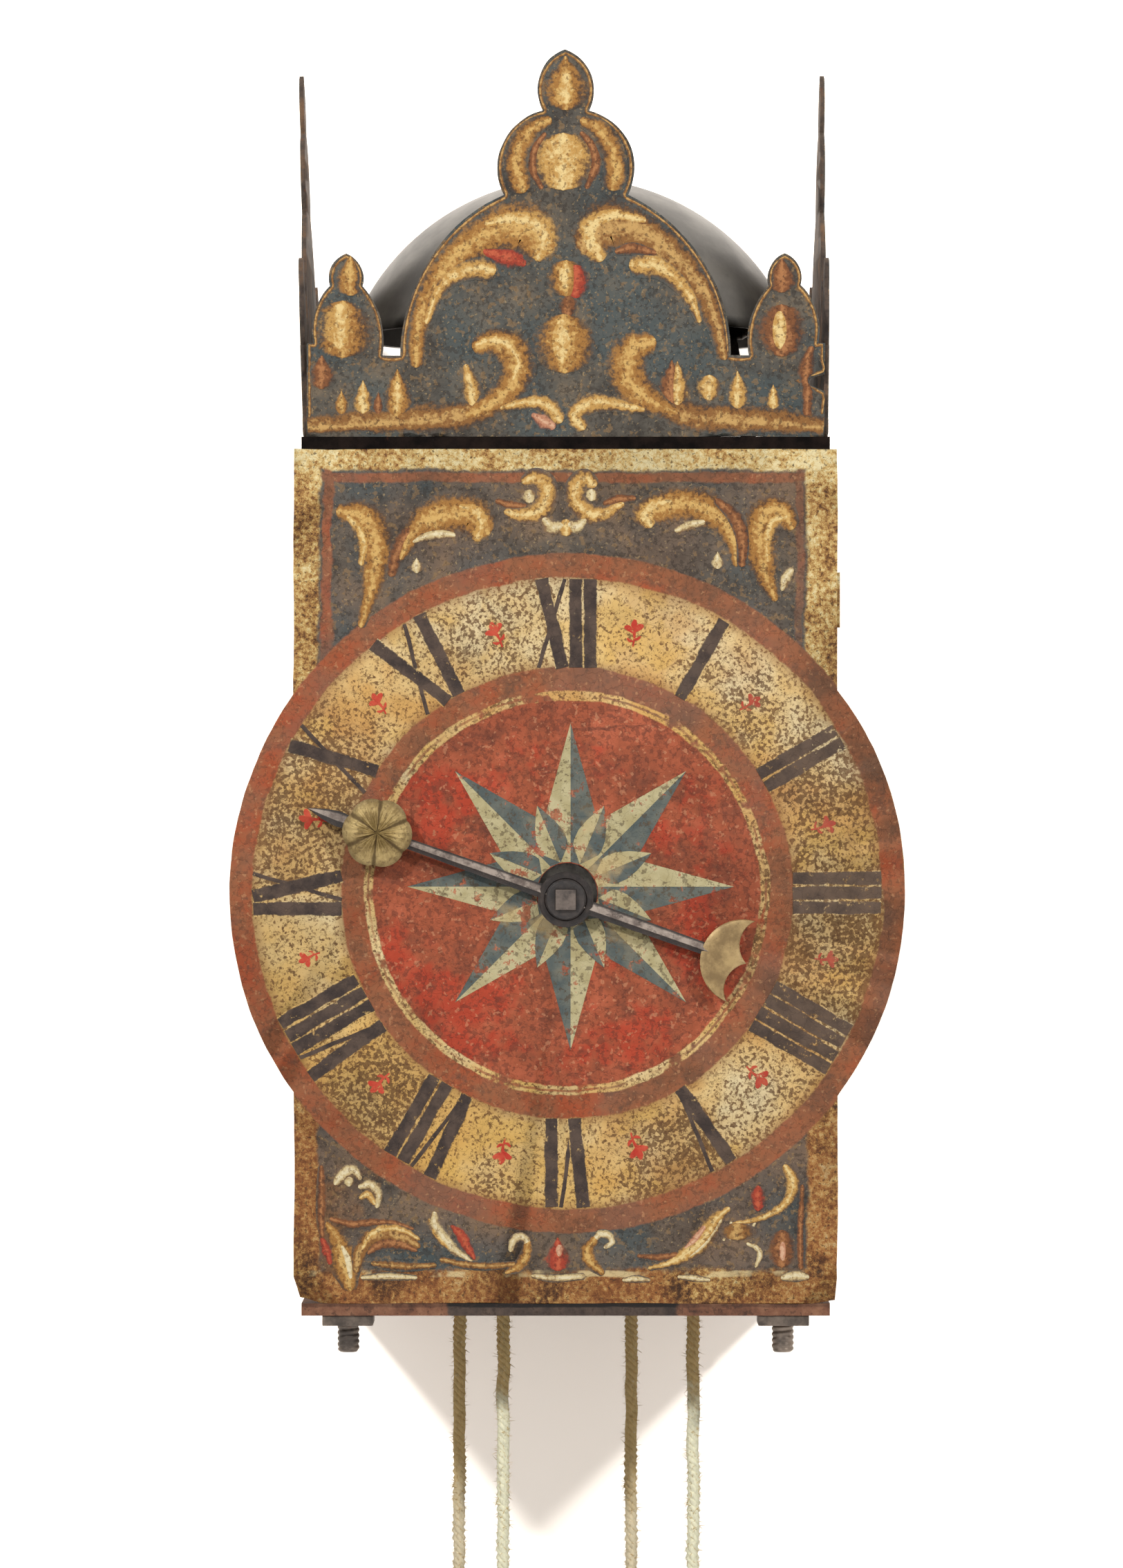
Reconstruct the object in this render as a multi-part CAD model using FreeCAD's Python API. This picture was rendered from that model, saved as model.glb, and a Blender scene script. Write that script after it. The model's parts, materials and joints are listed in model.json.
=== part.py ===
"""Iron wall clock with a posted frame, an hour hand, a foliot escapement and a striking train.

All sizes are millimetres.  The pieces are drawn in the case's own frame: x to the right, y backwards
from the front face of the dial plate, z upwards from the top face of the bottom plate.  On export
every piece is moved so that the origin lies in the hanging eye, on the wall.
"""
import FreeCAD
import Part

import math
import os

from FreeCAD import Vector

# Fits and drawing aids
running_fit = 0.06          # radial gap of a pivot in its hole
loose_fit = 0.3             # gap round pieces that pass through a hole without touching it
end_shake = 0.5             # gap between an arbor's shoulder and the bar
cut_margin = 1.0            # how far a cutter stands out of what it cuts

# Case
case_width = 172.0          # width of the top and bottom plates
case_depth = 148.0          # depth of the top and bottom plates
case_height = 278.0         # clear height between the plates
plate_thickness = 4.0
wall_gap = 22.0             # from the plates' rear edge to the wall
pillar_side = 10.0
pillar_inset_x = 15.0       # pillar's centre from the plate's side edge
pillar_inset_y = 9.0        # front pillar's centre from the plate's front edge
tenon_radius = 2.6          # pillar's upper tenon
shank_radius = 3.7          # pillar's lower end in the plate and the nut, over its thread
stud_radius = 3.2           # below the nut, at the root of its thread
stud_length = 12.5          # below the bottom plate
nut_width = 16.5
nut_thickness = 3.4
back_thickness = 1.5
back_half_width = 75.0

# Dial
dial_thickness = 2.0
dial_width = 177.0
dial_radius = 110.0
dial_x = 0.5                # the round dial's centre
dial_z = 133.5
dial_hole_radius = 9.8
foot_radius = 2.4
foot_head_radius = 4.5
foot_head_thickness = 2.4
foot_height_shares = (0.14, 0.86)   # of the case's height

# Crests
crest_width = 169.0
crest_height = 126.0
crest_thickness = 1.5
crest_setback = 1.0         # front crest behind the top plate's front edge
side_crest_gap = 5.0        # side crest's end from the plates' front and rear edges
side_crest_inset = 0.5      # side crest in from the top plate's side edge
left_crest_lean = 2.0       # degrees outwards
right_crest_lean = 0.85
tab_width = 12.0
tab_length = 10.0
front_tab_share = 0.53      # of the crest's half width
side_tab_share = 0.50

# Nick in the front crest's right edge, as parts of its half width and its height
nick_shares = ((1.02, 0.112), (1.02, 0.166), (0.906, 0.145))

# Half of the crest's outline, from the lower corner to the point of the middle finial.  Every entry
# ends a run; the first pair is a point on the way when the run is an arc, else None.
crest_outline_shares = (
    (None, (1.000, 0.242)),
    (None, (0.974, 0.242)),
    ((0.966, 0.330), (0.908, 0.392)),
    ((0.905, 0.436), (0.845, 0.474)),
    ((0.785, 0.436), (0.782, 0.392)),
    ((0.724, 0.330), (0.706, 0.210)),
    (None, (0.636, 0.210)),
    ((0.540, 0.443), (0.239, 0.625)),
    ((0.264, 0.710), (0.090, 0.844)),
    ((0.108, 0.916), (0.000, 1.000)),
)

# Rivets of the top plate
rivet_radius = 1.6
rivet_head_radius = 3.0
rivet_head_height = 1.4

# Hanging hoop and wall spurs
hoop_width = 24.0
hoop_thickness = 3.0
hoop_overlap = 17.0         # length of the hoop's foot on the top plate
eye_rise = 40.0             # eye above the top plate
eye_radius = 5.0
hoop_rivet_share = 0.30     # of the hoop's width, each side of its middle
spur_radius = 3.5
spur_height = 14.0
spur_point = 8.0            # length of the pointed end
spur_tip_radius = 0.6

# Bell
bell_x = 2.5
bell_front_gap = 5.0        # bell's front behind the dial's front face
bell_overhang = 9.0         # bell's rear behind the plates' rear edge
bell_side_gap = 5.5         # from the bell to the nearer side crest
bell_height = 54.0
bell_wall = 3.0
bell_lift = 38.0            # rim above the top plate
bell_post_radius = 4.5
bell_tenon_radius = 3.0
bell_tenon_length = 9.0     # above the bell
bell_nut_width = 12.0
bell_nut_thickness = 5.0
flange_width = 38.0
flange_depth = 14.0
flange_thickness = 3.0
flange_rivet_share = 0.36   # of the flange's width, each side of its middle

# Movement bars
bar_at = 20.0               # front face of the front bar
bar_thickness = 5.0
bar_width = 22.0
bar_tenon_width = 8.0
bar_tenon_rise = 8.0        # above the top plate, for the wedge
wedge_length = 18.0
wedge_height = 3.0
wedge_width = 2.2
lug_radius = 8.0
arm_height = 12.0
arm_reach = 5.5             # arm past the lever's pivot
rear_room = 21.5            # from the rear bar to the back plate
usual_room = 45.0           # between two bars, where the depths of the trains are as given below
bar_pitch = (case_depth - back_thickness - rear_room - bar_thickness - bar_at) / 2
room_share = (bar_pitch - bar_thickness) / usual_room

# Trains
pivot_radius = 2.0
arbor_side = 7.0
great_side = 9.0
great_core_radius = 5.0     # round part of a great arbor, under its pulley
journal_radius = 3.9        # great arbor where it passes through a bar
leaves = 8
great_teeth = 64
great_module = 1.65
second_teeth = 56
second_module = 1.7
hour_teeth = 96
hour_module = 1.0
count_teeth = 78
count_module = 1.4
wheel_thickness = 3.0 * room_share
great_thickness = 3.5 * room_share
wheel_gap = 4.0 * room_share  # from a bar to the second wheel
great_gap = 6.5 * room_share  # from a great wheel to the bar behind it
pinion_overhang = 2.25 * room_share
rim_modules = 5.0           # rim's inner radius below the pitch line, in modules
hub_share = 0.24            # hub's radius, of the pitch radius
arm_share = 0.17            # width of a wheel's arm, of the pitch radius

# Tooth and leaf: offset from the pitch line in modules, half width as a share of the pitch
tooth_shares = ((-1.25, 0.250), (0.00, 0.220), (0.55, 0.145), (0.90, 0.055))
leaf_shares = ((-1.35, 0.160), (0.00, 0.160), (0.35, 0.115), (0.60, 0.045))

# Arbor places across the case
hand_x = 0.0
hand_z = 131.5
going_great_x = 10.85
strike_great_x = -6.9
second_x = -14.0
crown_x = 0.0
hoop_x = 14.0
fly_x = 0.0
count_x = 4.0

# Hour arbor and hand
hour_wheel_at = 10.0        # front face of the hour wheel
hour_journal_radius = 4.0
hour_boss_radius = 8.0
hour_boss_length = 4.5      # in front of the front bar
hour_keeper_radius = 7.0
hour_keeper_thickness = 2.0
hand_shaft_radius = 4.7
hand_square = 6.6
hand_gap = 4.0              # from the dial to the hand
hand_thickness = 2.0
hand_angle = 160.5          # degrees, from the right, seen from the front
hand_length = 88.7
hand_bar_width = 4.2
hand_point_length = 13.0
hub_radius = 9.0
collar_radius = 6.2
collar_thickness = 1.8
square_end = 1.6            # square past the collar
rosette_from_tip = 23.8     # rosette's middle from the hand's point
rosette_radius = 11.2
rosette_petals = 6
rosette_petal_share = 0.52  # petal's radius, of the rosette's
rosette_thickness = 1.6
tail_length = 49.0          # to the crescent
crescent_radius = 12.4
crescent_distance = 59.0
crescent_end = 61.2         # where the crescent is cut straight across
crescent_bite_radius = 5.75
crescent_bite_distance = 62.4
crescent_bite_offset = 6.3  # each bite from the hand's middle line

# Pulleys and ropes
rope_radius = 2.25
going_rope_reach = 31.65    # rope's centre line round the going pulley
strike_rope_reach = 29.3
rope_hole_radius = 6.0
rope_drop = 112.0           # free rope below the bottom plate
pulley_width = 16.0 * room_share
pulley_flange = 4.5         # flange outside the rope's centre line
groove_angle = 25.0         # degrees, half of the groove's angle
groove_floor = 1.0          # half of the flat at the groove's bottom
rope_seat = 0.35            # gap from the rope to the groove's sides
ratchet_thickness = 3.5 * room_share
ratchet_radius = 26.0
ratchet_teeth = 20
ratchet_depth = 2.4
click_gap = 2.5 * room_share  # from the ratchet to the great wheel
click_clear = 1.0           # from the ratchet to the click at its closest
click_width = 4.6
click_pivot_radius = 2.0
click_boss_radius = 4.2
click_reach = 22.0          # pivot from the click's nose
keeper_radius = 9.0         # collar in front of a pulley
keeper_thickness = 2.4 * room_share
cam_radius = 6.5
cam_nose = 4.5
cam_thickness = 2.4
cam_at = 16.2

# Weights
eye_ring_radius = 6.0
eye_wire_radius = 2.0
neck_radius = 4.0
neck_length = 5.0
weight_radius = 25.0
weight_height = 92.0
weight_shoulder = 5.0
small_radius = 9.5
small_height = 26.0
small_shoulder = 3.0

# Escapement
crown_teeth = 15
crown_radius = 24.0
crown_rim = 2.4             # thickness of the crown wheel's band
crown_at_gap = 3.5 * room_share  # from the pinion to the crown wheel
crown_web = 3.0 * room_share  # thickness of its arms
crown_band = 12.0 * room_share  # from its front face to the teeth's points
crown_tooth = 5.0 * room_share  # depth of a tooth
crown_slope_share = 0.72    # of the tooth's pitch, cut away at its point
verge_radius = 2.0
verge_gap = 8.0 * room_share  # from the teeth's points to the verge
pallet_gap = 0.6            # from the teeth's points to the pallets' edges
pallet_height = 5.0
pallet_thickness = 1.2
pallet_angle = 50.0         # degrees, each pallet from straight forward
verge_tail = 8.0            # verge below the lower pallet
verge_pivot_radius = 1.2
verge_pivot_length = 3.0
verge_clear = 1.2           # round the verge in the top plate
cock_thickness = 4.0
cock_width = 10.0
potence_thickness = 3.0 * room_share
potence_gap = 1.5 * room_share  # behind the crown wheel's points
potence_height = 9.0
potence_arm = 5.0
potence_offset = 7.5
foliot_rise = 14.0          # foliot above the top plate
foliot_half = 66.0
foliot_width = 6.0
foliot_height = 3.0
foliot_hub_radius = 6.0
foliot_square = 3.6
foliot_notches = 8
foliot_notch_pitch = 5.0
foliot_notch_depth = 1.0
foliot_notch_width = 1.6
foliot_weight_at = 54.0
foliot_weight_width = 7.0
foliot_weight_depth = 12.0
foliot_weight_drop = 9.0
foliot_weight_wall = 2.4
foliot_weight_fit = 0.2
verge_top = 3.0             # verge above the foliot
foliot_pivot_radius = 1.5
gallows_foot_at = 28.0
gallows_foot_width = 18.0
gallows_foot_depth = 13.0
gallows_foot_thickness = 3.0
gallows_width = 8.0
gallows_thickness = 5.0

# Striking work
pin_count = 8
pin_radius = 1.8
pin_length = 6.0 * room_share
pin_inset_modules = 3.6     # pin circle below the pitch line, in modules
lever_x = 67.5              # hammer and lever arbors from the middle of the case
lever_z = 150.0
lever_radius = 3.5
hammer_bar = 5.0
hammer_bar_thickness = 4.0
hammer_at_share = 0.58      # of the way from the middle bar to the rear bar
hammer_bend_z = 262.0
hammer_from_rim = 20.8      # head's middle in from the bell's rim, where the hammer stands
hammer_above_rim = 7.0      # head's middle above the bell's rim
hammer_head_radius = 6.0
hammer_head_length = 11.0
hammer_nose_length = 6.0
hammer_nose_radius = 2.4
hammer_slot_margin = 3.0
hammer_swing = 26.0         # room for the head inwards of its rest
tail_clear = 0.6            # from the tail to the pins
hoop_band_radius = 40.0
hoop_band_wall = 2.0
hoop_band_height = 4.5 * room_share
hoop_band_gap_angle = 40.0  # degrees, opening in the hoop
lever_arm_width = 6.0
lever_arm_thickness = 2.4 * room_share
lever_clear = 0.6           # from a lever's nose to what it drops on
count_plate_radius = 47.0
count_plate_thickness = 2.5
count_notch_width = 2.6
count_notch_depth = 4.0
count_arbor_radius = 3.0
count_keeper_radius = 4.4
count_keeper_thickness = 2.0
count_gap = 3.0             # from the rear bar to the count wheel
fly_tube_radius = 4.5
fly_round_radius = 3.0
fly_vane_reach = 26.0
fly_vane_thickness = 1.2
fly_vane_length = 24.0 * room_share
fly_gap = 6.0 * room_share  # from its pinion to the vane

# Doors
door_thickness = 1.5
door_gap = 1.0              # from a door to the pillars and plates
door_front = 5.0            # door's front edge behind the dial's front face
door_roll_radius = 2.5
door_pin_radius = 1.6
door_pin_length = 3.0
door_axis_inset = 11.0      # door's pins from the plates' rear edge
door_tab_height = 18.0
door_tab_z = 229.0
door_tab_thickness = 2.0
right_tab_reach = 11.0
left_tab_reach = 8.0

# Places that follow from the sizes
half_width = case_width / 2
top_z = case_height + plate_thickness
pillar_x = half_width - pillar_inset_x
pillar_rear_y = case_depth - back_thickness - pillar_side / 2
wall_y = case_depth + wall_gap
eye_z = top_z + eye_rise
to_wall = Vector(0, -wall_y, -eye_z)
side_crest_width = case_depth - 2 * side_crest_gap
bell_radius = min(
    half_width - side_crest_inset - crest_thickness - bell_x - bell_side_gap,
    (case_depth + bell_overhang - bell_front_gap) / 2,
)                           # outside, at the rim
bell_y = bell_front_gap + bell_radius
door_axis_y = case_depth - door_axis_inset
rosette_distance = hand_length - rosette_from_tip
middle_at = bar_at + bar_pitch
rear_at = middle_at + bar_pitch


def centre_distance(teeth, module):
    """Distance between a wheel of that many teeth and its pinion."""
    return (teeth + leaves) * module / 2


def rise(across, distance):
    """How far an arbor lies above another when it lies that far across from it."""
    return math.sqrt(distance ** 2 - across ** 2)


great_z = hand_z - rise(going_great_x - hand_x, centre_distance(hour_teeth, hour_module))
second_z = great_z + rise(second_x - going_great_x, centre_distance(great_teeth, great_module))
crown_z = second_z + rise(crown_x - second_x, centre_distance(second_teeth, second_module))
hoop_z = great_z + rise(hoop_x - strike_great_x, centre_distance(great_teeth, great_module))
fly_z = hoop_z + rise(fly_x - hoop_x, centre_distance(second_teeth, second_module))
count_z = great_z + rise(count_x - strike_great_x, centre_distance(count_teeth, count_module))

going_great = (going_great_x, great_z)
strike_great = (strike_great_x, great_z)
second = (second_x, second_z)
crown = (crown_x, crown_z)
hoop = (hoop_x, hoop_z)
fly = (fly_x, fly_z)
count = (count_x, count_z)
hour = (hand_x, hand_z)
left_lever = (-lever_x, lever_z)
right_lever = (lever_x, lever_z)


class Planes:
    """Depths of one train between two bars."""

    def __init__(self, front_at):
        self.bar_rear = front_at + bar_thickness
        self.next_bar = front_at + bar_pitch
        self.wheel = self.bar_rear + wheel_gap
        self.wheel_end = self.wheel + wheel_thickness
        self.great = self.next_bar - great_gap - great_thickness
        self.great_end = self.great + great_thickness
        self.ratchet = self.great - click_gap - ratchet_thickness
        self.pulley = self.ratchet - pulley_width
        self.rope = self.pulley + pulley_width / 2
        self.pinion = self.great - pinion_overhang
        self.pinion_end = self.great_end + pinion_overhang
        self.third = self.wheel - pinion_overhang
        self.third_end = self.wheel_end + pinion_overhang


going_planes = Planes(bar_at)
strike_planes = Planes(middle_at)
crown_at = going_planes.third_end + crown_at_gap
crown_tips = crown_at + crown_band
verge_y = crown_tips + verge_gap
verge_low_z = crown_z - crown_radius - pallet_height - verge_tail
foliot_z = top_z + foliot_rise
foliot_top_z = foliot_z + foliot_height
bell_rim_z = top_z + bell_lift
bell_top_z = bell_rim_z + bell_height
hammer_y = middle_at + bar_thickness + hammer_at_share * (bar_pitch - bar_thickness)
hammer_head_z = bell_rim_z + hammer_above_rim
hammer_chord = math.sqrt(bell_radius ** 2 - (hammer_y - bell_y) ** 2)   # bell's half width at the hammer
hammer_lean = lever_x - bell_x - hammer_chord + hammer_from_rim   # head's middle in from its arbor
count_at = rear_at + bar_thickness + count_gap
count_plate_at = count_at + wheel_thickness
rope_end_z = -plate_thickness - rope_drop
nut_low_z = -plate_thickness - nut_thickness
pin_reach = great_teeth * great_module / 2 - pin_inset_modules * great_module
door_axis_x = half_width - pillar_inset_x + pillar_side / 2 + door_gap + door_roll_radius


def box(x, y, z):
    """Box between the two ends given for every direction."""
    return Part.makeBox(x[1] - x[0], y[1] - y[0], z[1] - z[0], Vector(x[0], y[0], z[0]))


def rod_x(y, z, radius, x0, x1):
    """Round bar along x."""
    return Part.makeCylinder(radius, x1 - x0, Vector(x0, y, z), Vector(1, 0, 0))


def rod_y(at, radius, y0, y1):
    """Round bar along y round the point (x, z)."""
    return Part.makeCylinder(radius, y1 - y0, Vector(at[0], y0, at[1]), Vector(0, 1, 0))


def rod_z(x, y, radius, z0, z1):
    """Round bar along z."""
    return Part.makeCylinder(radius, z1 - z0, Vector(x, y, z0))


def square_y(at, side, y0, y1):
    """Square bar along y round the point (x, z)."""
    half = side / 2
    return box((at[0] - half, at[0] + half), (y0, y1), (at[1] - half, at[1] + half))


def prism(points, y0, y1):
    """Solid between y0 and y1 with the outline of the (x, z) points."""
    corners = [Vector(x, y0, z) for x, z in points]
    face = Part.Face(Part.makePolygon(corners + corners[:1]))
    return face.extrude(Vector(0, y1 - y0, 0))


def bar_between(start, end, width, y0, y1):
    """Flat bar in the (x, z) plane from one point to the other."""
    run_x, run_z = end[0] - start[0], end[1] - start[1]
    length = math.hypot(run_x, run_z)
    side_x, side_z = -run_z / length * width / 2, run_x / length * width / 2
    corners = (
        (start[0] + side_x, start[1] + side_z),
        (start[0] - side_x, start[1] - side_z),
        (end[0] - side_x, end[1] - side_z),
        (end[0] + side_x, end[1] + side_z),
    )
    return prism(corners, y0, y1)


def joined(shapes):
    """One solid of shapes that meet."""
    return shapes[0].multiFuse(shapes[1:]).removeSplitter()


def polar(at, radius, angle):
    """Point at that distance and angle from the point (x, z)."""
    return (at[0] + radius * math.cos(angle), at[1] + radius * math.sin(angle))


def bearing(start, end):
    """Angle of the line from one point to the other."""
    return math.atan2(end[1] - start[1], end[0] - start[0])


def towards(start, end, distance):
    """Point on the line to the other point, at that distance from the start."""
    return polar(start, distance, bearing(start, end))


def gear_outline(at, teeth, module, shares, phase):
    """Outline of a toothed wheel with a tooth's middle at the angle phase."""
    pitch_angle = 2 * math.pi / teeth
    points = []
    for index in range(teeth):
        middle = phase + index * pitch_angle
        for offset, half in shares:
            points.append(polar(at, (teeth / 2 + offset) * module, middle - half * pitch_angle))
        for offset, half in reversed(shares):
            points.append(polar(at, (teeth / 2 + offset) * module, middle + half * pitch_angle))
    return points


def wheel(at, teeth, module, y0, y1, pinion_at, side):
    """Wheel with four arms, square on its arbor, with a tooth on the line to its pinion."""
    body = prism(gear_outline(at, teeth, module, tooth_shares, bearing(at, pinion_at)), y0, y1)
    pitch_radius = teeth * module / 2
    rim = pitch_radius - rim_modules * module
    half = arm_share * pitch_radius / 2
    low, high = y0 - cut_margin, y1 + cut_margin
    ring = rod_y(at, rim, low, high).cut(rod_y(at, hub_share * pitch_radius, low, high))
    arms = (
        box((at[0] - rim, at[0] + rim), (low, high), (at[1] - half, at[1] + half)),
        box((at[0] - half, at[0] + half), (low, high), (at[1] - rim, at[1] + rim)),
    )
    windows = ring.cut(arms[0]).cut(arms[1])
    return body.cut([windows, square_y(at, side, low, high)])


def pinion(at, module, y0, y1, wheel_at):
    """Pinion with a space between its leaves on the line to its wheel."""
    phase = bearing(at, wheel_at) + math.pi / leaves
    return prism(gear_outline(at, leaves, module, leaf_shares, phase), y0, y1)


def crest(width):
    """Cut sheet with its lower edge's middle at the origin, facing forward."""
    half = width / 2
    corner = Vector(half, 0, 0)
    edges = [Part.LineSegment(Vector(0, 0, 0), corner)]
    last = corner
    for middle, end in crest_outline_shares:
        stop = Vector(end[0] * half, 0, end[1] * crest_height)
        if middle is None:
            edges.append(Part.LineSegment(last, stop))
        else:
            way = Vector(middle[0] * half, 0, middle[1] * crest_height)
            edges.append(Part.Arc(last, way, stop))
        last = stop
    edges.append(Part.LineSegment(last, Vector(0, 0, 0)))
    right = Part.Face(Part.Wire([edge.toShape() for edge in edges]))
    right = right.extrude(Vector(0, crest_thickness, 0))
    left = right.mirror(Vector(0, 0, 0), Vector(1, 0, 0))
    return right.fuse(left).removeSplitter()


def leaning(sheet, width, lean):
    """Crest tilted forwards about its foot, whose lower edge stays level."""
    sheet.rotate(Vector(0, 0, 0), Vector(1, 0, 0), lean)
    sheet.translate(Vector(0, 0, -crest_thickness * math.sin(math.radians(lean))))
    return sheet.cut(box((-width, width), (-tab_length, tab_length), (-tab_length, 0)))


def crest_with_tabs(width, tab_share, lean=0):
    """Crest with two feet bent backwards, drilled for the rivets."""
    parts = [leaning(crest(width), width, lean) if lean else crest(width)]
    holes = []
    for side in (-1, 1):
        x = side * tab_share * width / 2
        reach = (crest_thickness / 2, crest_thickness + tab_length)
        parts.append(box((x - tab_width / 2, x + tab_width / 2), reach, (0, crest_thickness)))
        hole_y = crest_thickness + tab_length / 2
        holes.append(rod_z(x, hole_y, rivet_radius + running_fit, -cut_margin, crest_thickness + cut_margin))
    return joined(parts).cut(holes)


def rivet_places():
    """Every rivet of the top plate: x, y and the thickness under its head."""
    places = []
    front_y = crest_setback + crest_thickness + tab_length / 2
    side_x = half_width - side_crest_inset - crest_thickness - tab_length / 2
    for side in (-1, 1):
        places.append((side * front_tab_share * crest_width / 2, front_y, crest_thickness))
        side_y = case_depth / 2 + side * side_tab_share * side_crest_width / 2
        places.append((-side_x, side_y, crest_thickness))
        places.append((side_x, side_y, crest_thickness))
        hoop_y = case_depth - hoop_overlap / 2
        places.append((side * hoop_rivet_share * hoop_width, hoop_y, hoop_thickness))
        places.append((bell_x + side * flange_rivet_share * flange_width, bell_y, flange_thickness))
    return places


def pillar_places():
    """Centre of every pillar."""
    return [(side * pillar_x, y) for side in (-1, 1) for y in (pillar_inset_y, pillar_rear_y)]


def rope_places():
    """Where the four runs of rope pass the bottom plate."""
    places = []
    for axis, reach, planes in (
        (going_great_x, going_rope_reach, going_planes),
        (strike_great_x, strike_rope_reach, strike_planes),
    ):
        places.append((axis - reach, planes.rope))
        places.append((axis + reach, planes.rope))
    return places


def bar_mortises(z0, z1):
    """Cutters for the bars' tenons."""
    half = bar_tenon_width / 2 + running_fit
    cutters = []
    for front in (bar_at, middle_at, rear_at):
        depth = (front - running_fit, front + bar_thickness + running_fit)
        cutters.append(box((-half, half), depth, (z0, z1)))
    return cutters


def plates():
    """Bottom plate and top plate."""
    width = (-half_width, half_width)
    low, high = -plate_thickness - cut_margin, cut_margin
    cutters = bar_mortises(low, high)
    for x, y in pillar_places():
        cutters.append(rod_z(x, y, shank_radius + running_fit, low, high))
    for x, y in rope_places():
        cutters.append(rod_z(x, y, rope_hole_radius, low, high))
    for side in (-1, 1):
        cutters.append(rod_z(side * door_axis_x, door_axis_y, door_pin_radius + running_fit, low, high))
    bottom = box(width, (0, case_depth), (-plate_thickness, 0)).cut(cutters)

    low, high = case_height - cut_margin, top_z + cut_margin
    cutters = bar_mortises(low, high)
    for x, y in pillar_places():
        cutters.append(rod_z(x, y, tenon_radius + running_fit, low, high))
    for side in (-1, 1):
        cutters.append(rod_z(side * door_axis_x, door_axis_y, door_pin_radius + running_fit, low, high))
    for x, y, _ in rivet_places():
        cutters.append(rod_z(x, y, rivet_radius + running_fit, low, high))
    cutters.append(rod_z(crown_x, verge_y, verge_radius + verge_clear, low, high))
    slot_x = (
        lever_x - hammer_lean - hammer_swing,
        lever_x + hammer_bar / 2 + hammer_slot_margin,
    )
    slot_half = hammer_bar_thickness / 2 + hammer_slot_margin
    cutters.append(box(slot_x, (hammer_y - slot_half, hammer_y + slot_half), (low, high)))
    top = box(width, (0, case_depth), (case_height, top_z)).cut(cutters)
    return bottom, top


def foot_places():
    """Height of the dial's feet and the two pillars that they go through."""
    return [(side * pillar_x, share * case_height) for side in (-1, 1) for share in foot_height_shares]


def pillars():
    """Four square pillars with an upper tenon and a lower stud."""
    solids = []
    half = pillar_side / 2
    for x, y in pillar_places():
        post = joined([
            box((x - half, x + half), (y - half, y + half), (0, case_height)),
            rod_z(x, y, shank_radius, nut_low_z, 0),
            rod_z(x, y, stud_radius, -plate_thickness - stud_length, nut_low_z),
            rod_z(x, y, tenon_radius, case_height, top_z),
        ])
        if y == pillar_inset_y:
            ends = (y - half - cut_margin, y + half + cut_margin)
            holes = [rod_y(place, foot_radius + running_fit, *ends) for place in foot_places() if place[0] == x]
            post = post.cut(holes)
        solids.append(post)
    return Part.makeCompound(solids)


def pillar_nuts():
    """Four square nuts under the bottom plate."""
    solids = []
    half = nut_width / 2
    low, high = nut_low_z, -plate_thickness
    for x, y in pillar_places():
        nut = box((x - half, x + half), (y - half, y + half), (low, high))
        solids.append(nut.cut(rod_z(x, y, shank_radius + running_fit, low - cut_margin, high + cut_margin)))
    return Part.makeCompound(solids)


def dial_plate():
    """Plate with the round dial standing out at both sides."""
    half = dial_width / 2
    sheet = joined([
        box((-half, half), (0, dial_thickness), (0, case_height)),
        rod_y((dial_x, dial_z), dial_radius, 0, dial_thickness),
    ])
    return sheet.cut(rod_y((dial_x, dial_z), dial_hole_radius, -cut_margin, dial_thickness + cut_margin))


def dial_feet():
    """Four feet from the dial plate through the front pillars."""
    solids = []
    behind = pillar_inset_y + pillar_side / 2
    for place in foot_places():
        solids.append(joined([
            rod_y(place, foot_radius, dial_thickness, behind),
            rod_y(place, foot_head_radius, behind, behind + foot_head_thickness),
        ]))
    return Part.makeCompound(solids)


def front_crest():
    """Crest over the dial plate, nicked at its right edge."""
    corners = [(across * crest_width / 2, up * crest_height) for across, up in nick_shares]
    nick = prism(corners, -cut_margin, crest_thickness + cut_margin)
    shape = crest_with_tabs(crest_width, front_tab_share).cut(nick)
    shape.translate(Vector(0, crest_setback, top_z))
    return shape


def side_crest(side):
    """Crest at the left (-1) or the right (1)."""
    lean = right_crest_lean if side > 0 else left_crest_lean
    shape = crest_with_tabs(side_crest_width, side_tab_share, lean)
    shape.rotate(Vector(0, 0, 0), Vector(0, 0, 1), side * 90)
    shape.translate(Vector(side * (half_width - side_crest_inset), case_depth / 2, top_z))
    return shape


def back_plate():
    """Sheet behind the rear pillars, with holes for the spurs."""
    front = case_depth - back_thickness
    sheet = box((-back_half_width, back_half_width), (front, case_depth), (0, case_height))
    holes = []
    for side in (-1, 1):
        place = (side * pillar_x, spur_height)
        holes.append(rod_y(place, spur_radius + running_fit, front - cut_margin, case_depth + cut_margin))
    return sheet.cut(holes)


def hanging_hoop():
    """Strap with the hanging eye, riveted to the top plate."""
    half = hoop_width / 2
    wall_face = (wall_y - hoop_thickness, wall_y)
    strap = joined([
        box((-half, half), (case_depth - hoop_overlap, wall_y), (top_z, top_z + hoop_thickness)),
        box((-half, half), wall_face, (top_z, eye_z)),
        rod_y((0, eye_z), half, *wall_face),
    ])
    holes = [rod_y((0, eye_z), eye_radius, wall_face[0] - cut_margin, wall_face[1] + cut_margin)]
    for side in (-1, 1):
        x = side * hoop_rivet_share * hoop_width
        top = top_z + hoop_thickness + cut_margin
        holes.append(rod_z(x, case_depth - hoop_overlap / 2, rivet_radius + running_fit, top_z - cut_margin, top))
    return strap.cut(holes)


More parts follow.
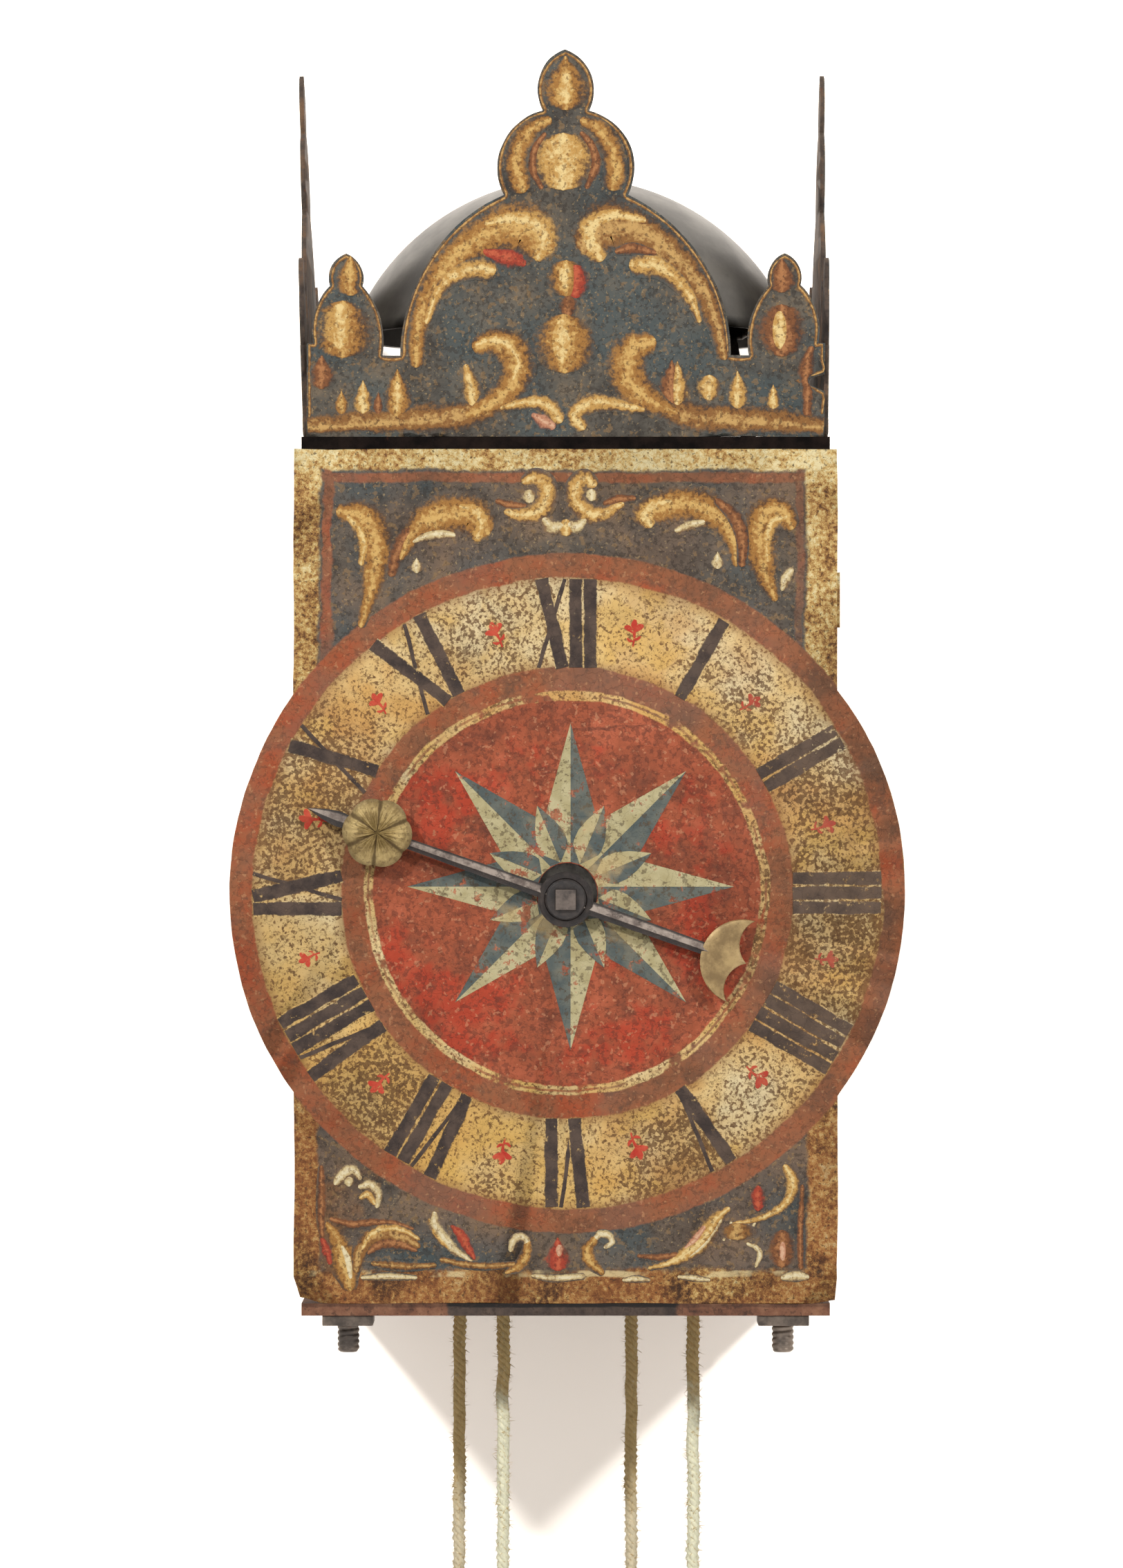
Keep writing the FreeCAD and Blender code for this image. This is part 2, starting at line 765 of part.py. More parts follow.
def top_plate_rivets():
    """Rivets that hold the crests, the hoop and the bell stand."""
    solids = []
    for x, y, stack in rivet_places():
        seat = top_z + stack
        solids.append(joined([
            rod_z(x, y, rivet_radius, case_height, seat),
            rod_z(x, y, rivet_head_radius, seat, seat + rivet_head_height),
        ]))
    return Part.makeCompound(solids)


def wall_spurs():
    """Two pointed spurs that keep the case off the wall."""
    solids = []
    root = case_depth - back_thickness
    neck = wall_y - spur_point
    for side in (-1, 1):
        start = Vector(side * pillar_x, neck, spur_height)
        point = Part.makeCone(spur_radius, spur_tip_radius, spur_point, start, Vector(0, 1, 0))
        solids.append(joined([rod_y((side * pillar_x, spur_height), spur_radius, root, neck), point]))
    return Part.makeCompound(solids)


def bell_sphere_radius():
    """Radius of the ball that the bell's outside is part of."""
    return (bell_radius ** 2 + bell_height ** 2) / (2 * bell_height)


def bell():
    """Bowl-shaped bell, open below."""
    ball = bell_sphere_radius()
    middle = Vector(bell_x, bell_y, bell_top_z - ball)
    outside = Part.makeSphere(ball, middle)
    inside = Part.makeSphere(ball - bell_wall, middle)
    reach = ball + cut_margin
    keep = box(
        (bell_x - reach, bell_x + reach),
        (bell_y - reach, bell_y + reach),
        (bell_rim_z, bell_top_z + cut_margin),
    )
    hole = rod_z(bell_x, bell_y, bell_tenon_radius + running_fit, bell_rim_z, bell_top_z + cut_margin)
    return outside.common(keep).cut([inside, hole])


def bell_stand():
    """Flange, post and threaded end that carry the bell."""
    half_x, half_y = flange_width / 2, flange_depth / 2
    ball = bell_sphere_radius()
    shoulder = bell_top_z - ball + math.sqrt((ball - bell_wall) ** 2 - bell_post_radius ** 2) - running_fit
    stand = joined([
        box(
            (bell_x - half_x, bell_x + half_x),
            (bell_y - half_y, bell_y + half_y),
            (top_z, top_z + flange_thickness),
        ),
        rod_z(bell_x, bell_y, bell_post_radius, top_z, shoulder),
        rod_z(bell_x, bell_y, bell_tenon_radius, shoulder, bell_top_z + bell_tenon_length),
    ])
    holes = []
    for side in (-1, 1):
        x = bell_x + side * flange_rivet_share * flange_width
        top = top_z + flange_thickness + cut_margin
        holes.append(rod_z(x, bell_y, rivet_radius + running_fit, top_z - cut_margin, top))
    return stand.cut(holes)


def bell_nut():
    """Square nut on the bell stand."""
    half = bell_nut_width / 2
    ends = (bell_top_z, bell_top_z + bell_nut_thickness)
    nut = box((bell_x - half, bell_x + half), (bell_y - half, bell_y + half), ends)
    hole = rod_z(bell_x, bell_y, bell_tenon_radius + running_fit, ends[0] - cut_margin, ends[1] + cut_margin)
    return nut.cut(hole)


def movement_bar(front, lugs, arms, holes, wedged):
    """Upright bar with lugs and side arms for the pivots."""
    rear = front + bar_thickness
    half, tenon = bar_width / 2, bar_tenon_width / 2
    top = top_z + bar_tenon_rise if wedged else top_z
    parts = [
        box((-half, half), (front, rear), (0, case_height)),
        box((-tenon, tenon), (front, rear), (-plate_thickness, top)),
    ]
    for x, z in lugs:
        parts.append(rod_y((x, z), lug_radius, front, rear))
        parts.append(box((min(0, x), max(0, x)), (front, rear), (z - arm_height / 2, z + arm_height / 2)))
    for side in arms:
        reach = side * (lever_x + arm_reach)
        span = (lever_z - arm_height / 2, lever_z + arm_height / 2)
        parts.append(box((min(0, reach), max(0, reach)), (front, rear), span))
    body = joined(parts)
    cutters = [rod_y(at, radius + running_fit, front - cut_margin, rear + cut_margin) for at, radius in holes]
    if wedged:
        middle = (front + rear) / 2
        depth = (middle - wedge_width / 2, middle + wedge_width / 2)
        cutters.append(box((-half, half), depth, (top_z, top_z + wedge_height)))
    return body.cut(cutters)


def front_bar():
    """Bar behind the dial, with the boss of the hour arbor."""
    plain = movement_bar(
        bar_at,
        (going_great, second),
        (-1,),
        (
            (going_great, journal_radius),
            (second, pivot_radius),
            (crown, pivot_radius),
            (left_lever, lever_radius),
        ),
        True,
    )
    boss_front = bar_at - hour_boss_length
    body = joined([plain, rod_y(hour, hour_boss_radius, boss_front, bar_at)])
    ends = (boss_front - cut_margin, bar_at + bar_thickness + cut_margin)
    return body.cut(rod_y(hour, hour_journal_radius + running_fit, *ends))


def middle_bar():
    """Bar between the trains."""
    pivots = (going_great, strike_great, second, hoop, fly, left_lever, right_lever)
    return movement_bar(
        middle_at,
        (going_great, strike_great, second, hoop),
        (-1, 1),
        [(at, pivot_radius) for at in pivots],
        False,
    )


def rear_bar():
    """Bar behind the striking train."""
    return movement_bar(
        rear_at,
        (strike_great, hoop),
        (-1, 1),
        (
            (strike_great, journal_radius),
            (hoop, pivot_radius),
            (fly, pivot_radius),
            (count, count_arbor_radius),
            (left_lever, lever_radius),
            (right_lever, pivot_radius),
        ),
        True,
    )


def bar_wedges():
    """Wedges through the tenons of the front and rear bars."""
    solids = []
    half = wedge_length / 2
    for front in (bar_at, rear_at):
        middle = front + bar_thickness / 2
        depth = (middle - wedge_width / 2, middle + wedge_width / 2)
        solids.append(box((-half, half), depth, (top_z, top_z + wedge_height)))
    return Part.makeCompound(solids)


def escapement_cocks():
    """Potence of the crown arbor and lower cock of the verge, on the middle bar."""
    finger_at = crown_tips + potence_gap
    half = potence_height / 2
    span = (crown_z - half, crown_z + half)
    outer = crown_x + potence_offset + potence_arm
    potence = joined([
        box((crown_x - half, outer), (finger_at, finger_at + potence_thickness), span),
        box((crown_x + potence_offset, outer), (finger_at, middle_at), span),
    ])
    ends = (finger_at - cut_margin, finger_at + potence_thickness + cut_margin)
    potence = potence.cut(rod_y(crown, pivot_radius + running_fit, *ends))
    top = verge_low_z - running_fit
    cock = box(
        (crown_x - cock_width / 2, crown_x + cock_width / 2),
        (verge_y - cock_thickness, middle_at),
        (top - cock_thickness, top),
    )
    hole = rod_z(crown_x, verge_y, verge_pivot_radius + running_fit, top - cock_thickness, top)
    return Part.makeCompound([potence, cock.cut(hole)])


def foliot_cock():
    """Gallows over the foliot that holds the verge's upper pivot."""
    half = gallows_width / 2
    arm_low = foliot_top_z + verge_top + end_shake
    arm_high = arm_low + gallows_thickness
    foot_half = gallows_foot_width / 2
    foot_y = (gallows_foot_at, gallows_foot_at + gallows_foot_depth)
    post_y = (gallows_foot_at, gallows_foot_at + gallows_thickness)
    gallows = joined([
        box((crown_x - foot_half, crown_x + foot_half), foot_y, (top_z, top_z + gallows_foot_thickness)),
        box((crown_x - half, crown_x + half), post_y, (top_z, arm_high)),
        box((crown_x - half, crown_x + half), (gallows_foot_at, verge_y + half), (arm_low, arm_high)),
    ])
    hole = rod_z(crown_x, verge_y, foliot_pivot_radius + running_fit, arm_low - cut_margin, arm_high + cut_margin)
    return gallows.cut(hole)


def great_arbor(at, planes):
    """Middle of a great arbor: collar, round part, square and rear shoulder."""
    keeper = planes.pulley - end_shake - keeper_thickness
    return [
        rod_y(at, great_core_radius, planes.bar_rear + end_shake, planes.great),
        rod_y(at, keeper_radius, keeper, keeper + keeper_thickness),
        square_y(at, great_side, planes.great, planes.great_end),
        rod_y(at, great_core_radius, planes.great_end, planes.next_bar - end_shake),
    ]


def going_great_arbor():
    """Great arbor of the going train, with the report pinion and the lifting cam in front."""
    planes = going_planes
    pinion_front = hour_wheel_at - pinion_overhang
    cam_end = cam_at + cam_thickness
    nose = polar(going_great, cam_radius + cam_nose, -math.pi / 2)
    parts = great_arbor(going_great, planes) + [
        pinion(going_great, hour_module, pinion_front, cam_at, hour),
        rod_y(going_great, cam_radius, cam_at, cam_end),
        bar_between(going_great, nose, cam_nose, cam_at, cam_end),
        rod_y(going_great, journal_radius, cam_end, planes.bar_rear + end_shake),
        rod_y(going_great, pivot_radius, planes.next_bar - end_shake, planes.next_bar + bar_thickness),
    ]
    return joined(parts)


def strike_great_arbor():
    """Great arbor of the striking train, with the count pinion behind."""
    planes = strike_planes
    pinion_end = count_at + wheel_thickness
    behind = planes.next_bar + bar_thickness + end_shake
    parts = great_arbor(strike_great, planes) + [
        rod_y(strike_great, pivot_radius, middle_at, planes.bar_rear + end_shake),
        rod_y(strike_great, journal_radius, planes.next_bar - end_shake, behind),
        pinion(strike_great, count_module, behind, pinion_end, count),
    ]
    return joined(parts)


def click_line(at):
    """Foot, pivot and nose of a click, and the tangent that it lies along."""
    level = ratchet_radius + click_clear + click_width / 2
    foot = math.pi / 4 - math.atan2(click_reach, level)
    near = polar(at, level, foot)
    pivot = polar(near, click_reach, foot + math.pi / 2)
    nose = polar(near, click_width / 2, foot - math.pi / 2)
    return pivot, nose


def great_wheel(at, planes, pinion_at):
    """Great wheel with the stud of its click on an arm."""
    body = wheel(at, great_teeth, great_module, planes.great, planes.great_end, pinion_at, great_side)
    pivot, _ = click_line(at)
    level = math.hypot(pivot[0] - at[0], pivot[1] - at[1])
    pad = rod_y(pivot, click_boss_radius, planes.great, planes.great_end)
    strut = bar_between(towards(at, pivot, hub_share * great_teeth * great_module / 2 - cut_margin),
                        towards(at, pivot, level + click_boss_radius * 2),
                        click_boss_radius * 2, planes.great, planes.great_end)
    stud = rod_y(pivot, click_pivot_radius, planes.ratchet, planes.great)
    return joined([body, pad, strut, stud])


def click(at, planes):
    """Click that drops into the ratchet of the pulley."""
    pivot, nose = click_line(at)
    ends = (planes.ratchet, planes.ratchet + ratchet_thickness)
    arm = joined([rod_y(pivot, click_boss_radius, *ends), bar_between(pivot, nose, click_width, *ends)])
    hole = (ends[0] - cut_margin, ends[1] + cut_margin)
    return arm.cut(rod_y(pivot, click_pivot_radius + running_fit, *hole))


def ratchet_outline(at):
    """Saw-toothed outline of a ratchet."""
    points = []
    step = 2 * math.pi / ratchet_teeth
    for index in range(ratchet_teeth):
        points.append(polar(at, ratchet_radius, index * step))
        points.append(polar(at, ratchet_radius - ratchet_depth, index * step))
    return points[::-1]


def pulley(at, planes, reach):
    """Rope pulley with a V-shaped groove and a ratchet on its rear face."""
    flange = reach + pulley_flange
    slope = math.radians(groove_angle)
    apex = reach - (rope_radius + rope_seat) / math.sin(slope)
    floor = apex + groove_floor / math.tan(slope)
    mouth = (flange - apex) * math.tan(slope)
    bore = great_core_radius + running_fit
    middle = planes.rope
    rim = planes.pulley + pulley_width
    profile = (
        (bore, planes.pulley),
        (flange, planes.pulley),
        (flange, middle - mouth),
        (floor, middle - groove_floor),
        (floor, middle + groove_floor),
        (flange, middle + mouth),
        (flange, rim),
        (bore, rim),
    )
    corners = [Vector(at[0] + radius, y, at[1]) for radius, y in profile]
    face = Part.Face(Part.makePolygon(corners + corners[:1]))
    drum = face.revolve(Vector(at[0], 0, at[1]), Vector(0, 1, 0), 360)
    ratchet = prism(ratchet_outline(at), rim, rim + ratchet_thickness)
    ratchet = ratchet.cut(rod_y(at, bore, rim - cut_margin, rim + ratchet_thickness + cut_margin))
    return joined([drum, ratchet])


def hour_arbor():
    """Arbor that carries the hour wheel and the hand."""
    square_front = -hand_gap - hand_thickness - collar_thickness - square_end
    wheel_rear = hour_wheel_at + wheel_thickness
    behind = bar_at + bar_thickness + end_shake
    return joined([
        square_y(hour, hand_square, square_front, -hand_gap),
        rod_y(hour, hand_shaft_radius, -hand_gap, hour_wheel_at),
        square_y(hour, arbor_side, hour_wheel_at, wheel_rear),
        rod_y(hour, hour_journal_radius, wheel_rear, behind),
        rod_y(hour, hour_keeper_radius, behind, behind + hour_keeper_thickness),
    ])


def hand_point(distance, across=0.0):
    """Point on the hand, at that distance from the arbor and that far to its left."""
    angle = math.radians(hand_angle)
    along = polar(hour, distance, angle)
    return polar(along, across, angle + math.pi / 2)


def hour_hand():
    """Hand with a pointed end and a crescent on its tail."""
    front, rear = -hand_gap - hand_thickness, -hand_gap
    half = hand_bar_width / 2
    neck = hand_length - hand_point_length
    blade = prism(
        (
            hand_point(0, half),
            hand_point(neck, half),
            hand_point(hand_length),
            hand_point(neck, -half),
            hand_point(0, -half),
        ),
        front,
        rear,
    )
    tail = bar_between(hour, hand_point(-tail_length), hand_bar_width, front, rear)
    moon = rod_y(hand_point(-crescent_distance), crescent_radius, front, rear)
    low, high = front - cut_margin, rear + cut_margin
    beyond = hand_point(-crescent_distance - 2 * crescent_radius)
    bites = [bar_between(hand_point(-crescent_end), beyond, 3 * crescent_radius, low, high)]
    for side in (-1, 1):
        middle = hand_point(-crescent_bite_distance, side * crescent_bite_offset)
        bites.append(rod_y(middle, crescent_bite_radius, low, high))
    hub = rod_y(hour, hub_radius, front, rear)
    body = joined([hub, blade, tail, moon.cut(bites)])
    return body.cut(square_y(hour, hand_square, front - cut_margin, rear + cut_margin))


def hand_rosette():
    """Flower riveted on the hand."""
    rear = -hand_gap - hand_thickness
    front = rear - rosette_thickness
    middle = hand_point(rosette_distance)
    petal = rosette_petal_share * rosette_radius
    ring = rosette_radius - petal
    parts = [rod_y(middle, ring, front, rear)]
    for index in range(rosette_petals):
        parts.append(rod_y(polar(middle, ring, 2 * math.pi * index / rosette_petals), petal, front, rear))
    return joined(parts)


def hand_collar():
    """Collar in front of the hand."""
    rear = -hand_gap - hand_thickness
    front = rear - collar_thickness
    ring = rod_y(hour, collar_radius, front, rear)
    return ring.cut(square_y(hour, hand_square, front - cut_margin, rear + cut_margin))


def train_arbor(at, planes, module, y0, y1, wheel_at, rear_end):
    """Square arbor with one pinion and a pivot at each end."""
    front = planes.bar_rear + end_shake
    return joined([
        rod_y(at, pivot_radius, planes.bar_rear - bar_thickness, front),
        square_y(at, arbor_side, front, rear_end),
        pinion(at, module, y0, y1, wheel_at),
    ])


def second_arbor(at, planes, great_at):
    """Arbor of a second wheel, with the pinion in the great wheel."""
    shoulder = planes.next_bar - end_shake
    body = train_arbor(at, planes, great_module, planes.pinion, planes.pinion_end, great_at, shoulder)
    return joined([body, rod_y(at, pivot_radius, shoulder, planes.next_bar + bar_thickness)])


def hoop_wheel():
    """Second wheel of the striking train with its locking hoop."""
    planes = strike_planes
    body = wheel(hoop, second_teeth, second_module, planes.wheel, planes.wheel_end, fly, arbor_side)
    ends = (planes.wheel_end, planes.wheel_end + hoop_band_height)
    low, high = ends[0] - cut_margin, ends[1] + cut_margin
    band = rod_y(hoop, hoop_band_radius, *ends)
    band = band.cut(rod_y(hoop, hoop_band_radius - hoop_band_wall, low, high))
    reach = hoop_band_radius + cut_margin
    half = math.radians(hoop_band_gap_angle) / 2
    start = bearing(hoop, left_lever)
    opening = prism((hoop, polar(hoop, reach * 2, start - half), polar(hoop, reach * 2, start + half)), low, high)
    return joined([body, band.cut(opening)])


def crown_arbor():
    """Arbor of the crown wheel."""
    planes = going_planes
    shoulder = crown_at + crown_web
    body = train_arbor(crown, planes, second_module, planes.third, planes.third_end, second, shoulder)
    finger_end = crown_tips + potence_gap + potence_thickness
    return joined([body, rod_y(crown, pivot_radius, shoulder, finger_end)])


def crown_wheel():
    """Crown wheel with saw-shaped teeth that point backwards."""
    web_end = crown_at + crown_web
    inner = crown_radius - crown_rim
    hub = arbor_side
    half = arm_share * crown_radius / 2
    low, high = crown_at - cut_margin, web_end + cut_margin
    web = rod_y(crown, crown_radius, crown_at, web_end)
    windows = rod_y(crown, inner, low, high).cut(rod_y(crown, hub, low, high))
    windows = windows.cut(box((crown_x - inner, crown_x + inner), (low, high), (crown_z - half, crown_z + half)))
    windows = windows.cut(box((crown_x - half, crown_x + half), (low, high), (crown_z - inner, crown_z + inner)))
    band = rod_y(crown, crown_radius, web_end, crown_tips)
    band = band.cut(rod_y(crown, inner, web_end - cut_margin, crown_tips + cut_margin))
    body = joined([web.cut([windows, square_y(crown, arbor_side, low, high)]), band])
    step = 2 * math.pi / crown_teeth
    chord = step * crown_radius
    slope = crown_slope_share * chord
    root = crown_tips - crown_tooth
    beyond = crown_tips + cut_margin
    gash_outline = (
        Vector(inner - crown_rim, crown_tips, 0),
        Vector(inner - crown_rim, root, slope),
        Vector(inner - crown_rim, beyond, slope),
        Vector(inner - crown_rim, beyond, 0),
    )
    face = Part.Face(Part.makePolygon(gash_outline + gash_outline[:1]))
    gash = face.extrude(Vector(crown_rim * 4, 0, 0))
    gash.translate(Vector(crown_x, 0, crown_z))
    gashes = []
    for index in range(crown_teeth):
        turned = gash.copy()
        turned.rotate(Vector(crown_x, 0, crown_z), Vector(0, 1, 0), 360 * index / crown_teeth)
        gashes.append(turned)
    return body.cut(gashes)


def verge():
    """Upright staff with two pallets."""
    shoulder = foliot_top_z + verge_top
    half = foliot_square / 2
    cock_end = shoulder + end_shake + gallows_thickness
    parts = [
        rod_z(crown_x, verge_y, verge_pivot_radius, verge_low_z - verge_pivot_length, verge_low_z),
        rod_z(crown_x, verge_y, verge_radius, verge_low_z, foliot_z),
        box((crown_x - half, crown_x + half), (verge_y - half, verge_y + half), (foliot_z, shoulder)),
        rod_z(crown_x, verge_y, foliot_pivot_radius, shoulder, cock_end),
    ]
    reach = verge_gap - pallet_gap
    middle = crown_radius - crown_rim / 2
    for side in (-1, 1):
        low = crown_z + side * middle - pallet_height / 2
        flag = box(
            (crown_x - pallet_thickness / 2, crown_x + pallet_thickness / 2),
            (verge_y - reach, verge_y),
            (low, low + pallet_height),
        )
        flag.rotate(Vector(crown_x, verge_y, 0), Vector(0, 0, 1), side * pallet_angle)
        parts.append(flag)
    return joined(parts)


def foliot():
    """Notched bar across the top of the verge."""
    half = foliot_width / 2
    square = foliot_square / 2
    bar = joined([
        box((crown_x - foliot_half, crown_x + foliot_half), (verge_y - half, verge_y + half),
            (foliot_z, foliot_top_z)),
        rod_z(crown_x, verge_y, foliot_hub_radius, foliot_z, foliot_top_z),
    ])
    cutters = [box((crown_x - square, crown_x + square), (verge_y - square, verge_y + square),
                   (foliot_z - cut_margin, foliot_top_z + cut_margin))]
    notch_half = foliot_notch_width / 2
    for side in (-1, 1):
        for index in range(foliot_notches):
            x = crown_x + side * (foliot_half - foliot_notch_pitch * (index + 1))
            cutters.append(box((x - notch_half, x + notch_half), (verge_y - half, verge_y + half),
                               (foliot_top_z - foliot_notch_depth, foliot_top_z)))
    return bar.cut(cutters)


def foliot_weight(side):
    """Small weight that hangs on the foliot."""
    x = crown_x + side * foliot_weight_at
    half = foliot_width / 2 + foliot_weight_fit
    body = box(
        (x - foliot_weight_width / 2, x + foliot_weight_width / 2),
        (verge_y - foliot_weight_depth / 2, verge_y + foliot_weight_depth / 2),
        (foliot_z - foliot_weight_drop, foliot_top_z + foliot_weight_fit + foliot_weight_wall),
    )
    slot = box(
        (x - foliot_weight_width, x + foliot_weight_width),
        (verge_y - half, verge_y + half),
        (foliot_z - foliot_weight_fit, foliot_top_z + foliot_weight_fit),
    )
    return body.cut(slot)


def lifting_pins():
    """Pins on the front of the striking great wheel that lift the hammer."""
    ends = (strike_planes.great - pin_length, strike_planes.great)
    start = bearing(strike_great, right_lever)
    step = 2 * math.pi / pin_count
    solids = [rod_y(polar(strike_great, pin_reach, start + step * index), pin_radius, *ends)
              for index in range(pin_count)]
    return Part.makeCompound(solids)


def hammer():
    """Hammer arbor with its stalk, head and tail."""
    front = strike_planes.bar_rear + end_shake
    rear = rear_at - end_shake
    half = hammer_bar_thickness / 2
    stalk = (hammer_y - half, hammer_y + half)
    bend = (lever_x, hammer_bend_z)
    head = (lever_x - hammer_lean, hammer_head_z)
    gap = math.hypot(lever_x - strike_great_x, lever_z - great_z) - pin_reach - pin_radius - tail_clear
    tail_y = (strike_planes.great - pin_length, strike_planes.great - end_shake)
    nose = head[0] + hammer_head_length / 2
    cone = Part.makeCone(
        hammer_head_radius, hammer_nose_radius, hammer_nose_length,
        Vector(nose, hammer_y, hammer_head_z), Vector(1, 0, 0),
    )
    return joined([
        rod_y(right_lever, pivot_radius, middle_at + bar_thickness / 2 + end_shake, front),
        rod_y(right_lever, lever_radius, front, rear),
        rod_y(right_lever, pivot_radius, rear, rear_at + bar_thickness),
        bar_between(right_lever, bend, hammer_bar, *stalk),
        rod_y(bend, hammer_bar / 2, *stalk),
        bar_between(bend, head, hammer_bar, *stalk),
        rod_x(hammer_y, hammer_head_z, hammer_head_radius, head[0] - hammer_head_length / 2, nose),
        cone,
        bar_between(right_lever, towards(right_lever, strike_great, gap), hammer_bar, *tail_y),
    ])


def locking_lever():
    """Arbor with the arm of the locking hoop and the arm of the count plate."""
    front = strike_planes.bar_rear + end_shake
    behind = count_plate_at
    hoop_arm = strike_planes.wheel_end + hoop_band_height - lever_arm_thickness
    hoop_gap = math.hypot(hoop_x + lever_x, hoop_z - lever_z) - hoop_band_radius - lever_clear
    count_gap_length = math.hypot(count_x + lever_x, count_z - lever_z) - count_plate_radius - lever_clear
    count_end = behind + lever_arm_thickness
    hoop_end = hoop_arm + lever_arm_thickness
    return joined([
        rod_y(left_lever, pivot_radius, middle_at + bar_thickness / 2 + end_shake, front),
        rod_y(left_lever, lever_radius, front, count_end),
        bar_between(left_lever, towards(left_lever, hoop, hoop_gap), lever_arm_width, hoop_arm, hoop_end),
        bar_between(left_lever, towards(left_lever, count, count_gap_length), lever_arm_width, behind, count_end),
    ])


def lifting_lever():
    """Arbor with the arm that the cam of the going train lifts."""
    rear = middle_at - end_shake
    gap = math.hypot(going_great_x + lever_x, great_z - lever_z) - cam_radius - cam_nose - lever_clear
    arm_end = cam_at + cam_thickness
    return joined([
        rod_y(left_lever, lever_radius, cam_at, rear),
        rod_y(left_lever, pivot_radius, rear, middle_at + bar_thickness / 2 - end_shake),
        bar_between(left_lever, towards(left_lever, going_great, gap), lever_arm_width, cam_at, arm_end),
    ])


def fly_arbor():
    """Arbor of the fly."""
    planes = strike_planes
    round_from = planes.third_end + fly_gap - end_shake
    body = train_arbor(fly, planes, second_module, planes.third, planes.third_end, hoop, round_from)
    shoulder = planes.next_bar - end_shake
    return joined([
        body,
        rod_y(fly, fly_round_radius, round_from, shoulder),
        rod_y(fly, pivot_radius, shoulder, planes.next_bar + bar_thickness),
    ])


def fly_vane():
    """Air brake on the fly arbor."""
    start = strike_planes.third_end + fly_gap
    ends = (start, start + fly_vane_length)
    half = fly_vane_thickness / 2
    body = joined([
        rod_y(fly, fly_tube_radius, *ends),
        box((fly_x - fly_vane_reach, fly_x + fly_vane_reach), ends, (fly_z - half, fly_z + half)),
    ])
    return body.cut(rod_y(fly, fly_round_radius + running_fit, ends[0] - cut_margin, ends[1] + cut_margin))


def count_wheel():
    """Count wheel: toothed rim, notched plate and its own short arbor."""
    gear = prism(gear_outline(count, count_teeth, count_module, tooth_shares, bearing(count, strike_great)),
                 count_at, count_plate_at)
    plate = rod_y(count, count_plate_radius, count_plate_at, count_plate_at + count_plate_thickness)
    notches = []
    blows = 0
    for hour_count in range(1, 13):
        angle = 2 * math.pi * blows / count_teeth + bearing(count, left_lever)
        start = polar(count, count_plate_radius - count_notch_depth, angle)
        end = polar(count, count_plate_radius + count_notch_depth, angle)
        notches.append(bar_between(start, end, count_notch_width, count_plate_at,
                                   count_plate_at + count_plate_thickness + cut_margin))
        blows += hour_count
    keeper = rear_at - end_shake - count_keeper_thickness
    return joined([
        gear,
        plate.cut(notches),
        rod_y(count, count_arbor_radius, keeper, count_at),
        rod_y(count, count_keeper_radius, keeper, keeper + count_keeper_thickness),
    ])


def door(side, tab_reach):
    """Door at the left (-1) or the right (1), with a rolled rear edge and two pins."""
    x = side * door_axis_x
    low, high = door_gap, case_height - door_gap
    inner = x - side * door_roll_radius
    outer = inner + side * door_thickness
    tab_end = outer + side * tab_reach
    half = door_tab_height / 2
    tab_y = (door_front, door_front + door_tab_thickness)
    return joined([
        box((min(inner, outer), max(inner, outer)), (door_front, door_axis_y), (low, high)),
        rod_z(x, door_axis_y, door_roll_radius, low, high),
        rod_z(x, door_axis_y, door_pin_radius, low - door_pin_length, high + door_pin_length),
        box((min(inner, tab_end), max(inner, tab_end)), tab_y, (door_tab_z - half, door_tab_z + half)),
    ])


def rope(at, planes, reach):
    """Rope over a pulley, both ends hanging through the bottom plate."""
    y = planes.rope
    left, right = at[0] - reach, at[0] + reach
    up = Part.LineSegment(Vector(left, y, rope_end_z), Vector(left, y, at[1]))
    over = Part.Arc(Vector(left, y, at[1]), Vector(at[0], y, at[1] + reach), Vector(right, y, at[1]))
    down = Part.LineSegment(Vector(right, y, at[1]), Vector(right, y, rope_end_z))
    path = Part.Wire([up.toShape(), over.toShape(), down.toShape()])
    ring = Part.Wire(Part.makeCircle(rope_radius, Vector(left, y, rope_end_z), Vector(0, 0, 1)))
    return path.makePipeShell([ring], True, False)


def hanging_weight(x, y, radius, height, shoulder):
    """Weight with a neck and an eye for the rope."""
    ring_z = rope_end_z - running_fit - eye_ring_radius - eye_wire_radius
    top = ring_z - eye_ring_radius - neck_length
    profile = (
        (0, top - height),
        (radius - shoulder, top - height),
        (radius, top - height + shoulder),
        (radius, top - shoulder),
        (radius - shoulder, top),
        (neck_radius, top),
        (neck_radius, ring_z - eye_ring_radius),
        (0, ring_z - eye_ring_radius),
    )
    corners = [Vector(x + reach, y, z) for reach, z in profile]
    body = Part.Face(Part.makePolygon(corners + corners[:1])).revolve(Vector(x, y, 0), Vector(0, 0, 1), 360)
    ring = Part.makeTorus(eye_ring_radius, eye_wire_radius, Vector(x, y, ring_z), Vector(0, 1, 0))
    return joined([body, ring])


def weights():
    """Driving weights and counterweights, by node name."""
    going_left, going_right, strike_left, strike_right = rope_places()
    large = (weight_radius, weight_height, weight_shoulder)
    small = (small_radius, small_height, small_shoulder)
    return {
        "going_weight": hanging_weight(*going_left, *large),
        "going_counterweight": hanging_weight(*going_right, *small),
        "strike_counterweight": hanging_weight(*strike_left, *small),
        "strike_weight": hanging_weight(*strike_right, *large),
    }


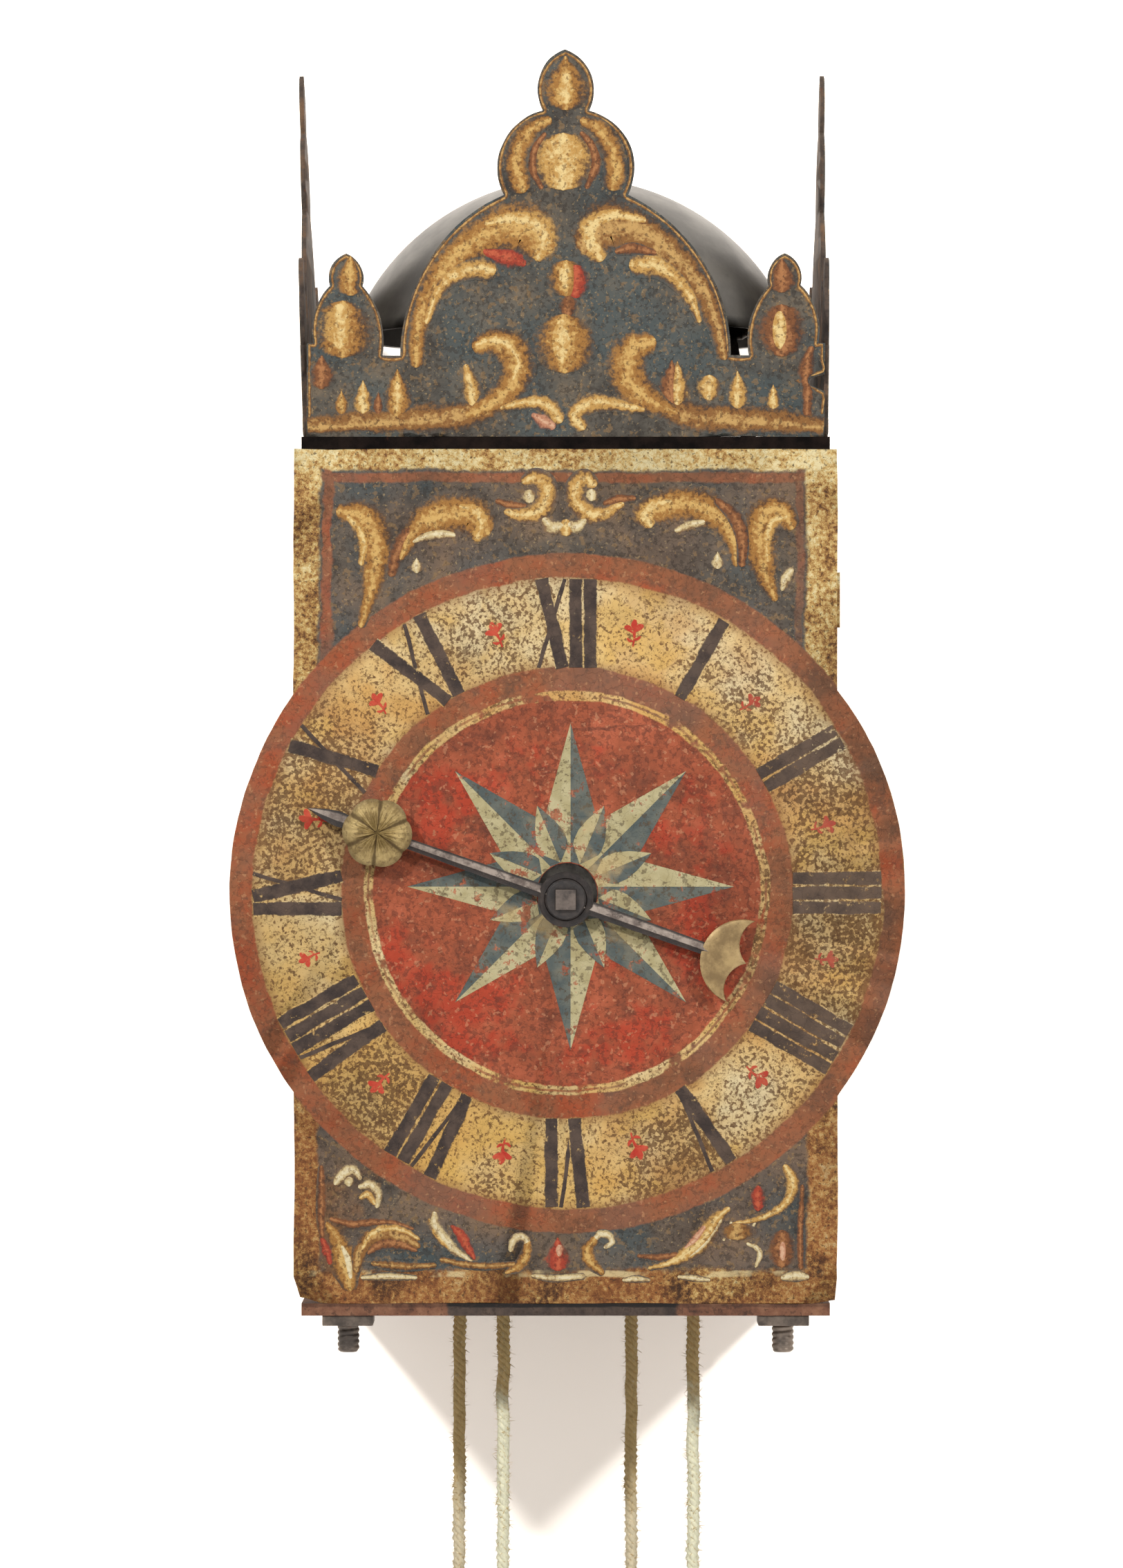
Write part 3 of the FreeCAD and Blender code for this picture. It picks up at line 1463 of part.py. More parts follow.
def nodes():
    """Every node of the clock by its name."""
    bottom, top = plates()
    shapes = {
        "bottom_plate": bottom,
        "top_plate": top,
        "pillars": pillars(),
        "pillar_nuts": pillar_nuts(),
        "front_bar": front_bar(),
        "middle_bar": middle_bar(),
        "rear_bar": rear_bar(),
        "bar_wedges": bar_wedges(),
        "dial_plate": dial_plate(),
        "dial_feet": dial_feet(),
        "front_crest": front_crest(),
        "left_crest": side_crest(-1),
        "right_crest": side_crest(1),
        "back_plate": back_plate(),
        "hanging_hoop": hanging_hoop(),
        "top_plate_rivets": top_plate_rivets(),
        "wall_spurs": wall_spurs(),
        "bell": bell(),
        "bell_stand": bell_stand(),
        "bell_nut": bell_nut(),
        "foliot_cock": foliot_cock(),
        "escapement_cocks": escapement_cocks(),
        "going_great_arbor": going_great_arbor(),
        "going_great_wheel": great_wheel(going_great, going_planes, second),
        "going_pulley": pulley(going_great, going_planes, going_rope_reach),
        "going_click": click(going_great, going_planes),
        "hour_arbor": hour_arbor(),
        "hour_wheel": wheel(hour, hour_teeth, hour_module, hour_wheel_at, hour_wheel_at + wheel_thickness,
                            going_great, arbor_side),
        "hour_hand": hour_hand(),
        "hand_rosette": hand_rosette(),
        "hand_collar": hand_collar(),
        "second_arbor": second_arbor(second, going_planes, going_great),
        "second_wheel": wheel(second, second_teeth, second_module, going_planes.wheel, going_planes.wheel_end,
                              crown, arbor_side),
        "crown_arbor": crown_arbor(),
        "crown_wheel": crown_wheel(),
        "verge": verge(),
        "foliot": foliot(),
        "foliot_weight_left": foliot_weight(-1),
        "foliot_weight_right": foliot_weight(1),
        "strike_great_arbor": strike_great_arbor(),
        "strike_great_wheel": great_wheel(strike_great, strike_planes, hoop),
        "lifting_pins": lifting_pins(),
        "strike_pulley": pulley(strike_great, strike_planes, strike_rope_reach),
        "strike_click": click(strike_great, strike_planes),
        "hoop_arbor": second_arbor(hoop, strike_planes, strike_great),
        "hoop_wheel": hoop_wheel(),
        "fly_arbor": fly_arbor(),
        "fly_vane": fly_vane(),
        "count_wheel": count_wheel(),
        "hammer": hammer(),
        "locking_lever": locking_lever(),
        "lifting_lever": lifting_lever(),
        "left_door": door(-1, left_tab_reach),
        "right_door": door(1, right_tab_reach),
        "going_rope": rope(going_great, going_planes, going_rope_reach),
        "strike_rope": rope(strike_great, strike_planes, strike_rope_reach),
    }
    shapes.update(weights())
    return shapes


def main():
    """Write one file for every node."""
    os.makedirs("parts", exist_ok=True)
    for name, shape in nodes().items():
        shape.translate(to_wall)
        shape.exportStep("parts/" + name + ".step")


if __name__ == "__main__":
    main()
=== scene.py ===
"""Finishes and fine shapes of the iron wall clock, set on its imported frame."""

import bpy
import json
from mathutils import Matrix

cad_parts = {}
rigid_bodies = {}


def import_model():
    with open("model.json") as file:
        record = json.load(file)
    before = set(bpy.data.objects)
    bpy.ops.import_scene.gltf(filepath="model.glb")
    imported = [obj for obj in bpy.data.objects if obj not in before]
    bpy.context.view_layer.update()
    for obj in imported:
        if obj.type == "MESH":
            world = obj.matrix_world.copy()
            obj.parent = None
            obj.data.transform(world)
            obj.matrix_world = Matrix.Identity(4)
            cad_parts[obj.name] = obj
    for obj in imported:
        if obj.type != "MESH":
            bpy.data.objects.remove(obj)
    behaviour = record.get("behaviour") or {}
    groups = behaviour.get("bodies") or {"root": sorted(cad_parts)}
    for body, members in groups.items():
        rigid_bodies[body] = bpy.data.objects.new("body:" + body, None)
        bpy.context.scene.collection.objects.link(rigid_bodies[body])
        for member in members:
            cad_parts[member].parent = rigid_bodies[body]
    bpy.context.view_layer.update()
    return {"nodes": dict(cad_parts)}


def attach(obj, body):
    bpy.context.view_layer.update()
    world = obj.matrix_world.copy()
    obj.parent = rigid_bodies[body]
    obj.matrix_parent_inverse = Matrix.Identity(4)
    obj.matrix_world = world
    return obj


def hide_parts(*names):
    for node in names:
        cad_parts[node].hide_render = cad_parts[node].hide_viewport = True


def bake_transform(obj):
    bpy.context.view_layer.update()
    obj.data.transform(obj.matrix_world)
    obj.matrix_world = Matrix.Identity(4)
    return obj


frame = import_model()

import json
import logging
import math
import random
from dataclasses import dataclass, field
from enum import Enum
from functools import partial
from typing import Callable, Dict, List, Optional, Sequence, Tuple, Union

import bmesh
import bpy
from bpy.types import ID, Material, Mesh, NodeSocket, NodeTree, Object, Scene
from mathutils import Vector, noise
from mathutils.bvhtree import BVHTree

LOG = logging.getLogger("clock")
NOISE_SEED = 17             # unset, the sway of ropes and plates would differ at every run

MM = 0.001
WALL_AT = 170.0             # case depth of the wall plane, where the row frame has its origin
EYE_AT = 322.0              # height of the hanging eye over the bottom plate
PLATE_TOP = 282.0           # height of the top plate's upper face
DOOR_FACE = 78.5            # doors' outer faces from the middle
DOOR_FRONT = 5.0            # doors' front edges behind the dial's face
DOOR_BACK = 139.5           # doors' rolled rear edges
SIDE_FACE = 85.5            # side crest's outer face at its foot
LEFT_LEAN = math.tan(math.radians(2.0))
RIGHT_LEAN = math.tan(math.radians(0.85))
DIAL_MIDDLE = (0.5, 133.5)  # middle of the hour ring, across and up
JOIN = 1e-6                 # points closer than this, in metres, are one
FLAT = math.radians(0.5)    # faces that bend less than this are one
WHITE = (1.0, 1.0, 1.0, 1.0)

Colour = Tuple[float, float, float, float]
Spot = Tuple[float, float]
Place = Callable[[float, float, float], Vector]


# The case is measured right of its middle, behind the dial's front face and above the bottom plate.
def case(x: float, y: float, height: float) -> Vector:
    """Turn a place in the case, in millimetres, into the row frame in metres."""
    return Vector((x * MM, (y - WALL_AT) * MM, (height - EYE_AT) * MM))


def srgb(red: int, green: int, blue: int) -> Colour:
    """Turn a colour written from 0 to 255 into a shader's linear values.

    Args:
        red: red share.
        green: green share.
        blue: blue share.

    Returns:
        The linear colour with full alpha.
    """
    def channel(value: int) -> float:
        """Straighten one channel's curve."""
        share = value / 255
        return share / 12.92 if share <= 0.04045 else ((share + 0.055) / 1.055) ** 2.4
    return (channel(red), channel(green), channel(blue), 1.0)


def circle(count: int) -> List[float]:
    """Angles of even steps round a circle, in radians."""
    return [2 * math.pi * step / count for step in range(count)]


class Field:
    """A node's output that Python's operators turn into Math nodes."""

    def __init__(self, nodes: "Nodes", socket: NodeSocket) -> None:
        """Keep the tree and the socket that gives the value."""
        self.nodes = nodes
        self.socket = socket

    def beside(self, out: Union[int, str]) -> "Field":
        """Another output of the same node."""
        return Field(self.nodes, self.socket.node.outputs[out])

    def _math(self, operation: str, first: "Value", second: "Value" = 0.0) -> "Field":
        """Add one Math node of that operation on two values."""
        return self.nodes.node("ShaderNodeMath", {"operation": operation}, {0: first, 1: second})

    def __add__(self, other: "Value") -> "Field":
        """Sum."""
        return self._math("ADD", self, other)

    __radd__ = __add__

    def __sub__(self, other: "Value") -> "Field":
        """Difference."""
        return self._math("SUBTRACT", self, other)

    def __rsub__(self, other: "Value") -> "Field":
        """Difference with the value on the right."""
        return self._math("SUBTRACT", other, self)

    def __mul__(self, other: "Value") -> "Field":
        """Product."""
        return self._math("MULTIPLY", self, other)

    __rmul__ = __mul__

    def __abs__(self) -> "Field":
        """Size without its sign."""
        return self._math("ABSOLUTE", self)

    def root(self) -> "Field":
        """Square root."""
        return self._math("SQRT", self)

    def wave(self) -> "Field":
        """Cosine of the value."""
        return self._math("COSINE", self)

    def high(self, other: "Value") -> "Field":
        """The larger of two values."""
        return self._math("MAXIMUM", self, other)

    def step(self, start: float, end: float) -> "Field":
        """Go smoothly from 0 at start to 1 at end.

        Args:
            start: value that gives 0.
            end: value that gives 1; it may be the smaller one.

        Returns:
            The smooth step.
        """
        if end < start:
            return 1 - self.step(end, start)
        return self.nodes.node(
            "ShaderNodeMapRange",
            {"interpolation_type": "SMOOTHSTEP", "clamp": True},
            {"Value": self, "From Min": start, "From Max": end},
        )


Value = Union[float, Field]
Tint = Union[Colour, Field]


class Nodes:
    """A node tree and the one way to add nodes to it."""

    def __init__(self, tree: NodeTree) -> None:
        """Empty the tree."""
        self.tree = tree
        tree.nodes.clear()

    def node(self, kind: str, settings: Dict[str, object], sockets: Dict[object, object],
             out: Union[int, str] = 0) -> Field:
        """Add one node, set it and feed its sockets.

        Args:
            kind: type of the node.
            settings: properties, set first; "stops" fills a ramp.
            sockets: values or fields by socket name or number.
            out: name or number of the output that is wanted.

        Returns:
            The output as a field.
        """
        made = self.tree.nodes.new(kind)
        for key, value in settings.items():
            if key == "stops":
                ramp = made.color_ramp
                while len(ramp.elements) < len(value):
                    ramp.elements.new(0.5)
                for element, (position, colour) in zip(ramp.elements, value):
                    element.position = position
                    element.color = colour
            else:
                setattr(made, key, value)
        for key, value in sockets.items():
            socket = made.inputs[key]
            if isinstance(value, Field):
                self.tree.links.new(value.socket, socket)
            else:
                socket.default_value = value
        return Field(self, made.outputs[out])

    def seen(self) -> Field:
        """1 for what is looked at, straight or in a gloss, and 0 for all other light."""
        ray = self.node("ShaderNodeLightPath", {}, {}, "Is Camera Ray")
        return ray.high(ray.beside("Is Glossy Ray")).high(ray.beside("Is Transmission Ray"))

    def end(self, kind: str, value: Field) -> None:
        """Link a value to a new output node of the tree."""
        self.tree.links.new(value.socket, self.tree.nodes.new(kind).inputs[0])


class Recipe(Nodes):
    """One material and the nodes that it is mixed from."""

    def __init__(self, name: str) -> None:
        """Start an empty node material of that name.

        Args:
            name: name of the material.
        """
        self.material = bpy.data.materials.new(name)
        self.material.use_nodes = True
        super().__init__(self.material.node_tree)
        self._spot: Optional[Field] = None

    def spot(self) -> Field:
        """Object coordinates, in metres.

        Returns:
            The coordinates, from one node for the whole recipe.
        """
        if self._spot is None:
            self._spot = self.node("ShaderNodeTexCoord", {}, {}, "Object")
        return self._spot

    def axes(self) -> Tuple[Field, Field, Field]:
        """Case coordinates in millimetres: right, back and up."""
        x = self.node("ShaderNodeSeparateXYZ", {}, {0: self.spot()})
        return x * 1000, x.beside(1) * 1000 + WALL_AT, x.beside(2) * 1000 + EYE_AT

    def strip(self) -> Tuple[Field, Field]:
        """The piece's own map: along a stroke or strand in millimetres, and across it from 0 to 1."""
        along = self.node("ShaderNodeSeparateXYZ", {}, {0: self.node("ShaderNodeTexCoord", {}, {}, "UV")})
        return along, along.beside(1)

    def grain(self, scale: float, detail: float = 3.0, rough: float = 0.6, warp: float = 0.0,
              stretch: Optional[Tuple[float, float, float]] = None) -> Field:
        """Noise on object coordinates.

        Args:
            scale: grains per metre.
            detail: octaves.
            rough: weight of the finer octaves.
            warp: how far the noise is stirred.
            stretch: scale of each axis, where the grain has a direction.

        Returns:
            A field around 0.5.
        """
        where = self.spot()
        if stretch is not None:
            where = self.node("ShaderNodeMapping", {}, {"Vector": where, "Scale": stretch})
        return self.node("ShaderNodeTexNoise", {}, {
            "Vector": where, "Scale": scale, "Detail": detail, "Roughness": rough, "Distortion": warp})

    def cracks(self, scale: float, width: float) -> Field:
        """Thin crooked lines between cells, 1 on a line and 0 off it.

        Args:
            scale: cells per metre.
            width: share of a cell that a line takes.

        Returns:
            The mask of the lines.
        """
        sockets = {"Vector": self.spot(), "Scale": scale * 2, "Detail": 3.0}
        bend = self.node("ShaderNodeTexNoise", {}, sockets, "Color")
        moved = self.node("ShaderNodeVectorMath", {"operation": "MULTIPLY_ADD"},
                          {0: bend, 1: (0.9 / scale,) * 3, 2: self.spot()})
        edge = self.node("ShaderNodeTexVoronoi", {"feature": "DISTANCE_TO_EDGE"},
                         {"Vector": moved, "Scale": scale})
        return edge.step(width, 0.0)

    def mix(self, share: Value, first: Tint, second: Tint) -> Field:
        """Mix two colours; a share of 0 gives the first."""
        return self.node("ShaderNodeMix", {"data_type": "RGBA"}, {0: share, 6: first, 7: second}, 2)

    def ramp(self, value: Field, *stops: Tuple[float, Colour]) -> Field:
        """Colour a value by stops, each a position and a colour."""
        return self.node("ShaderNodeValToRGB", {"stops": stops}, {0: value})

    def shade(self, colour: Tint, value: Field, dark: float) -> Field:
        """Darken a colour where a value is low.

        Args:
            colour: what is darkened.
            value: field from 0 to 1.
            dark: share of the colour that is left at 0.

        Returns:
            The darkened colour.
        """
        grey = (dark, dark, dark, 1.0)
        level = self.mix(value, grey, WHITE)
        return self.node("ShaderNodeMix", {"data_type": "RGBA", "blend_type": "MULTIPLY"},
                         {0: 1.0, 6: colour, 7: level}, 2)

    def finish(self, colour: Tint, rough: Value, metal: Value = 0.0, height: Optional[Field] = None,
               depth: float = 0.0002, specular: float = 0.5) -> Material:
        """End the material in one surface shader.

        Args:
            colour: base colour.
            rough: roughness.
            metal: metallic share.
            height: bump height from 0 to 1.
            depth: bump depth in metres.
            specular: level of the plain gloss.

        Returns:
            The material.
        """
        sockets = {"Base Color": colour, "Roughness": rough, "Metallic": metal,
                   "Specular IOR Level": specular}
        if height is not None:
            bump = {"Strength": 1.0, "Distance": depth, "Height": height}
            sockets["Normal"] = self.node("ShaderNodeBump", {}, bump)
        self.end("ShaderNodeOutputMaterial", self.node("ShaderNodeBsdfPrincipled", {}, sockets))
        return self.material


WORN_SPOTS = (                  # place on the dial and size
    ((-92.0, 166.0), 46.0), ((90.0, 118.0), 52.0), ((-64.0, 66.0), 26.0), ((36.0, 44.0), 30.0),
    ((88.0, 168.0), 24.0))


def away_from(x: Field, height: Field, spot: Spot) -> Field:
    """Distance from a spot on the dial, in millimetres."""
    across, up = x - spot[0], height - spot[1]
    return (across * across + up * up).root()


class PaintRecipe(Recipe):
    """A recipe that holds the clock's old paints."""

    def wear(self) -> Field:
        """Large uneven patches where the paint has suffered more."""
        return self.grain(17.0, 2.0, 0.5)

    def flecks(self, scale: float, start: Value, soft: float = 0.05, detail: float = 4.0) -> Field:
        """Small chipped spots, 1 in a spot; the higher the noise value they start at, the fewer."""
        return (self.grain(scale, detail, 0.72) - start).step(0.0, soft)

    def dots(self, cover: Value, scale: float = 720.0) -> Field:
        """Fine stipple, 1 in a dot; a cover of 0 gives a few dots, 1 covers most of the surface."""
        return (self.grain(scale, 2.0, 0.55) + cover * 0.27).step(0.66, 0.72)

    def ground(self) -> Field:
        """The dark grey ground of the corners and crests.

        Returns:
            The colour.
        """
        base = self.ramp(self.grain(60.0, 5.0, 0.7), (0.32, srgb(60, 55, 50)), (0.5, srgb(92, 86, 77)),
                         (0.68, srgb(126, 109, 88)))
        base = self.mix(self.grain(24.0, 2.0).step(0.44, 0.62) * 0.65, base, srgb(72, 85, 87))
        x, _, height = self.axes()
        stain = (self.grain(40.0, 4.0, 0.7) + (abs(x) - 50) * 0.004 - height * 0.0022).step(0.5, 0.72)
        base = self.mix(stain * 0.65, base, srgb(134, 92, 54))
        warm = height.step(284.0, 276.0) * self.grain(30.0, 3.0).step(0.3, 0.7)
        base = self.mix(warm * 0.36, base, srgb(142, 104, 78))
        base = self.mix(self.dots(0.45) * 0.5, base, srgb(50, 42, 36))
        base = self.mix(self.dots(0.3, 460.0) * 0.45, base, srgb(150, 118, 78))
        return self.mix(self.dots(0.1, 940.0) * 0.5, base, srgb(176, 150, 108))

    def ochre_edge(self) -> Field:
        """The broken ochre paint of the border, browner to the left and below.

        Returns:
            The colour.
        """
        x, _, height = self.axes()
        mottle = self.grain(560.0, 4.0, 0.8) * 0.75 + self.grain(90.0, 4.0) * 0.4 - 0.075
        mottle = mottle + x * 0.0002 + (height - 150) * 0.00026 + height.step(262.0, 272.0) * 0.05
        base = self.ramp(
            mottle, (0.36, srgb(66, 44, 30)), (0.44, srgb(126, 86, 50)), (0.51, srgb(180, 136, 78)),
            (0.58, srgb(212, 180, 116)), (0.68, srgb(234, 216, 166)))
        rusty = (self.grain(45.0, 3.0) - height * 0.0012).step(0.36, 0.6)
        base = self.mix(rusty * 0.45, base, srgb(158, 94, 52))
        return self.mix(self.dots(0.25, 800.0) * 0.7, base, srgb(70, 50, 36))

    def cream(self) -> Field:
        """The stippled cream paint of the hour ring, heavily worn in a few places.

        Returns:
            The colour.
        """
        x, _, height = self.axes()
        tone = self.ramp(self.grain(34.0, 3.0), (0.35, srgb(214, 166, 98)), (0.5, srgb(230, 196, 134)),
                         (0.65, srgb(240, 220, 172)))
        heavy = (self.wear() + x * 0.0012).step(0.42, 0.7) * 0.7
        for spot, size in WORN_SPOTS:
            away = away_from(x, height, spot) + (self.grain(60.0) - 0.5) * 30
            heavy = heavy.high(away.step(size, size * 0.35))
        browned = self.grain(28.0, 4.0).step(0.48, 0.68) * (0.3 + heavy * 0.45)
        tone = self.mix(browned, tone, srgb(190, 134, 76))
        tone = self.mix(self.grain(36.0, 3.0, 0.6, 0.4).step(0.53, 0.64) * 0.6, tone, srgb(222, 178, 94))
        lower_left = (133 - height - x + (self.grain(45.0) - 0.5) * 120).step(30, 130)
        tone = self.mix(lower_left * 0.6, tone, srgb(220, 174, 92))
        tone = self.mix(heavy * 0.3, tone, srgb(176, 130, 82))
        dark = self.mix(self.grain(150.0), srgb(66, 44, 30), srgb(124, 84, 50))
        cover = heavy * 0.45 + 0.28 + (self.grain(80.0, 4.0) - 0.5) * 1.15
        tone = self.mix(self.dots(cover, 740.0) * 0.8, tone, dark)
        tone = self.mix(self.dots(0.38, 1150.0) * 0.55, tone, dark)
        tone = self.mix(self.flecks(230.0, 0.65 - heavy * 0.07, 0.06, 5.0) * 0.7, tone, dark)
        return self.mix(self.cracks(260.0, 0.06) * (0.1 + heavy * 0.35), tone, srgb(88, 60, 40))

    def brick(self) -> Field:
        """The brown-red paint of the rings.

        Returns:
            The colour.
        """
        x, _, _ = self.axes()
        tone = self.ramp(self.grain(55.0, 5.0, 0.7) - x * 0.0003, (0.3, srgb(118, 82, 60)),
                         (0.5, srgb(158, 98, 66)), (0.68, srgb(170, 84, 52)))
        tone = self.mix(self.dots(0.42) * 0.42, tone, srgb(92, 62, 46))
        tone = self.mix(self.grain(26.0, 3.0).step(0.47, 0.64) * 0.5, tone, srgb(124, 90, 74))
        tone = self.mix(self.flecks(120.0, 0.55, 0.1, 5.0) * 0.45, tone, srgb(98, 74, 60))
        return self.mix(self.dots(0.2, 500.0) * 0.4, tone, srgb(206, 152, 108))

    def disc(self) -> Field:
        """The brighter red of the dial's middle.

        Returns:
            The colour.
        """
        tone = self.ramp(self.grain(70.0, 5.0, 0.75), (0.32, srgb(128, 72, 52)), (0.5, srgb(164, 86, 58)),
                         (0.66, srgb(188, 100, 70)))
        tone = self.mix(self.grain(34.0, 4.0, 0.7).step(0.5, 0.64) * 0.65, tone, srgb(186, 58, 38))
        tone = self.mix(self.flecks(120.0, 0.54, 0.1, 6.0) * 0.5, tone, srgb(110, 64, 48))
        tone = self.mix(self.dots(0.5, 680.0) * 0.5, tone, srgb(96, 52, 40))
        scratch = self.grain(90.0, 5.0, 0.7, 0.3, (0.3, 1.0, 1.0)).step(0.63, 0.68)
        tone = self.mix(scratch * 0.5, tone, srgb(86, 52, 42))
        return self.mix(self.dots(0.15, 520.0) * 0.45, tone, srgb(212, 146, 108))

    def skin(self) -> Field:
        """Height of the paint: brush, cracks and chips."""
        brushed = self.grain(420.0, 4.0, 0.65) * 0.6 + self.grain(90.0, 2.0) * 0.8
        return brushed - self.cracks(210.0, 0.04) * 0.25

    def gloss(self) -> Field:
        """Roughness of the old paint."""
        return 0.5 + self.grain(150.0, 3.0) * 0.3

    def painted(self, colour: Tint, depth: float = 0.0003) -> Material:
        """End in dry old paint."""
        return self.finish(colour, self.gloss(), 0.0, self.skin(), depth, 0.18)

    def bare(self) -> Field:
        """The brown old iron on edges and rear faces.

        Returns:
            The colour.
        """
        tone = self.ramp(self.grain(120.0, 4.0, 0.65), (0.33, srgb(54, 46, 42)), (0.52, srgb(88, 74, 64)),
                         (0.68, srgb(120, 92, 70)))
        return self.mix(self.flecks(260.0, 0.62) * 0.6, tone, srgb(112, 66, 42))


@dataclass(frozen=True)
class DialFinish:
    """The painted front of the dial plate: border, ground and rings."""

    name: str = "dial_paint"
    middle: Spot = DIAL_MIDDLE
    ring_out: float = 110.4
    hours_out: float = 102.6
    hours_in: float = 73.6
    line_out: float = 66.0
    line_in: float = 63.0
    hours_middle: float = 88.0
    crack_at: float = 64.6                          # crack along the thin cream ring
    border_sides: Spot = (-80.4, 78.6)              # inner edges of the ochre border
    border_ends: Spot = (10.9, 271.0)
    red_sides: Spot = (-77.7, 76.4)                 # red lines inside the border
    red_top: float = 268.6
    pale_low: float = 9.6                           # broken pale line on the lower border

    def material(self) -> Material:
        """Mix the dial's paint.

        Returns:
            The material.
        """
        mix = PaintRecipe(self.name)
        x, y, height = mix.axes()
        stray = (mix.grain(55.0, 2.0) - 0.5) * 5 + (mix.grain(420.0, 3.0) - 0.5) * 2.2
        away = away_from(x, height, self.middle)
        reach = away + stray * 0.45
        ground = mix.ground()
        border = mix.ochre_edge()
        red_line = mix.brick()
        left, right = x + stray, x - stray * 0.8
        (far_left, far_right), (low, high) = self.border_sides, self.border_ends
        inner = (left - far_left).step(0.7, -0.7).high((right - far_right).step(-0.7, 0.7))
        inner = inner.high((height + stray - high).step(-0.6, 0.6))
        inner = inner.high((height - stray * 1.6 - low).step(1.2, -1.2))
        upper = height.step(205.0, 222.0)
        lines = abs(height + stray * 0.5 - self.red_top).step(2.0, 1.1)
        lines = lines.high(abs(left - self.red_sides[0]).step(2.2, 1.2) * upper)
        lines = lines.high(abs(right - self.red_sides[1]).step(1.8, 0.8) * upper * 0.6)
        colour = mix.mix(lines * 0.9, ground, red_line)
        colour = mix.mix(inner, colour, border)
        low_line = abs(height - self.pale_low + stray * 0.4).step(1.3, 0.6)
        low_line = low_line * mix.grain(60.0, 4.0).step(0.46, 0.56)
        colour = mix.mix(low_line * 0.75, colour, srgb(226, 202, 150))
        brick = mix.brick()
        cream = mix.cream()
        colour = mix.mix(reach.step(self.ring_out + 0.4, self.ring_out - 0.4), colour, brick)
        soiled = mix.mix(abs(reach - self.hours_middle).step(10.5, 15.0) * 0.5, cream, srgb(140, 94, 58))
        colour = mix.mix(reach.step(self.hours_out + 0.5, self.hours_out - 0.3), colour, soiled)
        colour = mix.mix(reach.step(self.hours_in + 0.4, self.hours_in - 0.4), colour, brick)
        thin = reach.step(self.line_out + 0.3, self.line_out - 0.3)
        broken = mix.grain(130.0, 3.0).step(0.36, 0.46)
        colour = mix.mix(thin * broken, colour, cream)
        crack = abs(reach - self.crack_at).step(0.55, 0.2) * mix.grain(70.0).step(0.4, 0.55)
        colour = mix.mix(crack * 0.8, colour, brick)
        colour = mix.mix(reach.step(self.line_in + 0.3, self.line_in - 0.3), colour, mix.disc())
        colour = mix.shade(colour, mix.grain(26.0, 3.0).step(0.3, 0.55), 0.78)
        front = y.step(0.35, 0.15)
        # painted shade: the plate's rear faces within 13 mm of the middle, the hole's wall among them, are
        # near black like the dark case behind the hole
        hole = away.step(13.0, 11.0)
        rear = mix.mix(hole, mix.bare(), srgb(14, 11, 10))
        return mix.painted(mix.mix(front, rear, colour), 0.00035)


@dataclass(frozen=True)
class PlateFinish:
    """Dark painted plate whose other faces are bare iron."""

    name: str
    axis: int               # 0 across, 1 back
    face: float             # case place of the painted face
    sign: float             # side on which the paint lies
    edge: float = 0.0       # width of an ochre edge round the door, none where 0
    lean: float = 0.0       # outward slope of the face above the top plate
    ends: Spot = (12.0, 266.0)      # where the door's ochre edge stops, below and above

    def material(self) -> Material:
        """Mix the plate's paint.

        Returns:
            The material.
        """
        mix = PaintRecipe(self.name)
        axes = mix.axes()
        away = (axes[self.axis] - self.face) * self.sign - (axes[2] - PLATE_TOP) * self.lean
        painted = away.step(-0.35, -0.15)
        colour = mix.ground()
        if self.edge:
            stray = (mix.grain(60.0, 2.0) - 0.5) * 6
            depth, height = axes[1] + stray, axes[2] + stray
            low, high = DOOR_FRONT + self.edge, DOOR_BACK - self.edge
            frame_mask = (depth - low).step(0.7, -0.7).high((depth - high).step(-0.7, 0.7))
            frame_mask = frame_mask.high((height - self.ends[0]).step(0.7, -0.7))
            frame_mask = frame_mask.high((height - self.ends[1]).step(-0.7, 0.7))
            colour = mix.mix(frame_mask, colour, mix.ochre_edge())
        colour = mix.mix(painted, mix.bare(), colour)
        return mix.painted(colour)


class Tone(Enum):
    """The colours that the ornament is painted in: body, light, shade."""

    OCHRE = ((166, 117, 60), (216, 174, 104), (92, 60, 36))
    GOLD = ((198, 152, 84), (236, 206, 142), (110, 74, 42))
    BROWN = ((142, 98, 54), (202, 160, 98), (80, 54, 36))
    RUST = ((126, 80, 50), (176, 120, 76), (74, 48, 36))
    RED = ((164, 66, 48), (196, 96, 66), (104, 52, 40))
    PALE = ((210, 186, 136), (234, 218, 178), (140, 106, 68))
    PINK = ((196, 138, 106), (222, 176, 142), (150, 86, 62))


OCHRE, GOLD, BROWN, RUST, RED, PALE, PINK = Tone


@dataclass(frozen=True)
class StrokeFinish:
    """Paint of the ornament's strokes: shaded across, broken at the edges, speckled."""

    tone: Tone

    def material(self) -> Material:
        """Mix the stroke's paint over the plate's own paint.

        Returns:
            The material.
        """
        mix = PaintRecipe("stroke_" + self.tone.name.lower())
        body, light, shade = (srgb(*rgb) for rgb in self.tone.value)
        _, across = mix.strip()
        fine = mix.grain(700.0, 2.0, 0.55) - 0.5
        broad = mix.grain(150.0, 4.0, 0.65) - 0.5
        hump = 1 - abs(across * 2 - 1)
        level = hump * 0.95 + fine * 1.3 + broad * 0.9 + (across - 0.5) * 0.24 - 0.06
        paint = mix.ramp(level, (0.1, shade), (0.4, body), (0.56, body), (0.9, light))
        paint = mix.mix(mix.dots(0.3, 820.0) * 0.6, paint, shade)
        colour = mix.mix((hump + broad * 0.55 + fine * 0.5).step(0.0, 0.55), mix.ground(), paint)
        return mix.painted(colour)


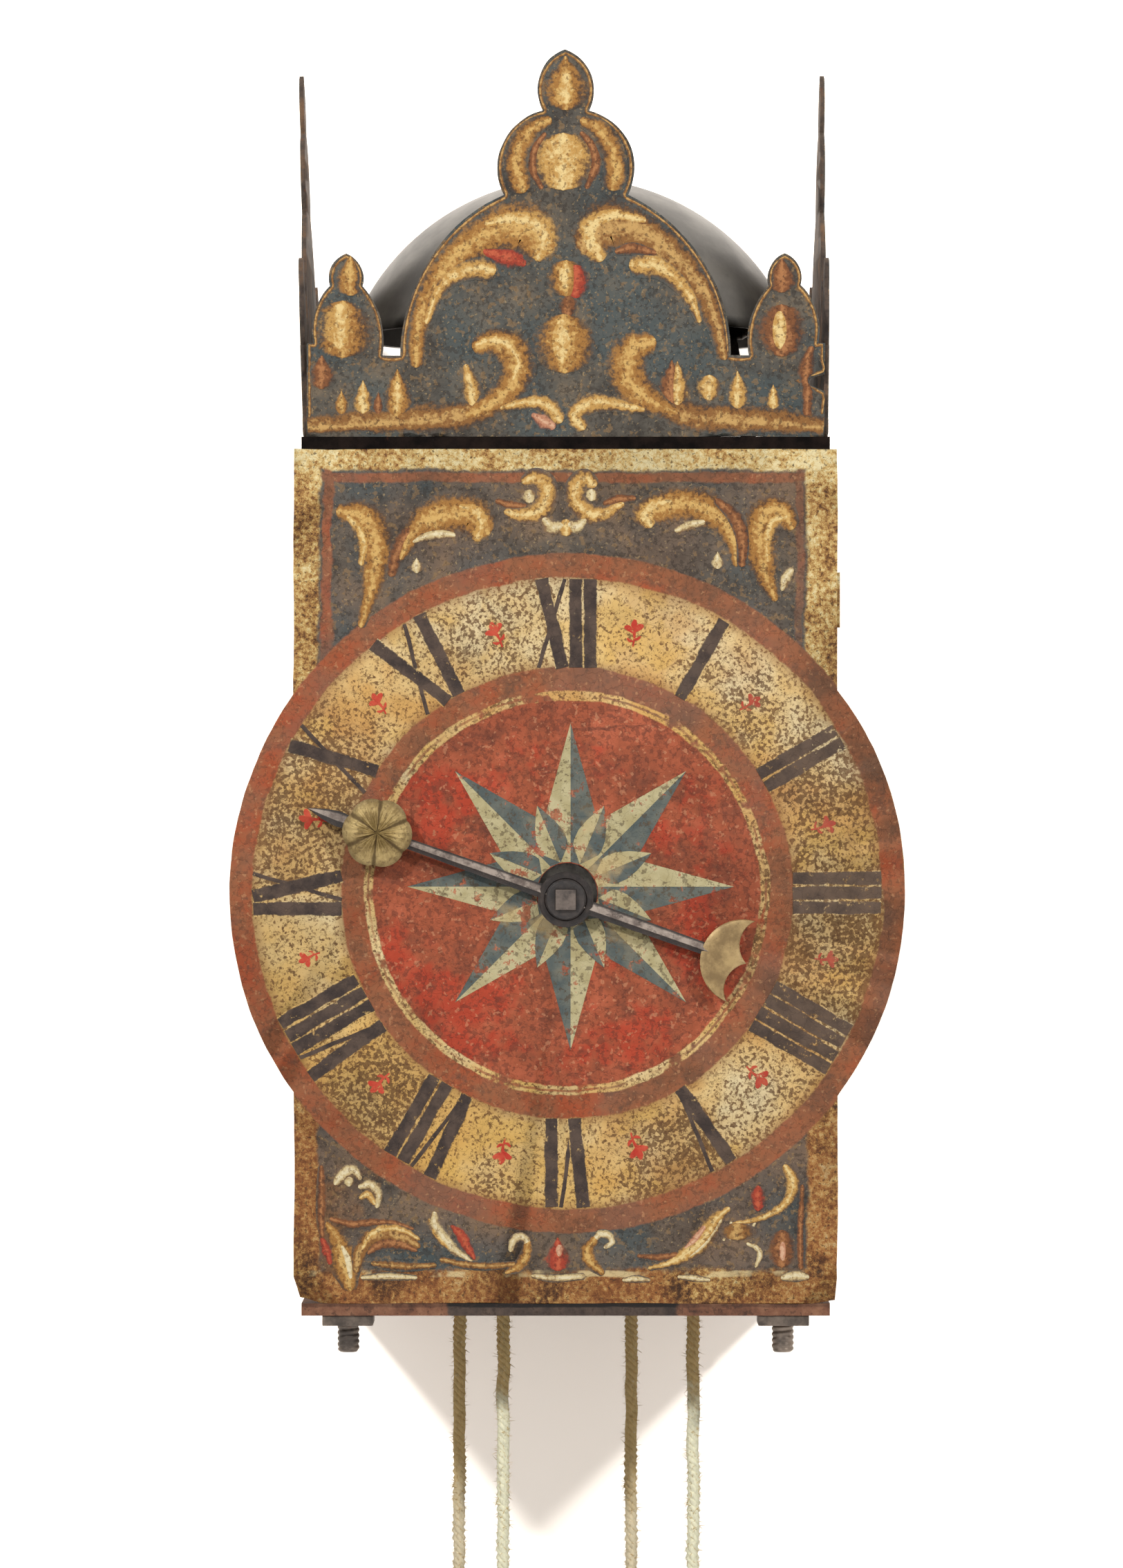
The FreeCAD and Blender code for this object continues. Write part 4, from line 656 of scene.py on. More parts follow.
@dataclass(frozen=True)
class NumeralFinish:
    """Dark brown paint of the hour figures, rubbed thin over the cream."""

    name: str
    body: Colour
    under: Colour
    rubbed: float

    def material(self) -> Material:
        """Mix the figure's paint.

        Returns:
            The material.
        """
        mix = PaintRecipe(self.name)
        _, across = mix.strip()
        ragged = mix.grain(420.0, 4.0, 0.7) - 0.5
        paint = mix.mix(mix.grain(160.0, 4.0).step(0.35, 0.65), self.body, self.under)
        x, _, _ = mix.axes()
        faded = (x + (mix.grain(60.0) - 0.5) * 60).step(40, 90)
        paint = mix.mix(faded * (mix.grain(350.0, 3.0) * 0.9 - 0.05), paint, srgb(114, 92, 74))
        worn = mix.flecks(300.0, self.rubbed - faded * 0.03, 0.07, 6.0) * 0.75
        inside = ((1 - abs(across * 2 - 1)) + ragged * 0.6).step(0.02, 0.22)
        colour = mix.mix(inside * (1 - worn), mix.cream(), paint)
        return mix.painted(colour)


@dataclass(frozen=True)
class StarFinish:
    """Paint of one half of the star's points, chipped down to the red."""

    name: str
    body: Colour
    other: Colour

    def material(self) -> Material:
        """Mix the star's paint.

        Returns:
            The material.
        """
        mix = PaintRecipe(self.name)
        paint = mix.mix(mix.grain(130.0, 4.0).step(0.35, 0.65), self.body, self.other)
        paint = mix.mix(mix.dots(0.35, 620.0) * 0.6, paint, srgb(84, 68, 50))
        paint = mix.mix(mix.flecks(160.0, 0.6, 0.06, 6.0) * 0.7, paint, srgb(104, 82, 58))
        x, _, height = mix.axes()
        near = away_from(x, height, DIAL_MIDDLE).step(34.0, 12.0) * 0.035
        chips = (mix.grain(130.0, 6.0, 0.72) - 0.58 + near).step(0.0, 0.04)
        worn = mix.grain(60.0, 3.0).step(0.52, 0.62) * near * 16
        paint = mix.mix(worn, paint, srgb(206, 176, 122))
        return mix.painted(mix.mix(chips * 0.85, paint, mix.disc()))


@dataclass(frozen=True)
class Iron:
    """Old iron: dark skin, lighter rubbed patches and rust."""

    name: str
    dark: Colour
    light: Colour
    rust: Colour
    rusted: float = 0.5
    rough: float = 0.5
    metal: float = 0.6
    grainy: float = 260.0
    depth: float = 0.00025
    gloss: float = 0.5

    def material(self) -> Material:
        """Mix the iron.

        Returns:
            The material.
        """
        mix = PaintRecipe(self.name)
        rubbed = mix.grain(self.grainy * 0.4, 5.0, 0.65)
        colour = mix.mix(rubbed.step(0.34, 0.68), self.dark, self.light)
        spots = mix.flecks(self.grainy * 0.5, 0.72 - 0.22 * self.rusted, 0.14, 5.0)
        colour = mix.mix(spots * 0.8, colour, self.rust)
        colour = mix.mix(mix.flecks(self.grainy * 3, 0.62) * 0.4, colour, srgb(34, 30, 28))
        metal = self.metal * (1 - spots * 0.85)
        rough = self.rough + spots * 0.25 + (rubbed - 0.5) * -0.3
        skin = mix.grain(self.grainy, 4.0, 0.6) * 0.7 + mix.grain(self.grainy * 0.2, 2.0) * 1.2
        return mix.finish(colour, rough, metal, skin, self.depth, self.gloss)


@dataclass(frozen=True)
class BarFinish:
    """Dark iron of the hand's bar, with painted light on its upper slope and painted shade on the rest."""

    name: str = "bar_iron"
    slope: Spot = (0.37, 0.49)      # shares of the way round between which the slope is painted lit

    def material(self) -> Material:
        """Mix the iron.

        Returns:
            The material.
        """
        mix = PaintRecipe(self.name)
        _, across = mix.strip()
        start, end = self.slope
        # painted light: the upper slope gets a lighter iron and a little metal sheen, the rest a darker iron
        # as painted shade
        lit_facet = across.step(start, start + 0.04) * across.step(end + 0.02, end)
        rubbed = mix.grain(170.0, 5.0, 0.65)
        dark = mix.mix(rubbed.step(0.34, 0.68), srgb(30, 25, 23), srgb(62, 53, 48))
        light = mix.mix(rubbed.step(0.34, 0.62), srgb(96, 84, 77), srgb(160, 146, 134))
        colour = mix.mix(lit_facet, dark, light)
        colour = mix.mix(mix.flecks(420.0, 0.58) * 0.5, colour, srgb(34, 28, 26))
        return mix.finish(colour, 0.5, lit_facet * 0.3, mix.grain(380.0, 4.0), 0.0003, 0.3)


@dataclass(frozen=True)
class RosetteFinish:
    """Dull gilt with dark grooves between the petals."""

    name: str = "rosette_gilt"
    petals: int = 6
    phase: float = 0.35

    def material(self) -> Material:
        """Mix the gilt.

        Returns:
            The material.
        """
        mix = PaintRecipe(self.name)
        along, across = mix.strip()
        lobe = abs((across * (math.pi * self.petals) + self.phase).wave())
        rubbed = mix.grain(170.0, 5.0, 0.65).step(0.34, 0.68)
        colour = mix.mix(rubbed, srgb(126, 104, 62), srgb(180, 156, 104))
        groove = (lobe + (mix.grain(300.0, 3.0) - 0.5) * 0.4).step(0.4, 0.06)
        rim = along.step(4.5, 0.5)
        colour = mix.mix(groove.high(rim * 0.7) * 0.8, colour, srgb(74, 56, 34))
        colour = mix.mix(mix.dots(0.3, 900.0) * 0.5, colour, srgb(88, 68, 42))
        return mix.finish(colour, 0.5 + groove * 0.3, 0.35, mix.grain(500.0, 4.0), 0.0003, 0.3)


@dataclass(frozen=True)
class SillFinish:
    """Edge of the bottom plate: rusty corners, a darker middle, and above it a black line of painted shadow
    where the dial plate sits over it.
    """

    name: str = "sill_iron"
    middle_half: float = 37.0

    def material(self) -> Material:
        """Mix the iron.

        Returns:
            The material.
        """
        mix = PaintRecipe(self.name)
        x, _, height = mix.axes()
        stray = (mix.grain(110.0, 3.0) - 0.5) * 9
        rusty = mix.ramp(mix.grain(130.0, 5.0, 0.7), (0.32, srgb(74, 50, 40)), (0.5, srgb(122, 82, 62)),
                         (0.68, srgb(150, 108, 82)))
        plain = mix.ramp(mix.grain(130.0, 5.0, 0.7), (0.32, srgb(44, 38, 36)), (0.68, srgb(94, 78, 68)))
        inner = (abs(x) + stray).step(self.middle_half + 1, self.middle_half - 1)
        colour = mix.mix(inner, rusty, plain)
        # painted shadow: a black line along the top of the edge, under the dial plate, darkest in the middle
        shadow_gap_line = (height + stray * 0.12).step(-1.5, -1.0)
        colour = mix.mix(shadow_gap_line * (inner * 0.55 + 0.4), colour, srgb(16, 13, 12))
        colour = mix.mix(mix.dots(0.3) * 0.5, colour, srgb(48, 36, 30))
        return mix.finish(colour, 0.7, 0.1, mix.grain(260.0, 4.0), 0.0004, 0.25)


@dataclass(frozen=True)
class Hemp:
    """Twisted hemp, browner near the pulley and paler where it changes along its length; the change sits
    where the case's shadow ends, so the brown is partly dirt and partly painted shadow.
    """

    name: str
    dark: Colour
    pale: Colour
    painted_shadow_end: float        # millimetres from the pulley at which the rope turns pale, at the line where the case's shadow ends
    blend: float            # length over which it does so

    def material(self) -> Material:
        """Mix the hemp.

        Returns:
            The material.
        """
        mix = PaintRecipe(self.name)
        along, across = mix.strip()
        fibre = mix.grain(900.0, 4.0, 0.7, 0.5, (1.0, 1.0, 0.35))
        shift = along + (mix.grain(120.0, 3.0) - 0.5) * 30
        # partly dirt and partly painted shadow: brown above the case's shadow line, pale below
        past_painted_shadow = shift.step(self.painted_shadow_end - self.blend, self.painted_shadow_end + self.blend)
        tone = mix.mix(past_painted_shadow, self.dark, self.pale)
        tone = mix.shade(tone, fibre.step(0.3, 0.6), 0.8)
        tone = mix.mix(mix.flecks(500.0, 0.6) * 0.4, tone, srgb(238, 226, 196))
        # painted shade: each strand is darker on one side of its round
        tone = mix.shade(tone, (1 - abs(across * 2 - 1)).step(0.0, 0.35), 0.88)
        return mix.finish(tone, 0.9, 0.0, fibre, 0.0004, 0.2)


class Finishes:
    """Every finish of the clock, mixed once."""

    def __init__(self) -> None:
        """Mix the materials."""
        self.dial = DialFinish().material()
        self.crest = PlateFinish("crest_paint", 1, 1.0, -1.0).material()
        self.left_crest = PlateFinish("left_crest_paint", 0, -SIDE_FACE, -1.0, 0.0, LEFT_LEAN).material()
        self.right_crest = PlateFinish("right_crest_paint", 0, SIDE_FACE, 1.0, 0.0, RIGHT_LEAN).material()
        self.left_door = PlateFinish("left_door_paint", 0, -DOOR_FACE, -1.0, 9.0).material()
        self.right_door = PlateFinish("right_door_paint", 0, DOOR_FACE, 1.0, 9.0).material()
        self.strokes = {tone: StrokeFinish(tone).material() for tone in Tone}
        self.figure = NumeralFinish("figure_paint", srgb(60, 50, 46), srgb(92, 76, 66), 0.6).material()
        self.flower = NumeralFinish("flower_paint", srgb(190, 60, 46), srgb(206, 88, 64), 0.58).material()
        self.star_pale = StarFinish("star_pale_paint", srgb(178, 164, 120), srgb(200, 188, 146)).material()
        self.star_dark = StarFinish("star_dark_paint", srgb(84, 92, 90), srgb(112, 114, 104)).material()
        rust = srgb(112, 70, 46)
        self.wrought = Iron("wrought_iron", srgb(64, 56, 50), srgb(118, 104, 92), rust).material()
        # painted shade: near-black iron for the top plate, standing in for the dark gap between the crest and
        # the dial plate
        self.painted_shade_iron = Iron("shadowed_iron", srgb(12, 9, 8), srgb(34, 25, 21), srgb(78, 46, 34), 0.4, 0.8,
                             0.0, 260.0, 0.0003, 0.05).material()
        self.sill = SillFinish().material()
        self.rosette = RosetteFinish().material()
        self.wheels = Iron("wheel_iron", srgb(66, 62, 58), srgb(122, 116, 108), rust, 0.3, 0.42,
                           0.8).material()
        self.hand = Iron("hand_iron", srgb(50, 44, 41), srgb(116, 103, 94), srgb(76, 58, 48), 0.35, 0.4, 0.35,
                         380.0).material()
        self.collar = Iron("collar_iron", srgb(24, 20, 19), srgb(66, 57, 52), srgb(52, 38, 30), 0.4, 0.5, 0.2,
                           420.0).material()
        # the hand's bar: painted light on one slope, painted shade on the rest
        self.bar = BarFinish().material()
        self.bell = Iron("bell_metal", srgb(50, 47, 43), srgb(78, 74, 67), srgb(70, 60, 48), 0.25, 0.4, 0.16,
                         90.0, 0.00012).material()
        self.gilt = Iron("gilt_brass", srgb(124, 100, 63), srgb(174, 146, 98), srgb(92, 70, 44), 0.5, 0.5,
                         0.3, 420.0).material()
        self.weight = Iron("weight_iron", srgb(48, 46, 44), srgb(82, 78, 74), srgb(100, 66, 46), 0.5, 0.6,
                           0.4, 160.0, 0.0005).material()
        # partly dirt and partly painted shadow: the ropes are browner down to where the case's shadow ends,
        # the rear strike ropes further down and with a softer change
        brown, cream = srgb(228, 197, 138), srgb(254, 249, 216)
        self.strike_rope = Hemp("strike_hemp", brown, srgb(240, 224, 188), 152.0, 16.0).material()
        self.going_rope = Hemp("going_hemp", brown, cream, 116.0, 6.0).material()


class Shell:
    """A mesh under construction, with a map along and across its strips."""

    def __init__(self) -> None:
        """Start with nothing."""
        self.points: List[Vector] = []
        self.faces: List[List[int]] = []
        self.maps: List[List[Spot]] = []

    def loft(self, rings: Sequence[Sequence[Vector]], along: Optional[Sequence[float]] = None,
             across: Optional[Sequence[float]] = None, capped: bool = True) -> None:
        """Skin a row of closed rings.

        Args:
            rings: points of each ring, the same number in each.
            along: map value of each ring; its number where left out.
            across: map value of each point of a ring; its share of the way round where left out.
            capped: whether the two ends are closed.
        """
        start, count = len(self.points), len(rings[0])
        along = along or [float(row) for row in range(len(rings))]
        across = across or [index / count for index in range(count)]
        for ring in rings:
            self.points.extend(ring)
        for row in range(len(rings) - 1):
            for index in range(count):
                after = (index + 1) % count
                low, high = start + row * count, start + (row + 1) * count
                self.faces.append([low + index, low + after, high + after, high + index])
                last = across[after]
                self.maps.append([(along[row], across[index]), (along[row], last),
                                  (along[row + 1], last), (along[row + 1], across[index])])
        if capped:
            for row, order in ((0, -1), (len(rings) - 1, 1)):
                low = start + row * count
                ids = list(range(count))[::order]
                self.faces.append([low + index for index in ids])
                self.maps.append([(along[row], across[index]) for index in ids])

    def make(self, name: str, finish: Material, angle: float = 40.0) -> Object:
        """Turn what was collected into an object.

        Args:
            name: name of the piece.
            finish: its material.
            angle: edges sharper than this, in degrees, stay sharp.

        Returns:
            The object.
        """
        mesh = bpy.data.meshes.new(name)
        mesh.from_pydata([tuple(point) for point in self.points], [], self.faces)
        layer = mesh.uv_layers.new(name="strip")
        flat = [value for face in self.maps for spot in face for value in spot]
        layer.data.foreach_set("uv", flat)
        return settle(mesh, name, finish, angle)


def placed(name: str, data: ID) -> Object:
    """Put new data in the scene.

    Args:
        name: name of the object.
        data: its mesh, curve, camera or light.

    Returns:
        The object.
    """
    made = bpy.data.objects.new(name, data)
    bpy.context.scene.collection.objects.link(made)
    return made


def settle(mesh: Mesh, name: str, finish: Material, angle: float = 40.0) -> Object:
    """Turn the faces of a mesh outwards, shade it and put it in the scene.

    Args:
        mesh: the mesh, in metres in the row frame.
        name: name of the piece.
        finish: its material.
        angle: edges sharper than this, in degrees, stay sharp.

    Returns:
        The object.
    """
    work = bmesh.new()
    work.from_mesh(mesh)
    bmesh.ops.recalc_face_normals(work, faces=work.faces)
    work.to_mesh(mesh)
    work.free()
    mesh.shade_smooth()
    mesh.set_sharp_from_angle(angle=math.radians(angle))
    mesh.materials.clear()
    mesh.materials.append(finish)
    return placed(name, mesh)


def opened(node: Object) -> Tuple[Mesh, bmesh.types.BMesh]:
    """Copy a node's mesh and open the copy, with each flat face whole.

    Args:
        node: the piece.

    Returns:
        The copy, and the same opened.
    """
    mesh = node.data.copy()
    mesh.transform(node.matrix_world)
    work = bmesh.new()
    work.from_mesh(mesh)
    bmesh.ops.remove_doubles(work, verts=work.verts, dist=JOIN)
    bmesh.ops.dissolve_limit(work, angle_limit=FLAT, verts=work.verts[:], edges=work.edges[:])
    return mesh, work


def closed(mesh: Mesh, work: bmesh.types.BMesh) -> None:
    """Write an opened mesh back in triangles.

    Args:
        mesh: where it goes.
        work: the opened mesh, which is freed.
    """
    bmesh.ops.triangulate(work, faces=work.faces)
    work.to_mesh(mesh)
    work.free()


def hammered(node: Object, name: str, finish: Material, amount: float = 0.4,
             bent: Tuple[Tuple[Vector, Vector, float], ...] = (), fine: float = 5.0) -> Object:
    """Copy a plate and give its outline the small waves of hand work.

    Args:
        node: the plate.
        name: name of the copy.
        finish: its material.
        amount: depth of the waves in millimetres.
        bent: corners that are bent in: where, how far, and over what reach in metres.
        fine: longest edge in millimetres that is left whole.

    Returns:
        The copy.
    """
    mesh, work = opened(node)
    for _ in range(6):
        long = [edge for edge in work.edges if edge.calc_length() > fine * MM]
        if not long:
            break
        bmesh.ops.subdivide_edges(work, edges=long, cuts=1)
    size = [max(vertex.co[axis] for vertex in work.verts) - min(vertex.co[axis] for vertex in work.verts)
            for axis in range(3)]
    thin = size.index(min(size))
    broad_waves, small_waves = 38, 170      # per metre
    for vertex in work.verts:
        flat = vertex.co.copy()
        flat[thin] = 0.0
        sway = noise.noise_vector(flat * broad_waves) + noise.noise_vector(flat * small_waves) * 0.4
        sway[thin] = 0.0
        vertex.co += sway * amount * MM
        for corner, push, reach in bent:
            away = vertex.co - corner
            away[thin] = 0.0
            vertex.co += push * max(0.0, 1 - away.length / reach)
    closed(mesh, work)
    return settle(mesh, name, finish, 40.0)


def eased(node: Object, name: str, finish: Material, offset: float,
          chosen: Callable[[bmesh.types.BMEdge], bool]) -> Object:
    """Copy a piece and round some of its edges.

    Args:
        node: the piece.
        name: name of the copy.
        finish: its material.
        offset: width of the rounding in millimetres.
        chosen: tells which edges are rounded.

    Returns:
        The copy.
    """
    mesh, work = opened(node)
    edges = [edge for edge in work.edges if len(edge.link_faces) == 2 and chosen(edge)]
    bmesh.ops.bevel(work, geom=edges, offset=offset * MM, segments=3, profile=0.6, affect="EDGES",
                    clamp_overlap=True)
    closed(mesh, work)
    return settle(mesh, name, finish, 30.0)


def is_sharp(edge: bmesh.types.BMEdge) -> bool:
    """Whether an edge is a real corner."""
    return edge.calc_face_angle(0.0) > math.radians(40)


def merged(piece: Object) -> None:
    """Close the seams of a piece and turn its faces outwards again.

    Args:
        piece: object whose mesh is mended.
    """
    work = bmesh.new()
    work.from_mesh(piece.data)
    bmesh.ops.remove_doubles(work, verts=work.verts, dist=JOIN)
    bmesh.ops.recalc_face_normals(work, faces=work.faces)
    work.to_mesh(piece.data)
    work.free()


def smooth_line(points: Sequence[Sequence[float]], steps: int = 6) -> List[List[float]]:
    """Draw a smooth line through a few points.

    Args:
        points: points with any number of values each, such as place and half width.
        steps: points that are made for each stretch.

    Returns:
        The finer row of points.
    """
    row = [list(point) for point in points]
    if len(row) < 3:
        steps = max(steps, 8)
    first, last = ([2 * a - b for a, b in zip(*pair)] for pair in (row[:2], row[:-3:-1]))
    row = [first] + row + [last]
    line = []
    for index in range(1, len(row) - 2):
        before, first, second, after = row[index - 1:index + 3]
        for step in range(steps):
            t = step / steps
            line.append([
                0.5 * (2 * b + (c - a) * t + (2 * a - 5 * b + 4 * c - d) * t * t
                       + (3 * b - a - 3 * c + d) * t ** 3)
                for a, b, c, d in zip(before, first, second, after)])
    line.append(row[-2])
    return line


@dataclass(frozen=True)
class Stroke:
    """One brush stroke: places and half widths in millimetres on a plate."""

    tone: Tone
    points: Tuple[Tuple[float, float, float], ...]
    blunt: bool = True      # whether a wide end is rounded off


def oval(tone: Tone, x: float, height: float, wide: float, tall: float) -> Stroke:
    """An oval blob.

    Args:
        tone: its colour.
        x: place across.
        height: place up.
        wide: half width.
        tall: half height.

    Returns:
        The blob as a stroke.
    """
    turns = [math.pi * step / 6 for step in range(7)]
    points = tuple((x, height - tall * math.cos(turn), max(0.15, wide * math.sin(turn))) for turn in turns)
    return Stroke(tone, points, False)


def drop(tone: Tone, x: float, low: float, high: float, wide: float) -> Stroke:
    """A drop with its point up and that half width at its widest."""
    shares = ((0.0, 0.2), (0.12, 0.75), (0.32, 1.0), (0.55, 0.85), (0.78, 0.45), (0.92, 0.18), (1.0, 0.05))
    return Stroke(tone, tuple((x, low + (high - low) * up, wide * part) for up, part in shares), False)


class Brush:
    """Lays strokes as thin domed paint on a plate."""

    LANES = (-1.0, -0.72, -0.36, 0.0, 0.36, 0.72, 1.0)
    SUNK = 0.25             # paint's underside inside the plate
    THICK = 0.14
    MARGIN = 0.5            # paint ends this far from the plate's edge
    PROBE = 4.0             # how far in front of and behind the plate's face it is looked for
    LEAST = 0.12            # share of a stroke's width that is kept at worst
    LIFT = 0.03             # height of the lowest layer, and step and number of layers
    LAYER = 0.012
    LAYERS = 9
    DOMED_FROM = 1.5        # half width from which a stroke has its full height
    THINNEST = 0.05
    BLUNT_FROM = 0.6        # half width from which an end is rounded off
    SHARES = (1.0, 0.85, 0.7, 0.55, 0.4, 0.25)

    def __init__(self, place: Place, thick: float = THICK, spread: float = 1.0,
                 plate: Optional[Object] = None) -> None:
        """Keep the plate and its mapping.

        Args:
            place: turns across, up and lift into a point.
            thick: height of the paint.
            spread: how much wider than written the strokes are laid.
            plate: object that the paint must stay on.
        """
        self.place = place
        self.thick = thick
        self.spread = spread
        self.tree: Optional[BVHTree] = None
        if plate is not None:
            spots = [plate.matrix_world @ vertex.co for vertex in plate.data.vertices]
            self.tree = BVHTree.FromPolygons(spots, [tuple(face.vertices) for face in plate.data.polygons])
        self.shells: Dict[object, Shell] = {}
        self.count = 0

    def lay(self, key: object, points: Sequence[Sequence[float]], blunt: bool, steps: int = 6) -> None:
        """Lay one stroke.

        Args:
            key: colour that the stroke is gathered under.
            points: across, up and half width of each point, in millimetres.
            blunt: whether wide ends are rounded off.
            steps: points made for each stretch.
        """
        line = smooth_line(points, steps)
        if blunt:
            line = self._rounded(line)
        shell = self.shells.setdefault(key, Shell())
        self.count += 1
        lift = self.LIFT + self.LAYER * (self.count % self.LAYERS)
        line = [[x, height, half * self.spread] for x, height, half in line]
        rings, along, run = [], [], 0.0
        for index, (x, height, half) in enumerate(line):
            before, after = line[max(index - 1, 0)], line[min(index + 1, len(line) - 1)]
            way = Vector((after[0] - before[0], after[1] - before[1]))
            way = way.normalized() if way.length > JOIN else Vector((0.0, 1.0))
            side = Vector((-way.y, way.x)) * max(half, self.THINNEST)
            if index:
                run += math.dist(line[index - 1][:2], (x, height))
            rise = self.thick * min(1.0, half / self.DOMED_FROM)
            right, left = self._share(x, height, side), self._share(x, height, -side)
            lanes = [(t, t * (right if t > 0 else left)) for t in self.LANES]
            ring = [self.place(x + side.x * s, height + side.y * s, lift + rise * (1 - t * t))
                    for t, s in lanes]
            ring += [self.place(x + side.x * s, height + side.y * s, -self.SUNK) for s in (right, -left)]
            rings.append(ring)
            along.append(run)
        across = [(1 + t) / 2 for t in self.LANES] + [1.0, 0.0]
        shell.loft(rings, along, across)

    def _share(self, x: float, height: float, side: Vector) -> float:
        """How much of a half width stays on the plate.

        Args:
            x: place across of the stroke's middle.
            height: place up.
            side: half width with its direction.

        Returns:
            The share that is on the plate.
        """
        if self.tree is None:
            return 1.0
        for share in self.SHARES:
            off = side * (share + self.MARGIN / max(side.length, self.MARGIN))
            start = self.place(x + off.x, height + off.y, self.PROBE)
            way = self.place(x + off.x, height + off.y, -self.PROBE) - start
            if self.tree.ray_cast(start, way.normalized(), way.length)[0] is not None:
                return share
        return self.LEAST

    @classmethod
    def _rounded(cls, line: List[List[float]]) -> List[List[float]]:
        """Add round ends to a row of points.

        Args:
            line: place and half width of each point.

        Returns:
            The longer row.
        """
        def end(tip: Sequence[float], inner: Sequence[float]) -> List[List[float]]:
            """Points past one end, from the tip outwards.

            Args:
                tip: last point of the row.
                inner: point before it.

            Returns:
                The points.
            """
            way = Vector((tip[0] - inner[0], tip[1] - inner[1]))
            if way.length < JOIN or tip[2] < cls.BLUNT_FROM:
                return []
            way.normalize()
            turns = (0.35, 0.75, 1.15, 1.45)
            return [[tip[0] + way.x * tip[2] * math.sin(t), tip[1] + way.y * tip[2] * math.sin(t),
                     tip[2] * math.cos(t)] for t in turns]
        return end(line[0], line[1])[::-1] + line + end(line[-1], line[-2])


class Kit:
    """Hands finished pieces to the frame."""

    def __init__(self, finishes: Finishes) -> None:
        """Keep the finishes and the CAD nodes."""
        self.finishes = finishes
        self.nodes: Dict[str, Object] = frame["nodes"]

    def add(self, piece: Object, body: str, slot: str, *stands_for: str) -> Object:
        """Let a piece ride on a body.

        Args:
            piece: the finished object.
            body: body that carries it.
            slot: material slot of the record; not used.
            stands_for: CAD nodes that it replaces.

        Returns:
            The piece.
        """
        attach(piece, body)
        if stands_for:
            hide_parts(*stands_for)
        LOG.info("%s rides on %s", piece.name, body)
        return piece

    def scrolls(self, brush: Brush, name: str, body: str, slot: str) -> None:
        """Make one piece of each colour that a brush has laid.

        Args:
            brush: what laid the strokes.
            name: name of the painted plate.
            body: body that carries it.
            slot: material slot of the record.
        """
        for tone, shell in brush.shells.items():
            piece = shell.make(f"{name}_scrolls_{tone.name.lower()}", self.finishes.strokes[tone])
            self.add(piece, body, slot)

    def dress(self, finish: Material, *names: str) -> None:
        """Give CAD nodes a finish.

        Args:
            finish: the material.
            names: the nodes.
        """
        for name in names:
            node = self.nodes[name]
            if not node.material_slots:
                node.data.materials.append(finish)
            for slot in node.material_slots:
                slot.material = finish
            LOG.info("%s dressed in %s", name, finish.name)


def plain_mesh(holder: Object, name: str) -> Mesh:
    """Evaluate an object and copy the result to a plain mesh.

    Args:
        holder: object with its modifiers.
        name: name of the new mesh.

    Returns:
        The mesh.
    """
    bpy.context.view_layer.update()
    depsgraph = bpy.context.evaluated_depsgraph_get()
    mesh = bpy.data.meshes.new_from_object(holder.evaluated_get(depsgraph), depsgraph=depsgraph)
    mesh.name = name
    return mesh


class Growth(Nodes):
    """Geometry nodes that set a small shape on points, make it real and paint it."""

    def __init__(self, name: str, **inputs: str) -> None:
        """Start a tree with named inputs beside its geometry.

        Args:
            name: name of the tree.
            inputs: kind of socket of each input.
        """
        super().__init__(bpy.data.node_groups.new(name, "GeometryNodeTree"))
        face = self.tree.interface
        face.new_socket("Geometry", in_out="INPUT", socket_type="NodeSocketGeometry")
        self.ids = {key: face.new_socket(key, in_out="INPUT", socket_type="NodeSocket" + kind).identifier
                    for key, kind in inputs.items()}
        face.new_socket("Geometry", in_out="OUTPUT", socket_type="NodeSocketGeometry")
        self.given = self.node("NodeGroupInput", {}, {}, "Geometry")

    def put(self, points: Field, shape: Field, turn: Field, size: Field) -> None:
        """End the tree with the shape on every point, made real and painted.

        Args:
            points: where the shapes go.
            shape: the small shape.
            turn: turn of each.
            size: scale of each.
        """
        sockets = {"Points": points, "Instance": shape, "Rotation": turn, "Scale": size}
        real = self.node("GeometryNodeRealizeInstances", {},
                         {0: self.node("GeometryNodeInstanceOnPoints", {}, sockets)})
        sockets = {"Geometry": real, "Material": self.given.beside("Finish")}
        self.end("NodeGroupOutput", self.node("GeometryNodeSetMaterial", {}, sockets))

    def run(self, holder: Object, name: str, **values: object) -> Mesh:
        """Run the tree on an object and copy the result to a plain mesh.

        Args:
            holder: object with the points or the surface.
            name: name of the new mesh.
            values: value of each input.

        Returns:
            The mesh.
        """
        modifier = holder.modifiers.new(name, "NODES")
        modifier.node_group = self.tree
        for key, value in values.items():
            modifier[self.ids[key]] = value
        mesh = plain_mesh(holder, name)
        holder.modifiers.remove(modifier)
        return mesh


